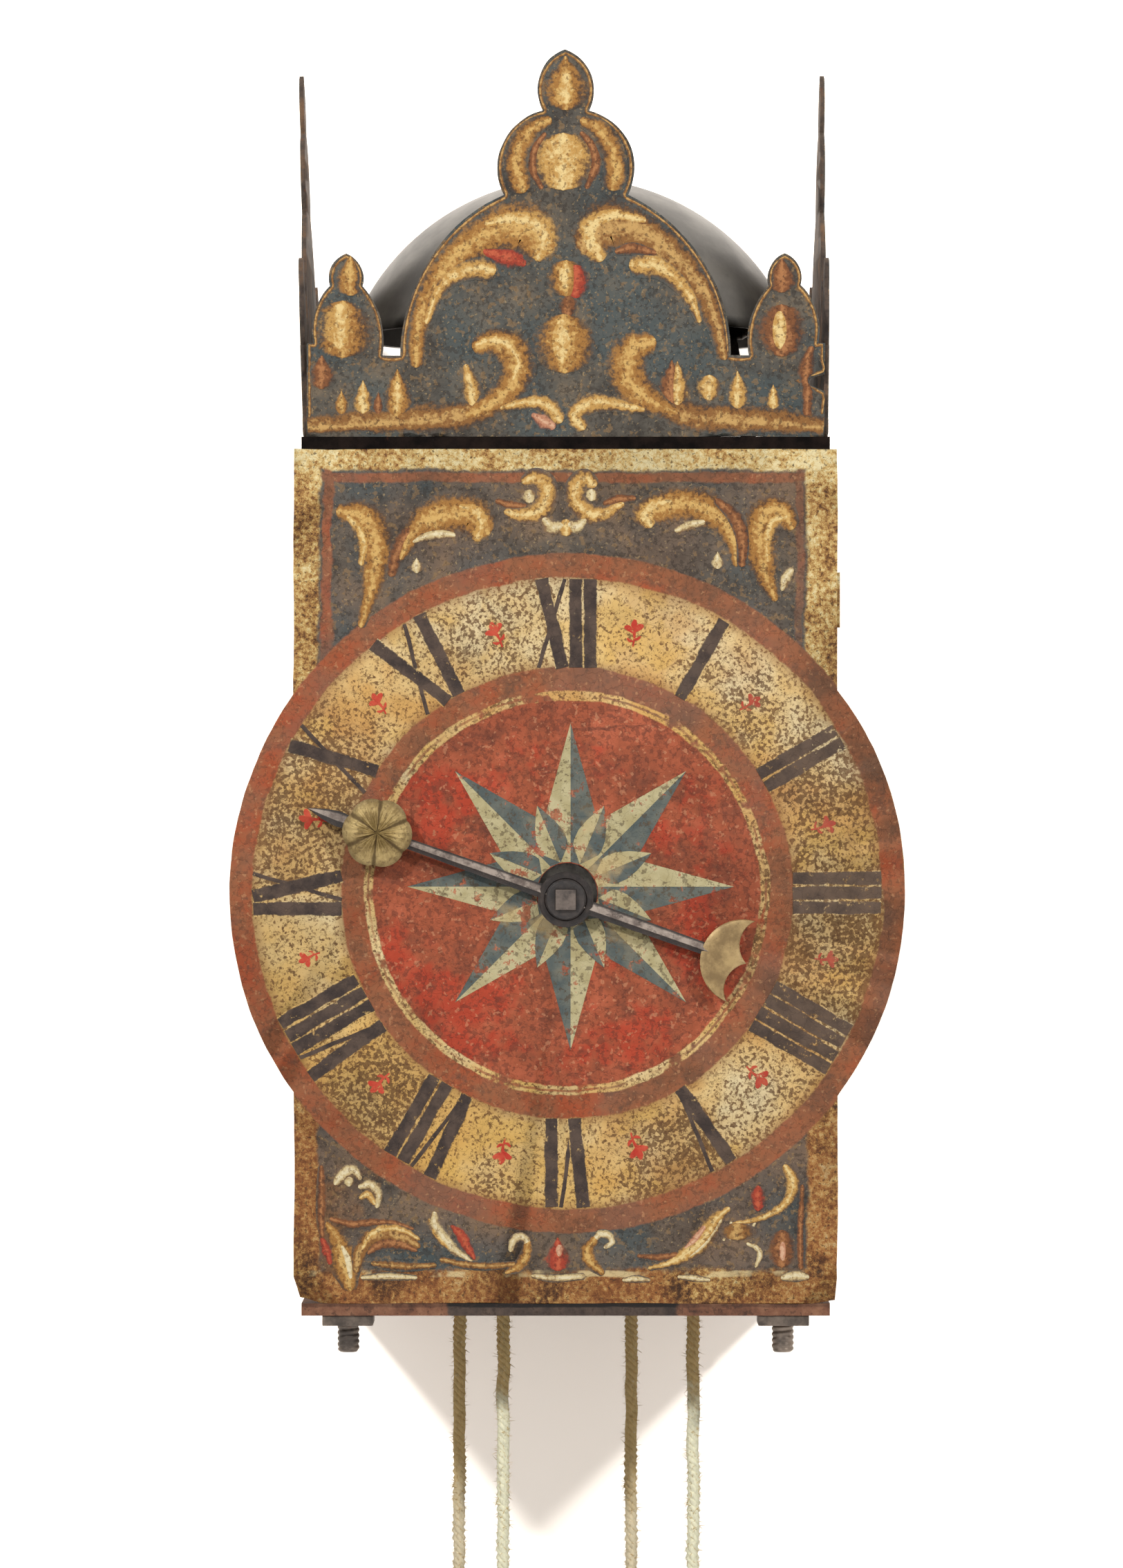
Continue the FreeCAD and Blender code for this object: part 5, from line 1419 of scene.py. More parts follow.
class Repeater(Growth):
    """Sets one small shape on every point of a carrier."""

    def __init__(self) -> None:
        """Build the tree, which reads each shape's turn and size from its point."""
        super().__init__("repeat_on_points", Shape="Object", Finish="Material", Size="Float")
        shape = self.node("GeometryNodeObjectInfo", {}, {"Object": self.given.beside("Shape")}, "Geometry")
        turn = self.node("GeometryNodeInputNamedAttribute", {"data_type": "FLOAT_VECTOR"}, {"Name": "turn"})
        grow = self.node("GeometryNodeInputNamedAttribute", {"data_type": "FLOAT"}, {"Name": "grow"})
        self.put(self.given, shape, turn, grow * self.given.beside("Size"))

    def grow(self, name: str, shape: Object, finish: Material, points: Sequence[Vector],
             turns: Sequence[Tuple[float, float, float]], sizes: Sequence[float],
             angle: float = 40.0) -> Object:
        """Set a shape on points and make a plain mesh of the result.

        Args:
            name: name of the piece.
            shape: the small shape, which is removed afterwards.
            finish: material of the piece.
            points: where the shapes go.
            turns: turn of each, in radians round the three axes.
            sizes: scale of each.
            angle: edges sharper than this, in degrees, stay sharp.

        Returns:
            The finished object.
        """
        carrier = bpy.data.meshes.new(name + "_points")
        carrier.from_pydata([tuple(point) for point in points], [], [])
        carrier.attributes.new("turn", "FLOAT_VECTOR", "POINT").data.foreach_set(
            "vector", [value for turn in turns for value in turn])
        carrier.attributes.new("grow", "FLOAT", "POINT").data.foreach_set("value", list(sizes))
        holder = placed(name + "_points", carrier)
        mesh = self.run(holder, name, Shape=shape, Finish=finish, Size=1.0)
        bpy.data.objects.remove(holder)
        bpy.data.objects.remove(shape)
        return settle(mesh, name, finish, angle)


class Fuzz(Growth):
    """Grows short loose fibres on a rope."""

    LENGTH = 0.0022
    ROOT = 0.00013          # radius of a fibre where it leaves the rope
    TIP = 0.00003
    LEAN = Vector((1.2, 1.2, 3.1))

    def __init__(self) -> None:
        """Build the tree, which spreads points on the strands with a thin fibre on each."""
        super().__init__("rope_fibres", Finish="Material", Density="Float", Length="Float")
        sockets = {"Mesh": self.given, "Density": self.given.beside("Density"), "Seed": 11}
        points = self.node("GeometryNodeDistributePointsOnFaces", {}, sockets, "Points")
        sockets = {"Vertices": 3, "Radius Top": self.TIP, "Radius Bottom": self.ROOT,
                   "Depth": self.given.beside("Length")}
        fibre = self.node("GeometryNodeMeshCone", {}, sockets, "Mesh")
        tilt = self.node("FunctionNodeRandomValue", {"data_type": "FLOAT_VECTOR"},
                         {0: -self.LEAN, 1: self.LEAN, "Seed": 5})
        turn = self.node("FunctionNodeRotateRotation", {"rotation_space": "LOCAL"},
                         {0: points.beside("Rotation"), 1: tilt})
        size = self.node("FunctionNodeRandomValue", {"data_type": "FLOAT"}, {2: 0.5, 3: 1.0, "Seed": 23}, 1)
        self.put(points, fibre, turn, size)

    def grow(self, name: str, rope: Object, finish: Material, density: float) -> Object:
        """Grow fibres on a rope, so many on a square metre."""
        mesh = self.run(rope, name, Finish=finish, Density=density, Length=self.LENGTH)
        return settle(mesh, name, finish, 80.0)


@dataclass
class Studio:
    """Camera, light, wall and floor."""

    camera_x: float = -1.35
    camera_height: float = 169.0
    camera_far: float = 2.12
    lens: float = 137.6
    lamp_sides: Tuple[float, float] = (-1.03, 1.29)
    lamp_rise: float = 0.85
    lamp_far: float = 1.7
    lamp_size: float = 0.12
    lamp_power: float = 19.5
    ambient: float = 0.4
    wall_coats: int = 3
    wall_white: Colour = (0.82, 0.76, 0.69, 1.0)
    floor_white: Colour = (0.86, 0.86, 0.86, 1.0)
    floor_at: float = -1.1
    reach: float = 3.0          # half width of wall and floor
    wall_gap: float = 0.002     # between the clock's back and the wall's face
    aim: Tuple[float, float, float] = (0.0, 0.0, -0.15)

    def build(self) -> None:
        """Set up everything around the clock."""
        scene = bpy.context.scene
        scene.view_settings.view_transform = "Standard"
        self._camera(scene)
        for side in self.lamp_sides:
            self._lamp(side)
        self._world(scene)
        self._backdrop()

    def _camera(self, scene: Scene) -> None:
        """Put the camera level in front of the dial.

        Args:
            scene: scene that is seen through it.
        """
        data = bpy.data.cameras.new("camera")
        data.sensor_width = 36.0
        data.lens = self.lens
        camera = placed("camera", data)
        camera.location = (self.camera_x * MM, -self.camera_far, (self.camera_height - EYE_AT) * MM)
        camera.rotation_euler = (math.radians(90), 0, 0)
        scene.camera = camera

    def _lamp(self, side: float) -> None:
        """Hang one soft lamp above and beside the camera.

        Args:
            side: metres to the right of the clock.
        """
        data = bpy.data.lights.new("lamp", "AREA")
        data.energy = self.lamp_power
        data.size = self.lamp_size
        lamp = placed("lamp", data)
        lamp.location = (side, -self.lamp_far, self.lamp_rise)
        lamp.rotation_euler = (Vector(self.aim) - lamp.location).to_track_quat("-Z", "Y").to_euler()

    def _world(self, scene: Scene) -> None:
        """Even light from all round, seen as white.

        Args:
            scene: scene that is lit.
        """
        world = bpy.data.worlds.new("room")
        world.use_nodes = True
        mix = Nodes(world.node_tree)
        light = mix.node("ShaderNodeBackground", {}, {"Color": WHITE, "Strength": self.ambient})
        white = mix.node("ShaderNodeBackground", {}, {"Color": WHITE})
        both = mix.node("ShaderNodeMixShader", {}, {0: mix.seen(), 1: light, 2: white})
        mix.end("ShaderNodeOutputWorld", both)
        scene.world = world

    def _backdrop(self) -> None:
        """A white wall that shows only its front, and a pale floor below."""
        far, gap, low = self.reach, self.wall_gap, self.floor_at
        wall = self._sheet("wall", self.wall_white, [(-far, gap, low), (far, gap, low), (far, gap, far),
                                                     (-far, gap, far)])
        floor = self._sheet("floor", self.floor_white, [(-far, -far, low), (far, -far, low), (far, far, low),
                                                        (-far, far, low)])

    def _sheet(self, name: str, colour: Colour, corners: Sequence[Tuple[float, float, float]]) -> Object:
        """Make one flat stage piece.

        Args:
            name: name of the piece.
            colour: its white.
            corners: its four corners in metres.

        Returns:
            The piece.
        """
        mesh = bpy.data.meshes.new(name)
        mesh.from_pydata(corners, [], [(0, 1, 2, 3)])
        mix = Recipe(name + "_white")
        white = diffuse = mix.node("ShaderNodeBsdfDiffuse", {}, {"Color": colour})
        for _ in range(self.wall_coats - 1):
            white = mix.node("ShaderNodeAddShader", {}, {0: diffuse, 1: white})
        clear = mix.node("ShaderNodeBsdfTransparent", {}, {})
        rear = mix.node("ShaderNodeNewGeometry", {}, {}, "Backfacing")
        shown = mix.seen() * (1 - rear)
        both = mix.node("ShaderNodeMixShader", {}, {0: shown, 1: clear, 2: white})
        mix.end("ShaderNodeOutputMaterial", both)
        mesh.materials.append(mix.material)
        return placed(name, mesh)


@dataclass
class Rope:
    """One rope: two free runs and the turn over its pulley."""

    train: str
    left_x: float
    right_x: float
    y: float
    left_body: str
    right_body: str
    finish: Material
    top: float = 80.645         # height of the pulley's axis
    end: float = -116.0         # height of the weights' eyes
    radius: float = 2.25
    pitch: float = 9.0          # one turn of the twist
    lead: float = 27.0          # point that keeps a run straight below the pulley
    strands: int = 4
    sides: int = 8
    strand_at: float = 0.5      # strand's middle from the rope's, and its radius, against the rope's radius
    strand_half: float = 0.56
    uneven: float = 0.16        # how much a strand swells and shrinks
    sway: float = 0.5           # how far the rope strays from its line
    hairs: float = 260000.0     # loose fibres on a square metre of strand

    def build(self, kit: Kit, fuzz: Fuzz) -> None:
        """Make the runs, the turn and their loose fibres.

        Args:
            kit: hands the pieces to the frame.
            fuzz: tree that grows the loose fibres.
        """
        ends = (("left", self.left_x, self.left_body), ("right", self.right_x, self.right_body))
        for side, x, body in ends:
            route = [case(x, self.y, height) for height in (self.top, self.top - self.lead, self.end)]
            line = self._line(route)
            name = f"{self.train}_rope_{side}_run"
            run = self._twist(name, line)
            hair = fuzz.grow(name + "_fibres", run, self.finish, self.hairs)
            for piece in (run, hair):
                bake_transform(piece)
                LOG.info("%s hangs between the frame and %s", piece.name, body)
            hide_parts(self.train + "_rope")
            (self.top - self.end) * MM
            2 * self.radius * MM
        self._over_pulley(kit)

    def _over_pulley(self, kit: Kit) -> None:
        """Lay the half turn over the pulley.

        Args:
            kit: hands the pieces to the frame.
        """
        middle, reach = (self.left_x + self.right_x) / 2, (self.right_x - self.left_x) / 2
        outer = reach / math.cos(math.pi / 8)
        corners = [(outer * math.cos(turn), outer * math.sin(turn))
                   for turn in (math.pi * share / 8 for share in (7, 5, 3, 1))]
        route = [(-reach, 0.0)] + corners + [(reach, 0.0)]
        line = self._line([case(middle + x, self.y, self.top + rise) for x, rise in route])
        turn = self._twist(self.train + "_rope_turn", line)
        kit.add(turn, "frame", "hemp", self.train + "_rope")

    def _line(self, route: Sequence[Vector]) -> List[Vector]:
        """Read a smooth line from the route's curve.

        Args:
            route: points of the route.

        Returns:
            Points close together along the curve.
        """
        curve = bpy.data.curves.new("route", "CURVE")
        curve.dimensions = "3D"
        spline = curve.splines.new("NURBS")
        spline.points.add(len(route) - 1)
        for point, place in zip(spline.points, route):
            point.co = (*place, 1.0)
        spline.order_u = 3
        spline.use_endpoint_u = True
        spline.resolution_u = 60
        holder = placed("route", curve)
        mesh = plain_mesh(holder, "route")
        line = [vertex.co.copy() for vertex in mesh.vertices]
        bpy.data.objects.remove(holder)
        bpy.data.meshes.remove(mesh)
        return line

    def _twist(self, name: str, line: Sequence[Vector]) -> Object:
        """Lay the strands round a line.

        Args:
            name: name of the piece.
            line: points of the rope's middle.

        Returns:
            The rope.
        """
        shell = Shell()
        radius, pitch = self.radius * MM, self.pitch * MM
        across_y = Vector((0.0, 1.0, 0.0))
        for strand in range(self.strands):
            rings, along, run = [], [], 0.0
            for index, spot in enumerate(line):
                before, after = line[max(index - 1, 0)], line[min(index + 1, len(line) - 1)]
                way = (after - before).normalized()
                side = way.cross(across_y).normalized()
                if index:
                    run += (spot - line[index - 1]).length
                turn = 2 * math.pi * (strand / self.strands + run / pitch)
                loose = 1 + self.uneven * noise.noise(spot * 260 + Vector((strand * 7.0, 0, 0)))
                sway = noise.noise_vector(spot * 120) * min(1.0, run * 40) * (self.sway * MM)
                out = side * math.cos(turn) + across_y * math.sin(turn)
                middle = spot + sway + out * radius * self.strand_at
                rings.append([middle + (side * math.cos(angle) + across_y * math.sin(angle)) * radius
                              * self.strand_half * loose for angle in circle(self.sides)])
                along.append(run / MM)
            shell.loft(rings, along)
        return shell.make(name, self.finish, 80.0)


def around(middle: Spot, angle: float, side: float, reach: float) -> Spot:
    """A place round a middle on the dial.

    Args:
        middle: place across and up that is gone round.
        angle: direction in degrees, clockwise from the top.
        side: millimetres clockwise of that direction's line.
        reach: distance from the middle along it.

    Returns:
        Place across and up.
    """
    turn = math.radians(angle)
    x = middle[0] + reach * math.sin(turn) + side * math.cos(turn)
    return x, middle[1] + reach * math.cos(turn) - side * math.sin(turn)


@dataclass
class Dial:
    """The dial plate's paint: hour figures, flowers, star and corner ornament."""

    middle: Spot = DIAL_MIDDLE
    star_middle: Spot = (1.6, 135.6)
    figure_in: float = 73.4
    figure_out: float = 102.2
    thick_half: float = 2.4
    thin_half: float = 0.75
    pitch: float = 4.8
    cross_width: float = 9.5
    flower_at: float = 86.5
    top_spread: float = 1.36        # how much wider than written the scrolls are laid
    low_spread: float = 1.16
    hole: float = 10.2
    star_tip: float = 53.2
    star_valley: float = 23.0
    star_lift: float = 0.06         # height of the star's paint, and of the leaves on it
    leaf_lift: float = 0.12
    sunk: float = 0.2               # paint's underside inside the plate
    leaf: Tuple[Spot, ...] = ((28.5, 0.0), (25.5, 1.7), (22.0, 3.4), (18.0, 4.7), (14.5, 4.8), (12.9, 4.4))
    hours: Tuple[str, ...] = ("XII", "I", "II", "III", "IIII", "V", "VI", "VII", "VIII", "IX", "X", "XI")
    drift: Dict[str, Spot] = field(default_factory=lambda: {"XI": (-2.6, 1.6)})     # turn and outward spread

    def build(self, kit: Kit, repeater: Repeater) -> None:
        """Paint the dial plate.

        Args:
            kit: hands the pieces to the frame.
            repeater: tree that sets the flowers.
        """
        corners = ((case(-88.0, 0.0, 0.0), Vector((2.4, 0, 2.2)) * MM, 9 * MM),
                   (case(88.0, 0.0, 0.0), Vector((-0.9, 0, 1.1)) * MM, 7 * MM))
        plate = hammered(kit.nodes["dial_plate"], "dial_sheet", kit.finishes.dial, 0.4, corners)
        kit.add(plate, "frame", "painted plate", "dial_plate")
        self._figures(kit)
        self._flowers(kit, repeater)
        self._star(kit)
        self._ornament(kit)

    def _strokes_of(self, text: str) -> List[Tuple[float, float, float]]:
        """Lay out one hour's strokes.

        Args:
            text: the hour's figure.

        Returns:
            Side of the inner end, side of the outer end and half width of each stroke.
        """
        rows, edge, width = [], 0.0, self.cross_width
        for letter in text:
            if letter == "I":
                rows.append((edge + self.pitch / 2, edge + self.pitch / 2, self.thick_half))
                edge += self.pitch
            elif letter == "V":
                rows.append((edge + width * 0.55, edge + self.thick_half, self.thick_half))
                rows.append((edge + width * 0.6, edge + width, self.thin_half))
                edge += width + 0.8
            else:
                rows.append((edge + width - 1.0, edge + 1.6, self.thick_half))
                rows.append((edge + 0.6, edge + width - 0.4, self.thin_half))
                edge += width + 0.8
        return [(inner - edge / 2, outer - edge / 2, half) for inner, outer, half in rows]

    def _figures(self, kit: Kit) -> None:
        """Paint the twelve hour figures.

        Args:
            kit: hands the pieces to the frame.
        """
        brush = Brush(lambda x, height, lift: case(x, -lift, height), 0.1)
        chance = random.Random(4)
        for hour, text in enumerate(self.hours):
            turn, fan = self.drift.get(text, (0.0, 1.0))
            angle = hour * 30.0 + turn
            for inner, outer, half in self._strokes_of(text):
                low = around(self.middle, angle, inner, self.figure_in)
                high = around(self.middle, angle, outer * fan, self.figure_out)
                points = []
                for step in range(6):
                    share = step / 5
                    points.append((low[0] + (high[0] - low[0]) * share + chance.uniform(-0.12, 0.12),
                                   low[1] + (high[1] - low[1]) * share + chance.uniform(-0.12, 0.12),
                                   half * chance.uniform(0.92, 1.08)))
                brush.lay("figures", points, False, 4)
        kit.add(brush.shells["figures"].make("hour_figures", kit.finishes.figure), "frame", "painted plate")

    def _flowers(self, kit: Kit, repeater: Repeater) -> None:
        """Paint a small red flower at each half hour.

        Args:
            kit: hands the pieces to the frame.
            repeater: tree that sets the flowers.
        """
        brush = Brush(lambda x, height, lift: Vector((x * MM, -lift * MM, height * MM)), 0.1)
        for points in (
            ((0.0, -5.0, 0.3), (0.3, -2.0, 0.45), (0.0, 0.5, 0.8)),
            ((-0.3, 0.0, 0.5), (-1.9, 1.3, 1.2), (-3.4, 1.5, 0.5)),
            ((0.2, 0.3, 0.5), (1.8, 1.9, 1.2), (3.2, 2.5, 0.5)),
            ((0.0, 0.8, 0.6), (-0.1, 2.7, 1.3), (0.2, 4.4, 0.5)),
            ((0.1, -2.6, 0.3), (1.5, -2.2, 0.6), (2.4, -1.2, 0.25)),
            ((-0.1, -3.2, 0.3), (-1.3, -3.0, 0.6), (-2.3, -2.2, 0.25)),
        ):
            brush.lay("flower", points, True, 4)
        shape = brush.shells["flower"].make("flower", kit.finishes.flower)
        chance = random.Random(8)
        points, turns, sizes = [], [], []
        for hour in range(12):
            angle = hour * 30.0 + 15.0 + chance.uniform(-1.2, 1.2)
            x, height = around(self.middle, angle, 0.0, self.flower_at + chance.uniform(-1.2, 1.2))
            points.append(case(x, 0.0, height))
            turns.append((0.0, math.radians(angle + chance.uniform(-14, 14)), 0.0))
            sizes.append(chance.uniform(0.78, 1.0))
        flowers = repeater.grow("half_hour_flowers", shape, kit.finishes.flower, points, turns, sizes)
        kit.add(flowers, "frame", "painted plate")

    def _star(self, kit: Kit) -> None:
        """Paint the eight-pointed star and the smaller one on it.

        Args:
            kit: hands the pieces to the frame.
        """
        pale, dark = Shell(), Shell()
        for point in range(8):
            tip = point * 45.0
            for shell, side in ((pale, -1), (dark, 1)):
                valley = tip + side * 22.5
                corners = [(tip, 0.0, 0.0), (tip, 0.0, self.star_tip), (valley, 0.0, self.star_valley),
                           (valley, 0.0, 0.0)]
                self._flat(shell, corners, self.star_lift, [0.0, 0.3, 0.6, 1.0])
                corners = [(tip + 22.5, side * off, reach) for reach, off in ((0.0, 0.0),) + self.leaf]
                self._flat(shell, corners, self.leaf_lift)
        for shell, name, finish in ((pale, "star_pale_halves", kit.finishes.star_pale),
                                    (dark, "star_dark_halves", kit.finishes.star_dark)):
            kit.add(shell.make(name, finish, 20.0), "frame", "painted plate")

    def _flat(self, shell: Shell, corners: Sequence[Tuple[float, float, float]], lift: float,
              across: Optional[Sequence[float]] = None) -> None:
        """Lay one flat piece of the star.

        Args:
            shell: mesh that gathers it.
            corners: direction, side and distance of each; 0 for the distance is the edge of the dial's hole.
            lift: paint's height over the plate.
            across: map value of each corner.
        """
        spots = [around(self.star_middle, angle, side, reach or self._hole_edge(math.radians(angle)))
                 for angle, side, reach in corners]
        rings = [[case(x, depth, height) for x, height in spots] for depth in (self.sunk, -lift)]
        shell.loft(rings, across=across)

    def _hole_edge(self, turn: float) -> float:
        """How far from the star's middle the dial's hole ends in one direction.

        Args:
            turn: direction in radians, clockwise from the top.

        Returns:
            The distance with a small margin.
        """
        off = Vector((self.star_middle[0] - self.middle[0], self.star_middle[1] - self.middle[1]))
        along = off.dot(Vector((math.sin(turn), math.cos(turn))))
        return math.sqrt(along ** 2 - off.length_squared + self.hole ** 2) - along

    def _ornament(self, kit: Kit) -> None:
        """Paint the scrolls in the plate's corners.

        Args:
            kit: hands the pieces to the frame.
        """
        brush = Brush(lambda x, height, lift: case(x, -lift, height), plate=kit.nodes["dial_plate"])
        for strokes, spread in ((TOP_STROKES, self.top_spread), (LOW_STROKES, self.low_spread)):
            brush.spread = spread
            for stroke in strokes:
                brush.lay(stroke.tone, stroke.points, stroke.blunt)
        kit.scrolls(brush, "dial", "frame", "painted plate")


TOP_STROKES: Tuple[Stroke, ...] = (
    Stroke(OCHRE, ((-66.5, 221, 1.2), (-64.5, 228, 2.2), (-62.2, 237, 3.4), (-61.6, 246, 4.6),
                   (-63.4, 253, 4.8), (-67.5, 257, 4), (-72, 257.5, 2.8))),
    Stroke(GOLD, ((-66.4, 241, 1), (-65.6, 247, 1.7), (-67, 252, 1.7), (-70.4, 255.6, 1.3))),
    Stroke(RUST, ((-56.6, 238, 1.6), (-54.6, 245, 2.2), (-50.6, 251, 2.2), (-45, 255, 1.2))),
    Stroke(OCHRE, ((-53.4, 243, 1.2), (-50, 250, 3), (-44, 255, 5), (-37, 256.8, 5.8), (-31, 256.4, 5.4),
                   (-28, 253.6, 4.6))),
    Stroke(GOLD, ((-33.5, 259, 1.6), (-29.6, 257.6, 2.6), (-27.6, 253.4, 3.4), (-28.6, 250, 2.2))),
    Stroke(PALE, ((-49.6, 248, 0.8), (-45, 249.8, 1.3), (-40, 250.4, 1.2), (-36.6, 250, 0.8))),
    drop(PALE, -48.5, 237.6, 242.6, 1.7),
    Stroke(GOLD, ((-19, 257.4, 1.1), (-14.5, 256.4, 2), (-9.4, 257.4, 2.5), (-6.2, 261.4, 2.8),
                  (-6.6, 266.6, 2.7), (-10, 268.8, 2.3), (-13, 267.6, 1.5))),
    oval(PALE, -11.8, 262.6, 2, 2.2),
    Stroke(RUST, ((-22, 261, 0.9), (-18, 259.8, 1.3), (-13.4, 259.4, 0.9))),
    Stroke(PALE, ((-7.4, 255.6, 1), (-4.6, 252.8, 1.9), (-1.4, 253, 1.3))),
    oval(GOLD, 0.2, 252.4, 2.3, 2.8),
    Stroke(PALE, ((6.4, 255, 0.9), (3.6, 252.8, 1.8), (1.4, 253.4, 1.2))),
    Stroke(GOLD, ((8.6, 267, 1.8), (6, 268.6, 2.3), (3.4, 265.6, 2.7), (3.6, 260.6, 2.8), (7.6, 257, 2.7),
                  (13, 257, 2.1), (18, 260, 1.1))),
    oval(PALE, 8.4, 263, 1.7, 2),
    Stroke(RUST, ((22, 262, 0.9), (17, 261.8, 1.3), (13, 260.4, 0.9))),
    Stroke(RUST, ((57.4, 241, 1.4), (57.6, 249, 2), (55, 256, 2.2), (49.6, 261, 1.2))),
    Stroke(OCHRE, ((55.4, 241, 1.2), (54.6, 249, 2.8), (50.4, 256, 4.2), (43.6, 259.6, 5), (36, 259.8, 4.8),
                   (30.4, 258.6, 4.2))),
    Stroke(GOLD, ((33.6, 261, 1.4), (29, 260, 2.8), (25.8, 257, 3.4), (27, 254.2, 2))),
    Stroke(PALE, ((36.2, 251.6, 0.8), (40, 253.2, 1.3), (44.6, 254.2, 0.9))),
    drop(PALE, 49.5, 239, 244.6, 1.7),
    Stroke(OCHRE, ((73, 254, 2.4), (70.6, 258, 3.2), (65.8, 257.8, 4.4), (63, 252, 4.9), (63.4, 244, 4.6),
                   (65.2, 236.4, 3.2), (68, 229.6, 1.2))),
    Stroke(GOLD, ((71.6, 256, 1.2), (67.4, 254.4, 2), (65.4, 249, 2), (65.8, 242, 1.2))),
    Stroke(PALE, ((70.6, 232.6, 0.8), (71.6, 236, 1.7), (73.4, 238.6, 0.9))),
)

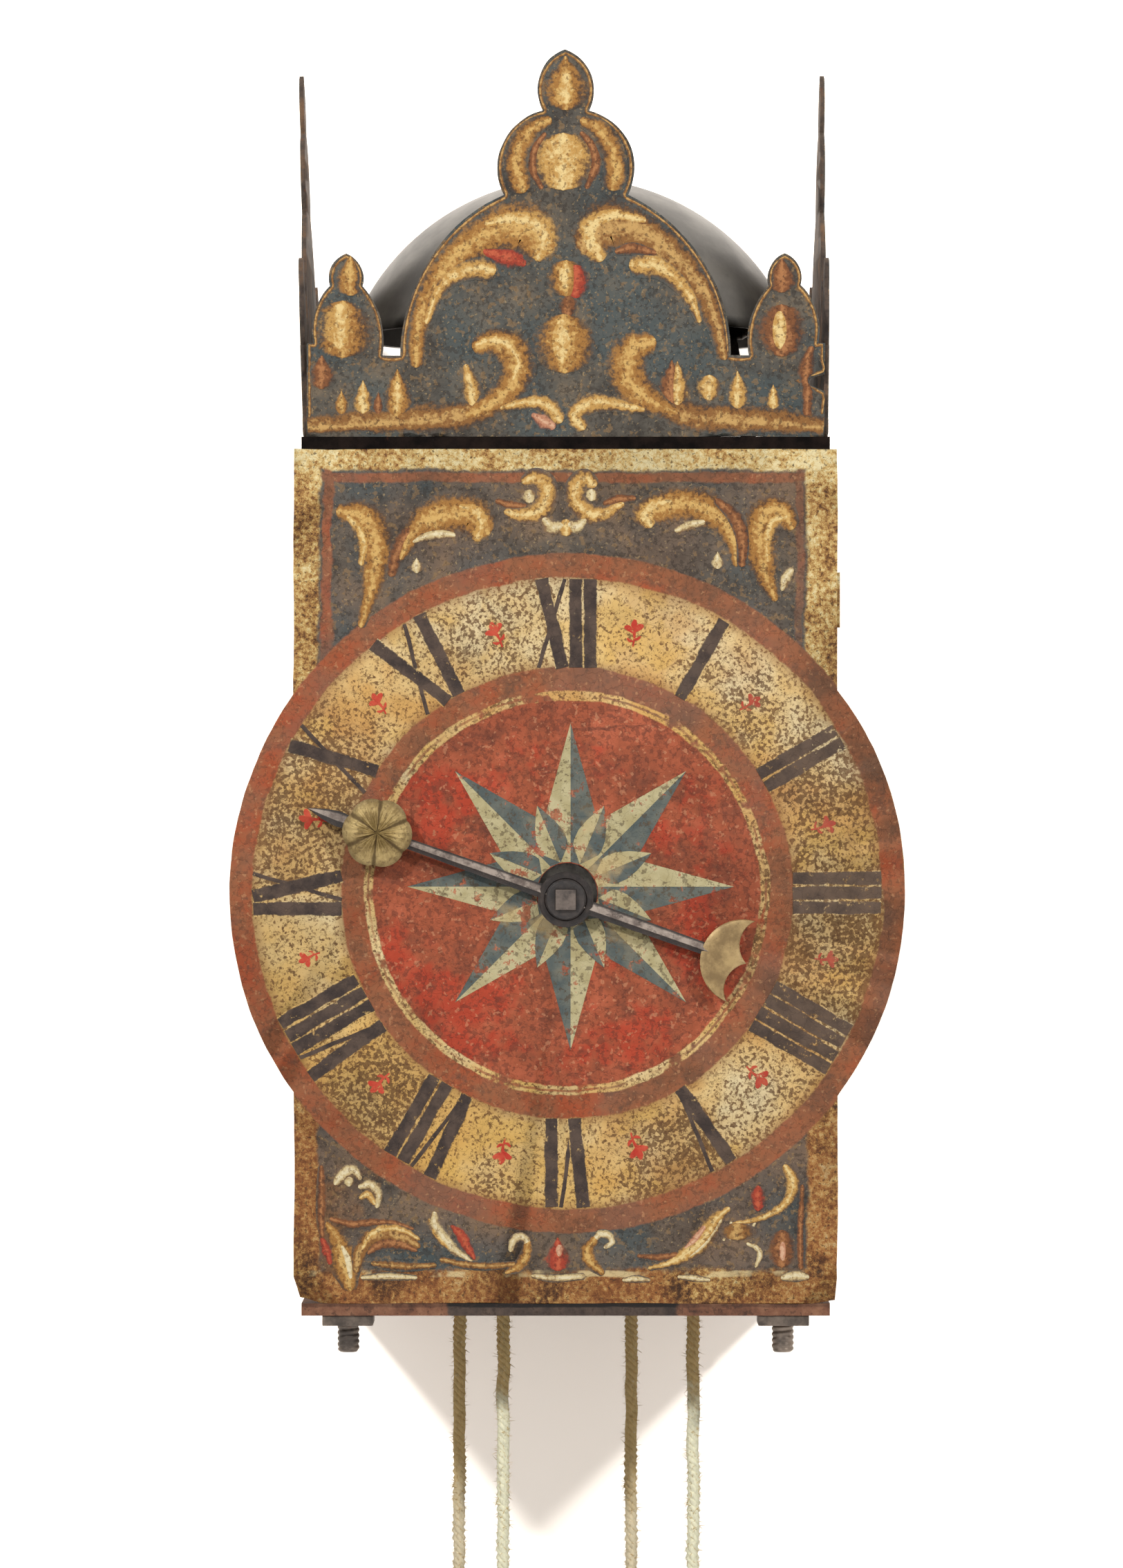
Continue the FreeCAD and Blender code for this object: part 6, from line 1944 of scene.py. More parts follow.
LOW_STROKES: Tuple[Stroke, ...] = (
    Stroke(RUST, ((-79.5, 44, 1), (-79.4, 36, 1.6), (-79.6, 27, 1.4), (-79.2, 22, 0.8))),
    Stroke(RUST, ((76.6, 12, 1), (76.4, 20, 1.3), (76.6, 29, 1.1), (77, 38, 0.7))),
    Stroke(PALE, ((-74.5, 39.5, 1.2), (-72, 42.5, 1.9), (-69, 43.5, 1.6), (-67.2, 41, 1))),
    oval(PALE, -70.5, 39.6, 1.6, 1.6),
    Stroke(PALE, ((-66.6, 38, 1), (-63.5, 38.6, 1.7), (-61, 35.6, 1.6), (-61.4, 32, 1))),
    Stroke(GOLD, ((-66.5, 34.5, 0.8), (-64.4, 35.4, 1.5), (-62.5, 33, 1.1))),
    Stroke(RUST, ((-76, 27.4, 0.9), (-70, 25.8, 1.4), (-63, 26.4, 1.4), (-56, 26.2, 1), (-50, 24.4, 0.6))),
    Stroke(BROWN, ((-68, 11.5, 1.6), (-67.2, 16, 2.4), (-64.4, 20.4, 3), (-59, 22.6, 3.4), (-53, 21.6, 3),
                   (-48.5, 19, 1.4))),
    Stroke(RUST, ((-64, 16.6, 0.8), (-60, 19.4, 2), (-54, 19.4, 1.8), (-49, 17.4, 0.8))),
    Stroke(GOLD, ((-66.6, 17, 1), (-63.6, 22, 1.6), (-58.4, 24.4, 1.7), (-52.6, 23.6, 1.3),
                  (-48, 21, 0.7))),
    Stroke(BROWN, ((-62.5, 13, 0.9), (-57, 12.4, 1.6), (-50, 12, 1.4), (-43, 12.4, 1))),
    Stroke(OCHRE, ((-77.6, 25.5, 1.2), (-75, 22, 2.6), (-73, 16.6, 4.2), (-71.4, 11, 4.2),
                   (-70.4, 6.6, 2.6))),
    Stroke(PALE, ((-73.5, 20, 0.8), (-71.4, 15, 2), (-70.4, 10.4, 1.8), (-70, 7.4, 0.9))),
    Stroke(RED, ((-79.4, 21.5, 0.8), (-78, 17.6, 1.8), (-76.8, 13.6, 1))),
    Stroke(RED, ((-37, 25, 0.6), (-34.4, 22.6, 1.7), (-32.4, 19, 2), (-30, 15, 0.9))),
    Stroke(GOLD, ((-44, 27, 0.9), (-41.8, 22.6, 1.4), (-38, 18.4, 1.2), (-34, 15.6, 0.7))),
    Stroke(PALE, ((-42.8, 28.6, 1.3), (-42.6, 25.4, 1.9), (-40, 21.6, 2), (-36, 17.4, 1.6),
                  (-30.4, 13.6, 0.6))),
    Stroke(BROWN, ((-40, 14.2, 1), (-32, 12.6, 1.4), (-24, 12.2, 1.2), (-17, 12.8, 0.9))),
    Stroke(OCHRE, ((-12.4, 19.6, 1.2), (-13, 15.6, 1.9), (-15.4, 12, 1.7), (-19, 10.2, 0.8))),
    Stroke(PALE, ((-17.8, 17.6, 0.9), (-17, 20.6, 1.3), (-14.6, 21.8, 1.3), (-12.6, 20.2, 1.1),
                  (-13.2, 18, 0.8))),
    drop(RED, -2.6, 10.6, 21.4, 4.4),
    oval(PINK, -2.2, 17.2, 2.2, 2.2),
    Stroke(OCHRE, ((9, 20.4, 1.6), (7, 17.4, 2.2), (8, 13.6, 2.2), (11.6, 10.2, 1.2))),
    Stroke(PALE, ((9.4, 20.8, 1), (11.4, 22.6, 1.3), (14.2, 22, 1.3), (15, 19.8, 1), (13, 18.4, 0.7))),
    Stroke(RUST, ((24, 15.4, 0.8), (30, 15, 1.3), (36, 15.8, 1))),
    Stroke(GOLD, ((27.6, 11.6, 0.8), (34, 13.2, 1.2), (39, 16, 2.4), (43.4, 19.6, 3.3), (46.6, 23.6, 3.2),
                  (49, 27.4, 2.3), (52.6, 30.6, 1))),
    Stroke(PALE, ((30, 12, 0.6), (38.4, 14.6, 0.9), (44.6, 18.8, 1.1), (48.6, 24, 1), (51.4, 29.4, 0.8))),
    Stroke(PINK, ((38.6, 17.6, 0.6), (42, 20.6, 1.3), (45, 24.4, 1.1))),
    oval(BROWN, 56, 23.4, 5.6, 2.8),
    *(Stroke(PALE, ((51.4 + 2 * row, 20.4 + 0.3 * row, 0.5), (53.8 + 2 * row, 26 + 0.2 * row, 0.6)))
      for row in range(5)),
    Stroke(GOLD, ((55, 26, 0.7), (61, 27, 1), (66.6, 29, 1.3), (71, 32, 1.6), (73.6, 36, 1.9),
                  (73.8, 40.4, 2), (71.8, 44, 1.4))),
    Stroke(PALE, ((71.6, 33, 0.7), (74, 37.6, 1.1), (73.4, 42, 1))),
    oval(RED, 62.6, 34.2, 2.4, 4.2),
    Stroke(PALE, ((62, 12.2, 0.6), (63.2, 15.6, 1), (62.2, 18, 0.9), (59.4, 19.4, 0.6))),
    oval(RUST, 70.4, 17.8, 4.4, 6.2),
    oval(PINK, 70.6, 17, 2.2, 3.6),
    Stroke(PALE, ((71, 8.4, 1), (75, 9, 1.8), (78.4, 8.6, 0.9))),
    Stroke(PALE, ((-66, 8.4, 0.7), (-58, 8.8, 1.2), (-49, 8.4, 0.7))),
    Stroke(PALE, ((-10.5, 9, 0.7), (-4, 8.2, 1.2), (5.4, 8.8, 1))),
    Stroke(PALE, ((19, 7.6, 0.6), (23, 8, 1.1), (27, 7.6, 0.6))),
    Stroke(PALE, ((37, 8.6, 0.6), (42, 8.2, 1), (47, 7.6, 0.5))),
)

CREST_STROKES: Tuple[Stroke, ...] = (
    Stroke(RED, ((-26, 342.4, 1.2), (-21, 340.8, 2.6), (-16.5, 340, 2.8), (-14, 338.6, 1.2))),
    Stroke(OCHRE, ((-48.6, 306.5, 2), (-47.8, 318, 2.4), (-44.8, 328, 3), (-39, 337.4, 3.8),
                   (-31, 345, 5.2), (-22, 349.6, 6.6), (-14, 350, 7.6), (-9.4, 346.6, 6.6))),
    Stroke(GOLD, ((-25, 351.4, 1.6), (-16, 353, 3.2), (-9, 350.4, 4.2), (-7, 345.4, 4),
                  (-8.6, 341.4, 2.4))),
    Stroke(BROWN, ((51.6, 309, 2), (49.6, 319, 3), (46, 328.6, 4), (40, 337, 4.7), (32, 344.4, 5.2),
                   (22.6, 350.2, 6.2), (14, 351, 7.4), (9, 347, 6.2))),
    Stroke(GOLD, ((25, 352.6, 1.4), (16, 354, 2.8), (9, 351, 3.8), (8, 345.8, 4), (10.6, 341.4, 2.6))),
    Stroke(GOLD, ((-45.2, 319.6, 0.9), (-41.8, 329, 1.7), (-36.6, 334.4, 2.3), (-30.6, 336.8, 2.7),
                  (-25.4, 336.6, 2.8))),
    Stroke(GOLD, ((23.6, 337.8, 3), (29.6, 337.8, 3), (35.6, 333.8, 2.5), (40.4, 327.6, 1.8),
                  (43.4, 320, 0.9))),
    Stroke(RUST, ((17, 342.4, 1), (22, 343.4, 1.7), (28.6, 342, 1))),
    oval(RED, 3.2, 332.6, 3.6, 5.6),
    oval(OCHRE, 0.2, 333.6, 5, 6),
    oval(GOLD, 0, 334.4, 3.4, 4),
    oval(RUST, 1, 324.6, 2.6, 3.4),
    oval(OCHRE, -0.2, 312.4, 7.8, 9.8),
    oval(GOLD, -1, 313, 5.2, 7.4),
    Stroke(OCHRE, ((-31, 289.6, 2), (-23.6, 293, 3.4), (-18, 298.4, 4.2), (-15.8, 304.6, 4.6),
                   (-18, 310.6, 4.6), (-23.4, 313, 3.6), (-28, 311.8, 2.6))),
    Stroke(GOLD, ((-17, 301, 1.2), (-15.4, 306, 2.2), (-18.6, 311.6, 2.4), (-24, 313.6, 2),
                  (-28.4, 312.2, 1.4))),
    Stroke(OCHRE, ((34.6, 290.6, 2), (28, 293.4, 3.6), (22.4, 298.4, 5), (20, 304.4, 5.5), (21.6, 310, 5),
                   (26.4, 312.4, 3.2))),
    Stroke(GOLD, ((23, 297, 1.2), (20.8, 302, 2.8), (21.6, 308.4, 3.6), (26.4, 311.6, 2.6))),
    Stroke(GOLD, ((-30.4, 292.6, 1.8), (-30.6, 297.6, 2.5), (-32.4, 304.8, 0.9))),
    drop(RUST, 34.6, 292, 307, 3.8),
    drop(GOLD, 36.4, 292, 306.6, 2.9),
    Stroke(BROWN, ((-84, 284.6, 3.2), (-70, 285.6, 4.2), (-55, 286.4, 4.4), (-42, 287.6, 4.4),
                   (-32, 289.4, 3.6), (-24, 291.2, 2.4)), False),
    Stroke(BROWN, ((84, 285, 3.2), (72, 286, 4.2), (58, 287, 4.4), (46, 288.2, 4.2), (36, 290, 3.4),
                   (28, 291.6, 2.2)), False),
    drop(OCHRE, -54.8, 288.6, 304, 4),
    drop(GOLD, -54.8, 290, 302, 2.6),
    drop(GOLD, -66, 289.6, 300.4, 2.5),
    drop(OCHRE, -73, 289, 297, 1.9),
    drop(RUST, -61, 289, 296.4, 1.8),
    oval(GOLD, 46.8, 298, 3.2, 4.2),
    drop(GOLD, 56, 291, 303.4, 2.8),
    drop(GOLD, 67.6, 291, 299, 1.8),
    Stroke(RUST, ((78.6, 290, 1.4), (78.8, 297, 1.6), (78.4, 305, 2.2), (80, 310.6, 1))),
    Stroke(GOLD, ((-20.6, 291.6, 1), (-11, 293.4, 1.9), (-5.2, 291.6, 2.5), (-2.6, 288.4, 2.2))),
    Stroke(PINK, ((-10.4, 289, 0.8), (-7.4, 287.2, 1.9), (-4.4, 285.6, 1.2))),
    Stroke(GOLD, ((5, 285.8, 1.9), (2.6, 289.4, 2.2), (8.6, 293, 2.6), (16, 292.6, 1.9), (25, 291, 1))),
    oval(OCHRE, -72.6, 317, 7.8, 9.4),
    oval(GOLD, -73.4, 318, 5.6, 7.6),
    oval(RUST, 70.4, 316.6, 6.6, 8.6),
    oval(GOLD, 69.8, 316.8, 4, 6.4),
    drop(OCHRE, -70, 328, 341, 4.4),
    drop(RUST, 70.4, 329, 340.4, 4),
    drop(RUST, -79.4, 297.6, 308.6, 3.6),
    Stroke(OCHRE, ((-6, 385, 1.5), (-10.4, 382.8, 2.4), (-14.6, 377.6, 3), (-16.4, 370.6, 2.9),
                   (-14.6, 364, 2.8))),
    Stroke(OCHRE, ((6, 384.6, 1.5), (10.4, 382.4, 2.5), (14, 377.6, 2.9), (16, 371, 2.9), (15.6, 365, 3))),
    Stroke(RUST, ((5.4, 380.6, 0.9), (9, 376, 1.5), (9.6, 370, 1.6), (7, 363.6, 0.9))),
    Stroke(RUST, ((-7, 380.4, 0.8), (-10.2, 375.6, 1.3), (-10.6, 369, 1.3), (-8, 363.4, 0.8))),
    oval(GOLD, -0.8, 371.6, 8.8, 9.4),
    drop(OCHRE, 0, 388.4, 406, 6.2),
    oval(GOLD, 0, 395.4, 4, 5.4),
)


@dataclass
class Crests:
    """The three pierced crests round the bell."""

    front_face: float = 1.0
    side_middle: float = 74.0
    side_share: float = 69.0 / 84.5     # side crest's width against the front one's
    rim_half: float = 0.9
    rim_from: float = 287.0
    spread: float = 1.42            # how much wider than written the scrolls are laid

    def build(self, kit: Kit) -> None:
        """Dress the crests and paint their scrolls.

        Args:
            kit: hands the pieces to the frame.
        """
        paints = kit.finishes
        sides = {"front": paints.crest, "left": paints.left_crest, "right": paints.right_crest}
        for side, finish in sides.items():
            plate = hammered(kit.nodes[side + "_crest"], side + "_crest_plate", finish)
            kit.add(plate, "frame", "painted crest", side + "_crest")
        self._paint(kit, "front", lambda x, height, lift: case(x, self.front_face - lift, height))
        share, middle = self.side_share, self.side_middle
        self._paint(kit, "left", lambda x, height, lift: case(
            -SIDE_FACE - lift - (height - PLATE_TOP) * LEFT_LEAN, middle - x * share, height))
        self._paint(kit, "right", lambda x, height, lift: case(
            SIDE_FACE + lift + (height - PLATE_TOP) * RIGHT_LEAN, middle + x * share, height))

    def _paint(self, kit: Kit, side: str, place: Place) -> None:
        """Paint one crest's outer face.

        Args:
            kit: hands the pieces to the frame.
            side: name of the crest.
            place: mapping of its face.
        """
        node = kit.nodes[side + "_crest"]
        rims = Brush(place, plate=node)
        for run in self._edges(node, place):
            rims.lay(BROWN, [(x, height, self.rim_half) for x, height in run], False, 3)
        rim = rims.shells[BROWN].make(side + "_crest_rim", kit.finishes.strokes[BROWN])
        kit.add(rim, "frame", "painted crest")
        brush = Brush(place, spread=self.spread, plate=node)
        for stroke in CREST_STROKES:
            brush.lay(stroke.tone, stroke.points, stroke.blunt)
        kit.scrolls(brush, side + "_crest", "frame", "painted crest")

    def _edges(self, node: Object, place: Place) -> List[List[Spot]]:
        """Runs along the edge of a crest's outer face, just inside it.

        Args:
            node: the crest.
            place: mapping of its outer face.

        Returns:
            Rows of places across and up.
        """
        start, unit, out = place(0, 0, 0), place(1, 0, 0) - place(0, 0, 0), place(0, 0, 1) - place(0, 0, 0)
        facing = out.normalized()
        work = bmesh.new()
        work.from_mesh(node.data)
        work.transform(node.matrix_world)
        bmesh.ops.remove_doubles(work, verts=work.verts, dist=JOIN)
        bmesh.ops.recalc_face_normals(work, faces=work.faces)
        links: Dict[int, List[int]] = {}
        spots: Dict[int, Spot] = {}
        for edge in work.edges:
            if sum(1 for face in edge.link_faces if face.normal.dot(facing) > 0.9) != 1:
                continue
            ids = [vertex.index for vertex in edge.verts]
            for vertex, near in zip(edge.verts, ids[::-1]):
                away = vertex.co - start
                spot = (away.dot(unit) / unit.length_squared, away.z / MM)
                if (vertex.co - place(*spot, 0)).length < 0.3 * MM:
                    links.setdefault(vertex.index, []).append(near)
                    spots[vertex.index] = spot
        work.free()
        rows, left = [], set(spots)
        while left:
            first = min(left)
            row, here = [], first
            while here is not None and here in left:
                left.discard(here)
                row.append(spots[here])
                here = next((near for near in links[here] if near in left), None)
            rows.extend(self._runs(row))
        return rows

    def _runs(self, row: Sequence[Spot]) -> List[List[Spot]]:
        """Draw a closed row in and keep its upper stretches.

        Args:
            row: corner points in order.

        Returns:
            The stretches above the crest's foot.
        """
        fine: List[Spot] = []
        for index, spot in enumerate(row):
            after = row[(index + 1) % len(row)]
            steps = max(1, int(math.dist(spot, after) / 5))
            fine.extend((spot[0] + (after[0] - spot[0]) * step / steps,
                         spot[1] + (after[1] - spot[1]) * step / steps) for step in range(steps))
        area = sum(a[0] * b[1] - b[0] * a[1] for a, b in zip(fine, fine[1:] + fine[:1]))
        sign = 1 if area > 0 else -1
        runs: List[List[Spot]] = [[]]
        for index, (x, height) in enumerate(fine + fine[:1]):
            before, after = fine[(index - 1) % len(fine)], fine[(index + 1) % len(fine)]
            way = Vector((after[0] - before[0], after[1] - before[1]))
            if height < self.rim_from or way.length < JOIN:
                runs.append([])
                continue
            way.normalize()
            runs[-1].append((x - sign * way.y * self.rim_half, height + sign * way.x * self.rim_half))
        return [run for run in runs if len(run) > 3]


@dataclass
class Bell:
    """The bell, as one smooth turned shape."""

    x: float = 2.5
    y: float = 81.0
    rim: float = 320.0
    radius: float = 76.0
    height: float = 54.0
    wall: float = 3.0
    hole: float = 3.06
    sides: int = 120

    def _arc(self, ball: float, middle: float, start: float) -> List[Spot]:
        """Half section of one face of the bell, from the rim up to the hole.

        Args:
            ball: radius of the face.
            middle: height of the ball's centre.
            start: height of the rim.

        Returns:
            Radius and height of each point.
        """
        low, high = math.asin((start - middle) / ball), math.acos(self.hole / ball)
        turns = [low + (high - low) * step / 24 for step in range(25)]
        return [(ball * math.cos(turn), middle + ball * math.sin(turn)) for turn in turns]

    def build(self, kit: Kit) -> None:
        """Turn the bell.

        Args:
            kit: hands the pieces to the frame.
        """
        ball = (self.radius ** 2 + self.height ** 2) / (2 * self.height)
        outer = self._arc(ball, self.height - ball, 0.0)
        inner = self._arc(ball - self.wall, self.height - ball, 0.0)
        profile = outer + inner[::-1]
        shell = Shell()
        rings = []
        for radius, rise in profile + [profile[0]]:
            rings.append([case(self.x + radius * math.cos(turn), self.y + radius * math.sin(turn),
                               self.rim + rise) for turn in circle(self.sides)])
        shell.loft(rings, capped=False)
        bell = shell.make("bell_shell", kit.finishes.bell, 50.0)
        merged(bell)
        kit.add(bell, "frame", "bell metal", "bell")


@dataclass
class Hand:
    """The hour hand with its rosette, collar and crescent."""

    middle: Spot = (0.0, 131.5)
    angle: float = 160.5
    front: float = -6.0
    rear: float = -4.0
    hub_radius: float = 9.0
    rosette_at: float = 64.9
    rosette_radius: float = 11.4
    rosette_rise: float = 3.4
    petals: int = 6
    moon_at: float = -61.0
    moon_radius: float = 13.9
    moon_end: float = -60.4
    bite_at: float = -66.4
    bite_side: float = 7.62
    bite_radius: float = 8.7
    across: Tuple[float, ...] = tuple(index / 8 for index in range(9))      # map across bar and crescent

    def build(self, kit: Kit) -> None:
        """Shape the hand and dress its collar and arbor.

        Args:
            kit: hands the pieces to the frame.
        """
        for name, finish in (("hand_collar", kit.finishes.collar), ("hour_arbor", kit.finishes.hand)):
            piece = eased(kit.nodes[name], name + "_turned", finish, 0.3, is_sharp)
            kit.add(piece, "hour", "hand iron", name)
        kit.add(self._bar(kit), "hour", "hand iron", "hour_hand")
        kit.add(self._moon(kit), "hour", "gilt", "hour_hand")
        kit.add(self._rosette(kit), "hour", "gilt", "hand_rosette")

    def _at(self, along: float, side: float, y: float) -> Vector:
        """A place on the hand.

        Args:
            along: millimetres from the arbor along the hand.
            side: millimetres to its side.
            y: case depth.

        Returns:
            The point.
        """
        turn = math.radians(self.angle)
        x = self.middle[0] + along * math.cos(turn) - side * math.sin(turn)
        return case(x, y, self.middle[1] + along * math.sin(turn) + side * math.cos(turn))

    def _bar(self, kit: Kit) -> Object:
        """Forge the bar with its leaf and hub.

        Args:
            kit: gives its finish.

        Returns:
            The bar.
        """
        shell = Shell()
        halves = ((-50.0, 1.9), (-47.0, 2.0), (-20.0, 2.2), (0.0, 2.3), (40.0, 1.9), (66.0, 1.5), (72.0, 1.5),
                  (75.0, 2.2), (78.5, 2.5), (82.5, 1.9), (86.0, 1.0), (88.7, 0.15))
        rings = []
        for along, half, ridge in smooth_line([(a, h, 1.2 if a < 70 else 0.5) for a, h in halves], 5):
            low = self.front + ridge
            rings.append([self._at(along, side * half, y) for side, y in (
                (-0.85, self.rear), (-1.0, self.rear - 0.3), (-1.0, low + 0.2), (-0.8, low),
                (0.25, self.front), (0.8, low), (1.0, low + 0.2), (1.0, self.rear - 0.3), (0.85, self.rear))])
        # the map across marks the slope that the bar's finish paints lit; the rest is painted in shade
        shell.loft(rings, across=self.across)
        turns = circle(64)
        rings = []
        for less, y in ((0.5, self.rear), (0.0, self.rear - 0.4), (0.0, self.front + 0.5),
                        (0.7, self.front - 0.05), (2.0, self.front - 0.05), (2.3, self.front + 0.25),
                        (2.9, self.front - 0.1)):
            radius = self.hub_radius - less
            rings.append([self._at(radius * math.cos(turn), radius * math.sin(turn), y) for turn in turns])
        shell.loft(rings, across=[0.0] * len(turns))
        return shell.make("hand_bar", kit.finishes.bar, 30.0)

    def _moon(self, kit: Kit) -> Object:
        """Cut the crescent at the hand's tail.

        Args:
            kit: gives its finish.

        Returns:
            The crescent.
        """
        tip = math.acos((self.moon_end - self.moon_at) / self.moon_radius)
        high = math.acos((self.moon_end - self.bite_at) / self.bite_radius)
        low = math.asin(self.bite_side / self.bite_radius)
        rings, rows = [], 72
        for row in range(rows + 1):
            share = row / rows
            turn = tip - 2 * tip * share
            outer = Vector((self.moon_at + self.moon_radius * math.cos(turn),
                            self.moon_radius * math.sin(turn)))
            half, start = (1, high) if share < 0.5 else (-1, low)
            turn = start - (high + low) * ((share * 2) % 1.0 if row < rows else 1.0)
            inner = Vector((self.bite_at + self.bite_radius * math.cos(turn),
                            half * self.bite_side + self.bite_radius * math.sin(turn)))
            ring = []
            for part, y in ((0.0, self.rear), (0.0, self.front + 0.6), (0.06, self.front + 0.2),
                            (0.16, self.front), (0.5, self.front - 0.15), (0.84, self.front),
                            (0.94, self.front + 0.2), (1.0, self.front + 0.6), (1.0, self.rear)):
                spot = outer.lerp(inner, part)
                ring.append(self._at(spot.x, spot.y, y))
            rings.append(ring)
        shell = Shell()
        shell.loft(rings, across=self.across)
        return shell.make("hand_crescent", kit.finishes.gilt, 30.0)

    def _rosette(self, kit: Kit) -> Object:
        """Raise the domed flower on the hand.

        Args:
            kit: gives its finish.

        Returns:
            The rosette.
        """
        turn = math.radians(self.angle)
        x = self.middle[0] + self.rosette_at * math.cos(turn)
        height = self.middle[1] + self.rosette_at * math.sin(turn)
        shell = Shell()
        sides, rows = 144, 16
        rings = [[case(x, self.front, height) for _ in range(sides)]]
        for row in range(rows + 1):
            share = 1 - row / rows
            ring = []
            for angle in circle(sides):
                lobe = abs(math.cos(self.petals * angle / 2 + 0.35))
                edge = self.rosette_radius * (0.9 + 0.1 * lobe ** 0.6)
                ribs = 0.16 * math.cos(self.petals * 5 * angle)
                crown = (1 - share ** 2.2) * 0.75 + 0.25 * math.sin(math.pi * min(1.0, share * 1.1))
                groove = (1 - lobe) ** 3 * 0.55 * math.sin(math.pi * min(1, share + 0.1))
                rise = self.rosette_rise * (crown - groove * 0.6 + ribs * share * (1 - share) * 2) + 0.25
                ring.append(case(x + edge * share * math.cos(angle), self.front - rise,
                                 height + edge * share * math.sin(angle)))
            rings.append(ring)
        shell.loft(rings, capped=False)
        rosette = shell.make("rosette_flower", kit.finishes.rosette, 50.0)
        merged(rosette)
        return rosette


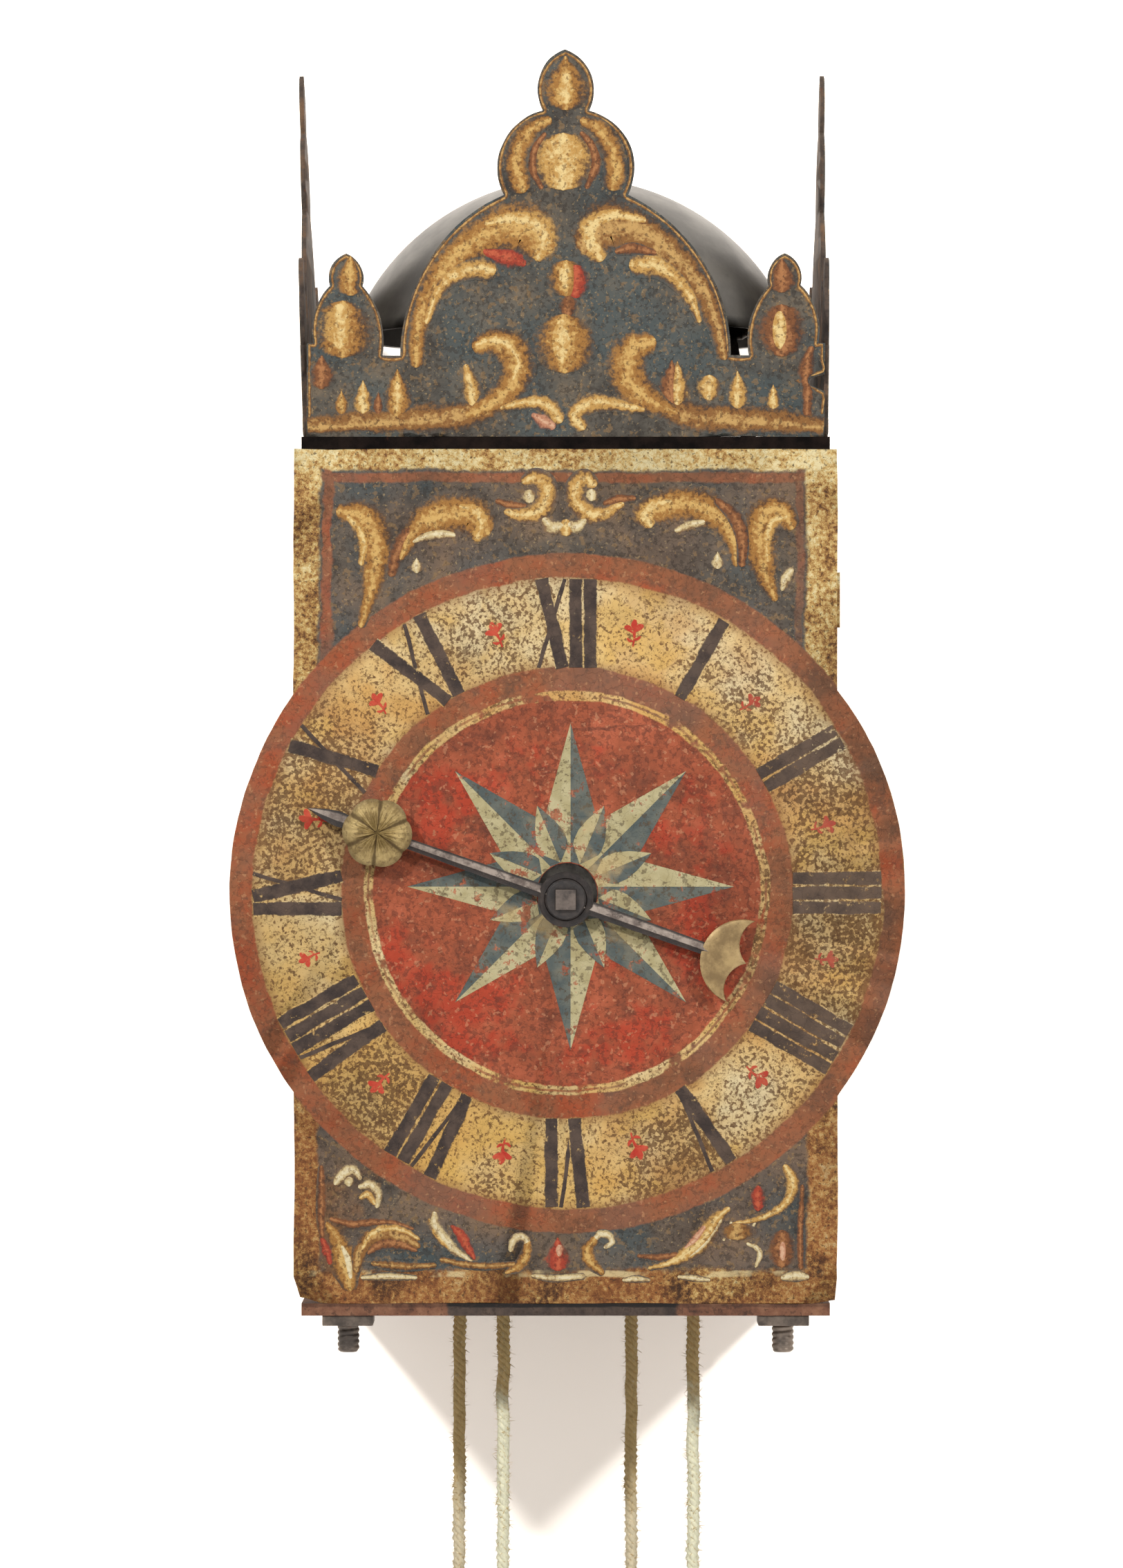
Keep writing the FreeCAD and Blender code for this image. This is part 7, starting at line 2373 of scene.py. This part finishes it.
@dataclass
class Movement:
    """Frame, trains and levers, which keep their CAD shapes."""

    frame_parts: Tuple[str, ...] = (
        "front_bar", "middle_bar", "rear_bar", "bar_wedges", "dial_feet", "back_plate", "hanging_hoop",
        "top_plate_rivets", "wall_spurs", "bell_stand", "bell_nut", "foliot_cock", "escapement_cocks",
        "hammer", "locking_lever", "lifting_lever")
    trains: Tuple[str, ...] = (
        "going_great_arbor", "going_great_wheel", "going_pulley", "going_click", "hour_wheel", "second_arbor",
        "second_wheel", "crown_arbor", "crown_wheel", "verge", "foliot", "foliot_weight_left",
        "foliot_weight_right", "strike_great_arbor", "strike_great_wheel", "lifting_pins", "strike_pulley",
        "strike_click", "hoop_arbor", "hoop_wheel", "fly_arbor", "fly_vane", "count_wheel")
    weights: Tuple[str, ...] = (
        "going_weight", "strike_weight", "going_counterweight", "strike_counterweight")
    stud_top: float = -7.4
    stud_end: float = -16.5
    thread_pitch: float = 1.9
    thread_root: float = 3.22
    thread_rise: float = 0.36
    thread_end: float = 1.2         # length over which the stud's end is rounded off
    stud_x: float = 71.0
    stud_y: Tuple[float, ...] = (9.0, 141.5)

    def _threads(self, kit: Kit, repeater: Repeater) -> None:
        """Cut the threads on the four studs.

        Args:
            kit: hands the pieces to the frame.
            repeater: tree that sets them.
        """
        sides, rows, length = 28, 44, self.stud_top - self.stud_end
        rings = []
        for row in range(rows + 1):
            drop_by = length * row / rows
            ring = []
            round_off = 1 - 0.22 * max(0.0, (drop_by - length + self.thread_end) / self.thread_end) ** 2
            for turn in circle(sides):
                crest = 0.5 + 0.5 * math.cos(2 * math.pi * drop_by / self.thread_pitch + turn)
                radius = (self.thread_root + self.thread_rise * crest ** 0.7) * round_off
                ring.append(Vector((radius * math.cos(turn), radius * math.sin(turn), -drop_by)) * MM)
            rings.append(ring)
        shell = Shell()
        shell.loft(rings)
        shape = shell.make("thread", kit.finishes.wrought, 60.0)
        points = [case(side * self.stud_x, y, self.stud_top) for side in (-1, 1) for y in self.stud_y]
        turns = [(0.0, 0.0, 0.9 * index) for index in range(len(points))]
        sizes = [1.0] * len(points)
        threads = repeater.grow("stud_threads", shape, kit.finishes.wrought, points, turns, sizes)
        kit.add(threads, "frame", "wrought iron")

    def build(self, kit: Kit, repeater: Repeater) -> None:
        """Dress the movement.

        Args:
            kit: dresses the nodes.
            repeater: tree that sets the threads.
        """
        paints = kit.finishes
        kit.dress(paints.wrought, *self.frame_parts)
        nuts = eased(kit.nodes["pillar_nuts"], "forged_nuts", paints.wrought, 0.5, is_sharp)
        kit.add(nuts, "frame", "wrought iron", "pillar_nuts")
        low = case(0.0, 0.0, self.stud_end + 0.3).z
        studs = eased(kit.nodes["pillars"], "pillars_with_studs", paints.wrought, 1.1,
                      lambda edge: max(vertex.co.z for vertex in edge.verts) < low and is_sharp(edge))
        kit.add(studs, "frame", "wrought iron", "pillars")
        self._threads(kit, repeater)
        kit.dress(paints.sill, "bottom_plate")
        # painted shade: the top plate is near black
        kit.dress(paints.painted_shade_iron, "top_plate")
        kit.dress(paints.wheels, *self.trains)
        kit.dress(paints.weight, *self.weights)


@dataclass
class Doors:
    """The two side doors, painted like the dial's corners."""

    middle: float = (DOOR_FRONT + DOOR_BACK) / 2
    share: float = 0.62             # ornament's width against that of the dial's top
    spread: float = 1.25
    rise: float = -6.0              # how far the upper ornament sits below the dial's
    low_turn: float = 278.0         # sum of the heights of the upper ornament and its mirror below
    waves: float = 0.15

    def _place(self, sign: int, across: float, height: float, lift: float) -> Vector:
        """Point on a door's outer face, from the ornament's own measures."""
        return case(sign * (DOOR_FACE + lift), self.middle + sign * across * self.share, height)

    def build(self, kit: Kit) -> None:
        """Dress both doors and paint their scrolls.

        Args:
            kit: hands the pieces to the frame.
        """
        paints = kit.finishes
        for name, sign, finish in (("left_door", -1, paints.left_door), ("right_door", 1, paints.right_door)):
            plate = hammered(kit.nodes[name], name + "_sheet", finish, self.waves)
            kit.add(plate, name, "painted door", name)
            brush = Brush(partial(self._place, sign), spread=self.spread, plate=plate)
            for stroke in TOP_STROKES:
                upper = [(x, height + self.rise, half) for x, height, half in stroke.points]
                brush.lay(stroke.tone, upper, stroke.blunt, 4)
                lower = [(x, self.low_turn - height, half) for x, height, half in upper]
                brush.lay(stroke.tone, lower, stroke.blunt, 4)
            kit.scrolls(brush, name, name, "painted door")


def main() -> None:
    """Build the clock's pieces in order."""
    logging.basicConfig(level=logging.INFO, format="%(name)s: %(message)s")
    noise.seed_set(NOISE_SEED)
    Studio().build()
    finishes = Finishes()
    kit, fuzz, repeater = Kit(finishes), Fuzz(), Repeater()
    going, strike = finishes.going_rope, finishes.strike_rope
    Rope("going", -20.8, 42.5, 46.0, "going_weight", "going_counterweight", going).build(kit, fuzz)
    Rope("strike", -36.2, 22.4, 96.0, "strike_counterweight", "strike_weight", strike).build(kit, fuzz)
    Movement().build(kit, repeater)
    Doors().build(kit)
    Dial().build(kit, repeater)
    Crests().build(kit)
    Bell().build(kit)
    Hand().build(kit)


if __name__ == "__main__":
    main()
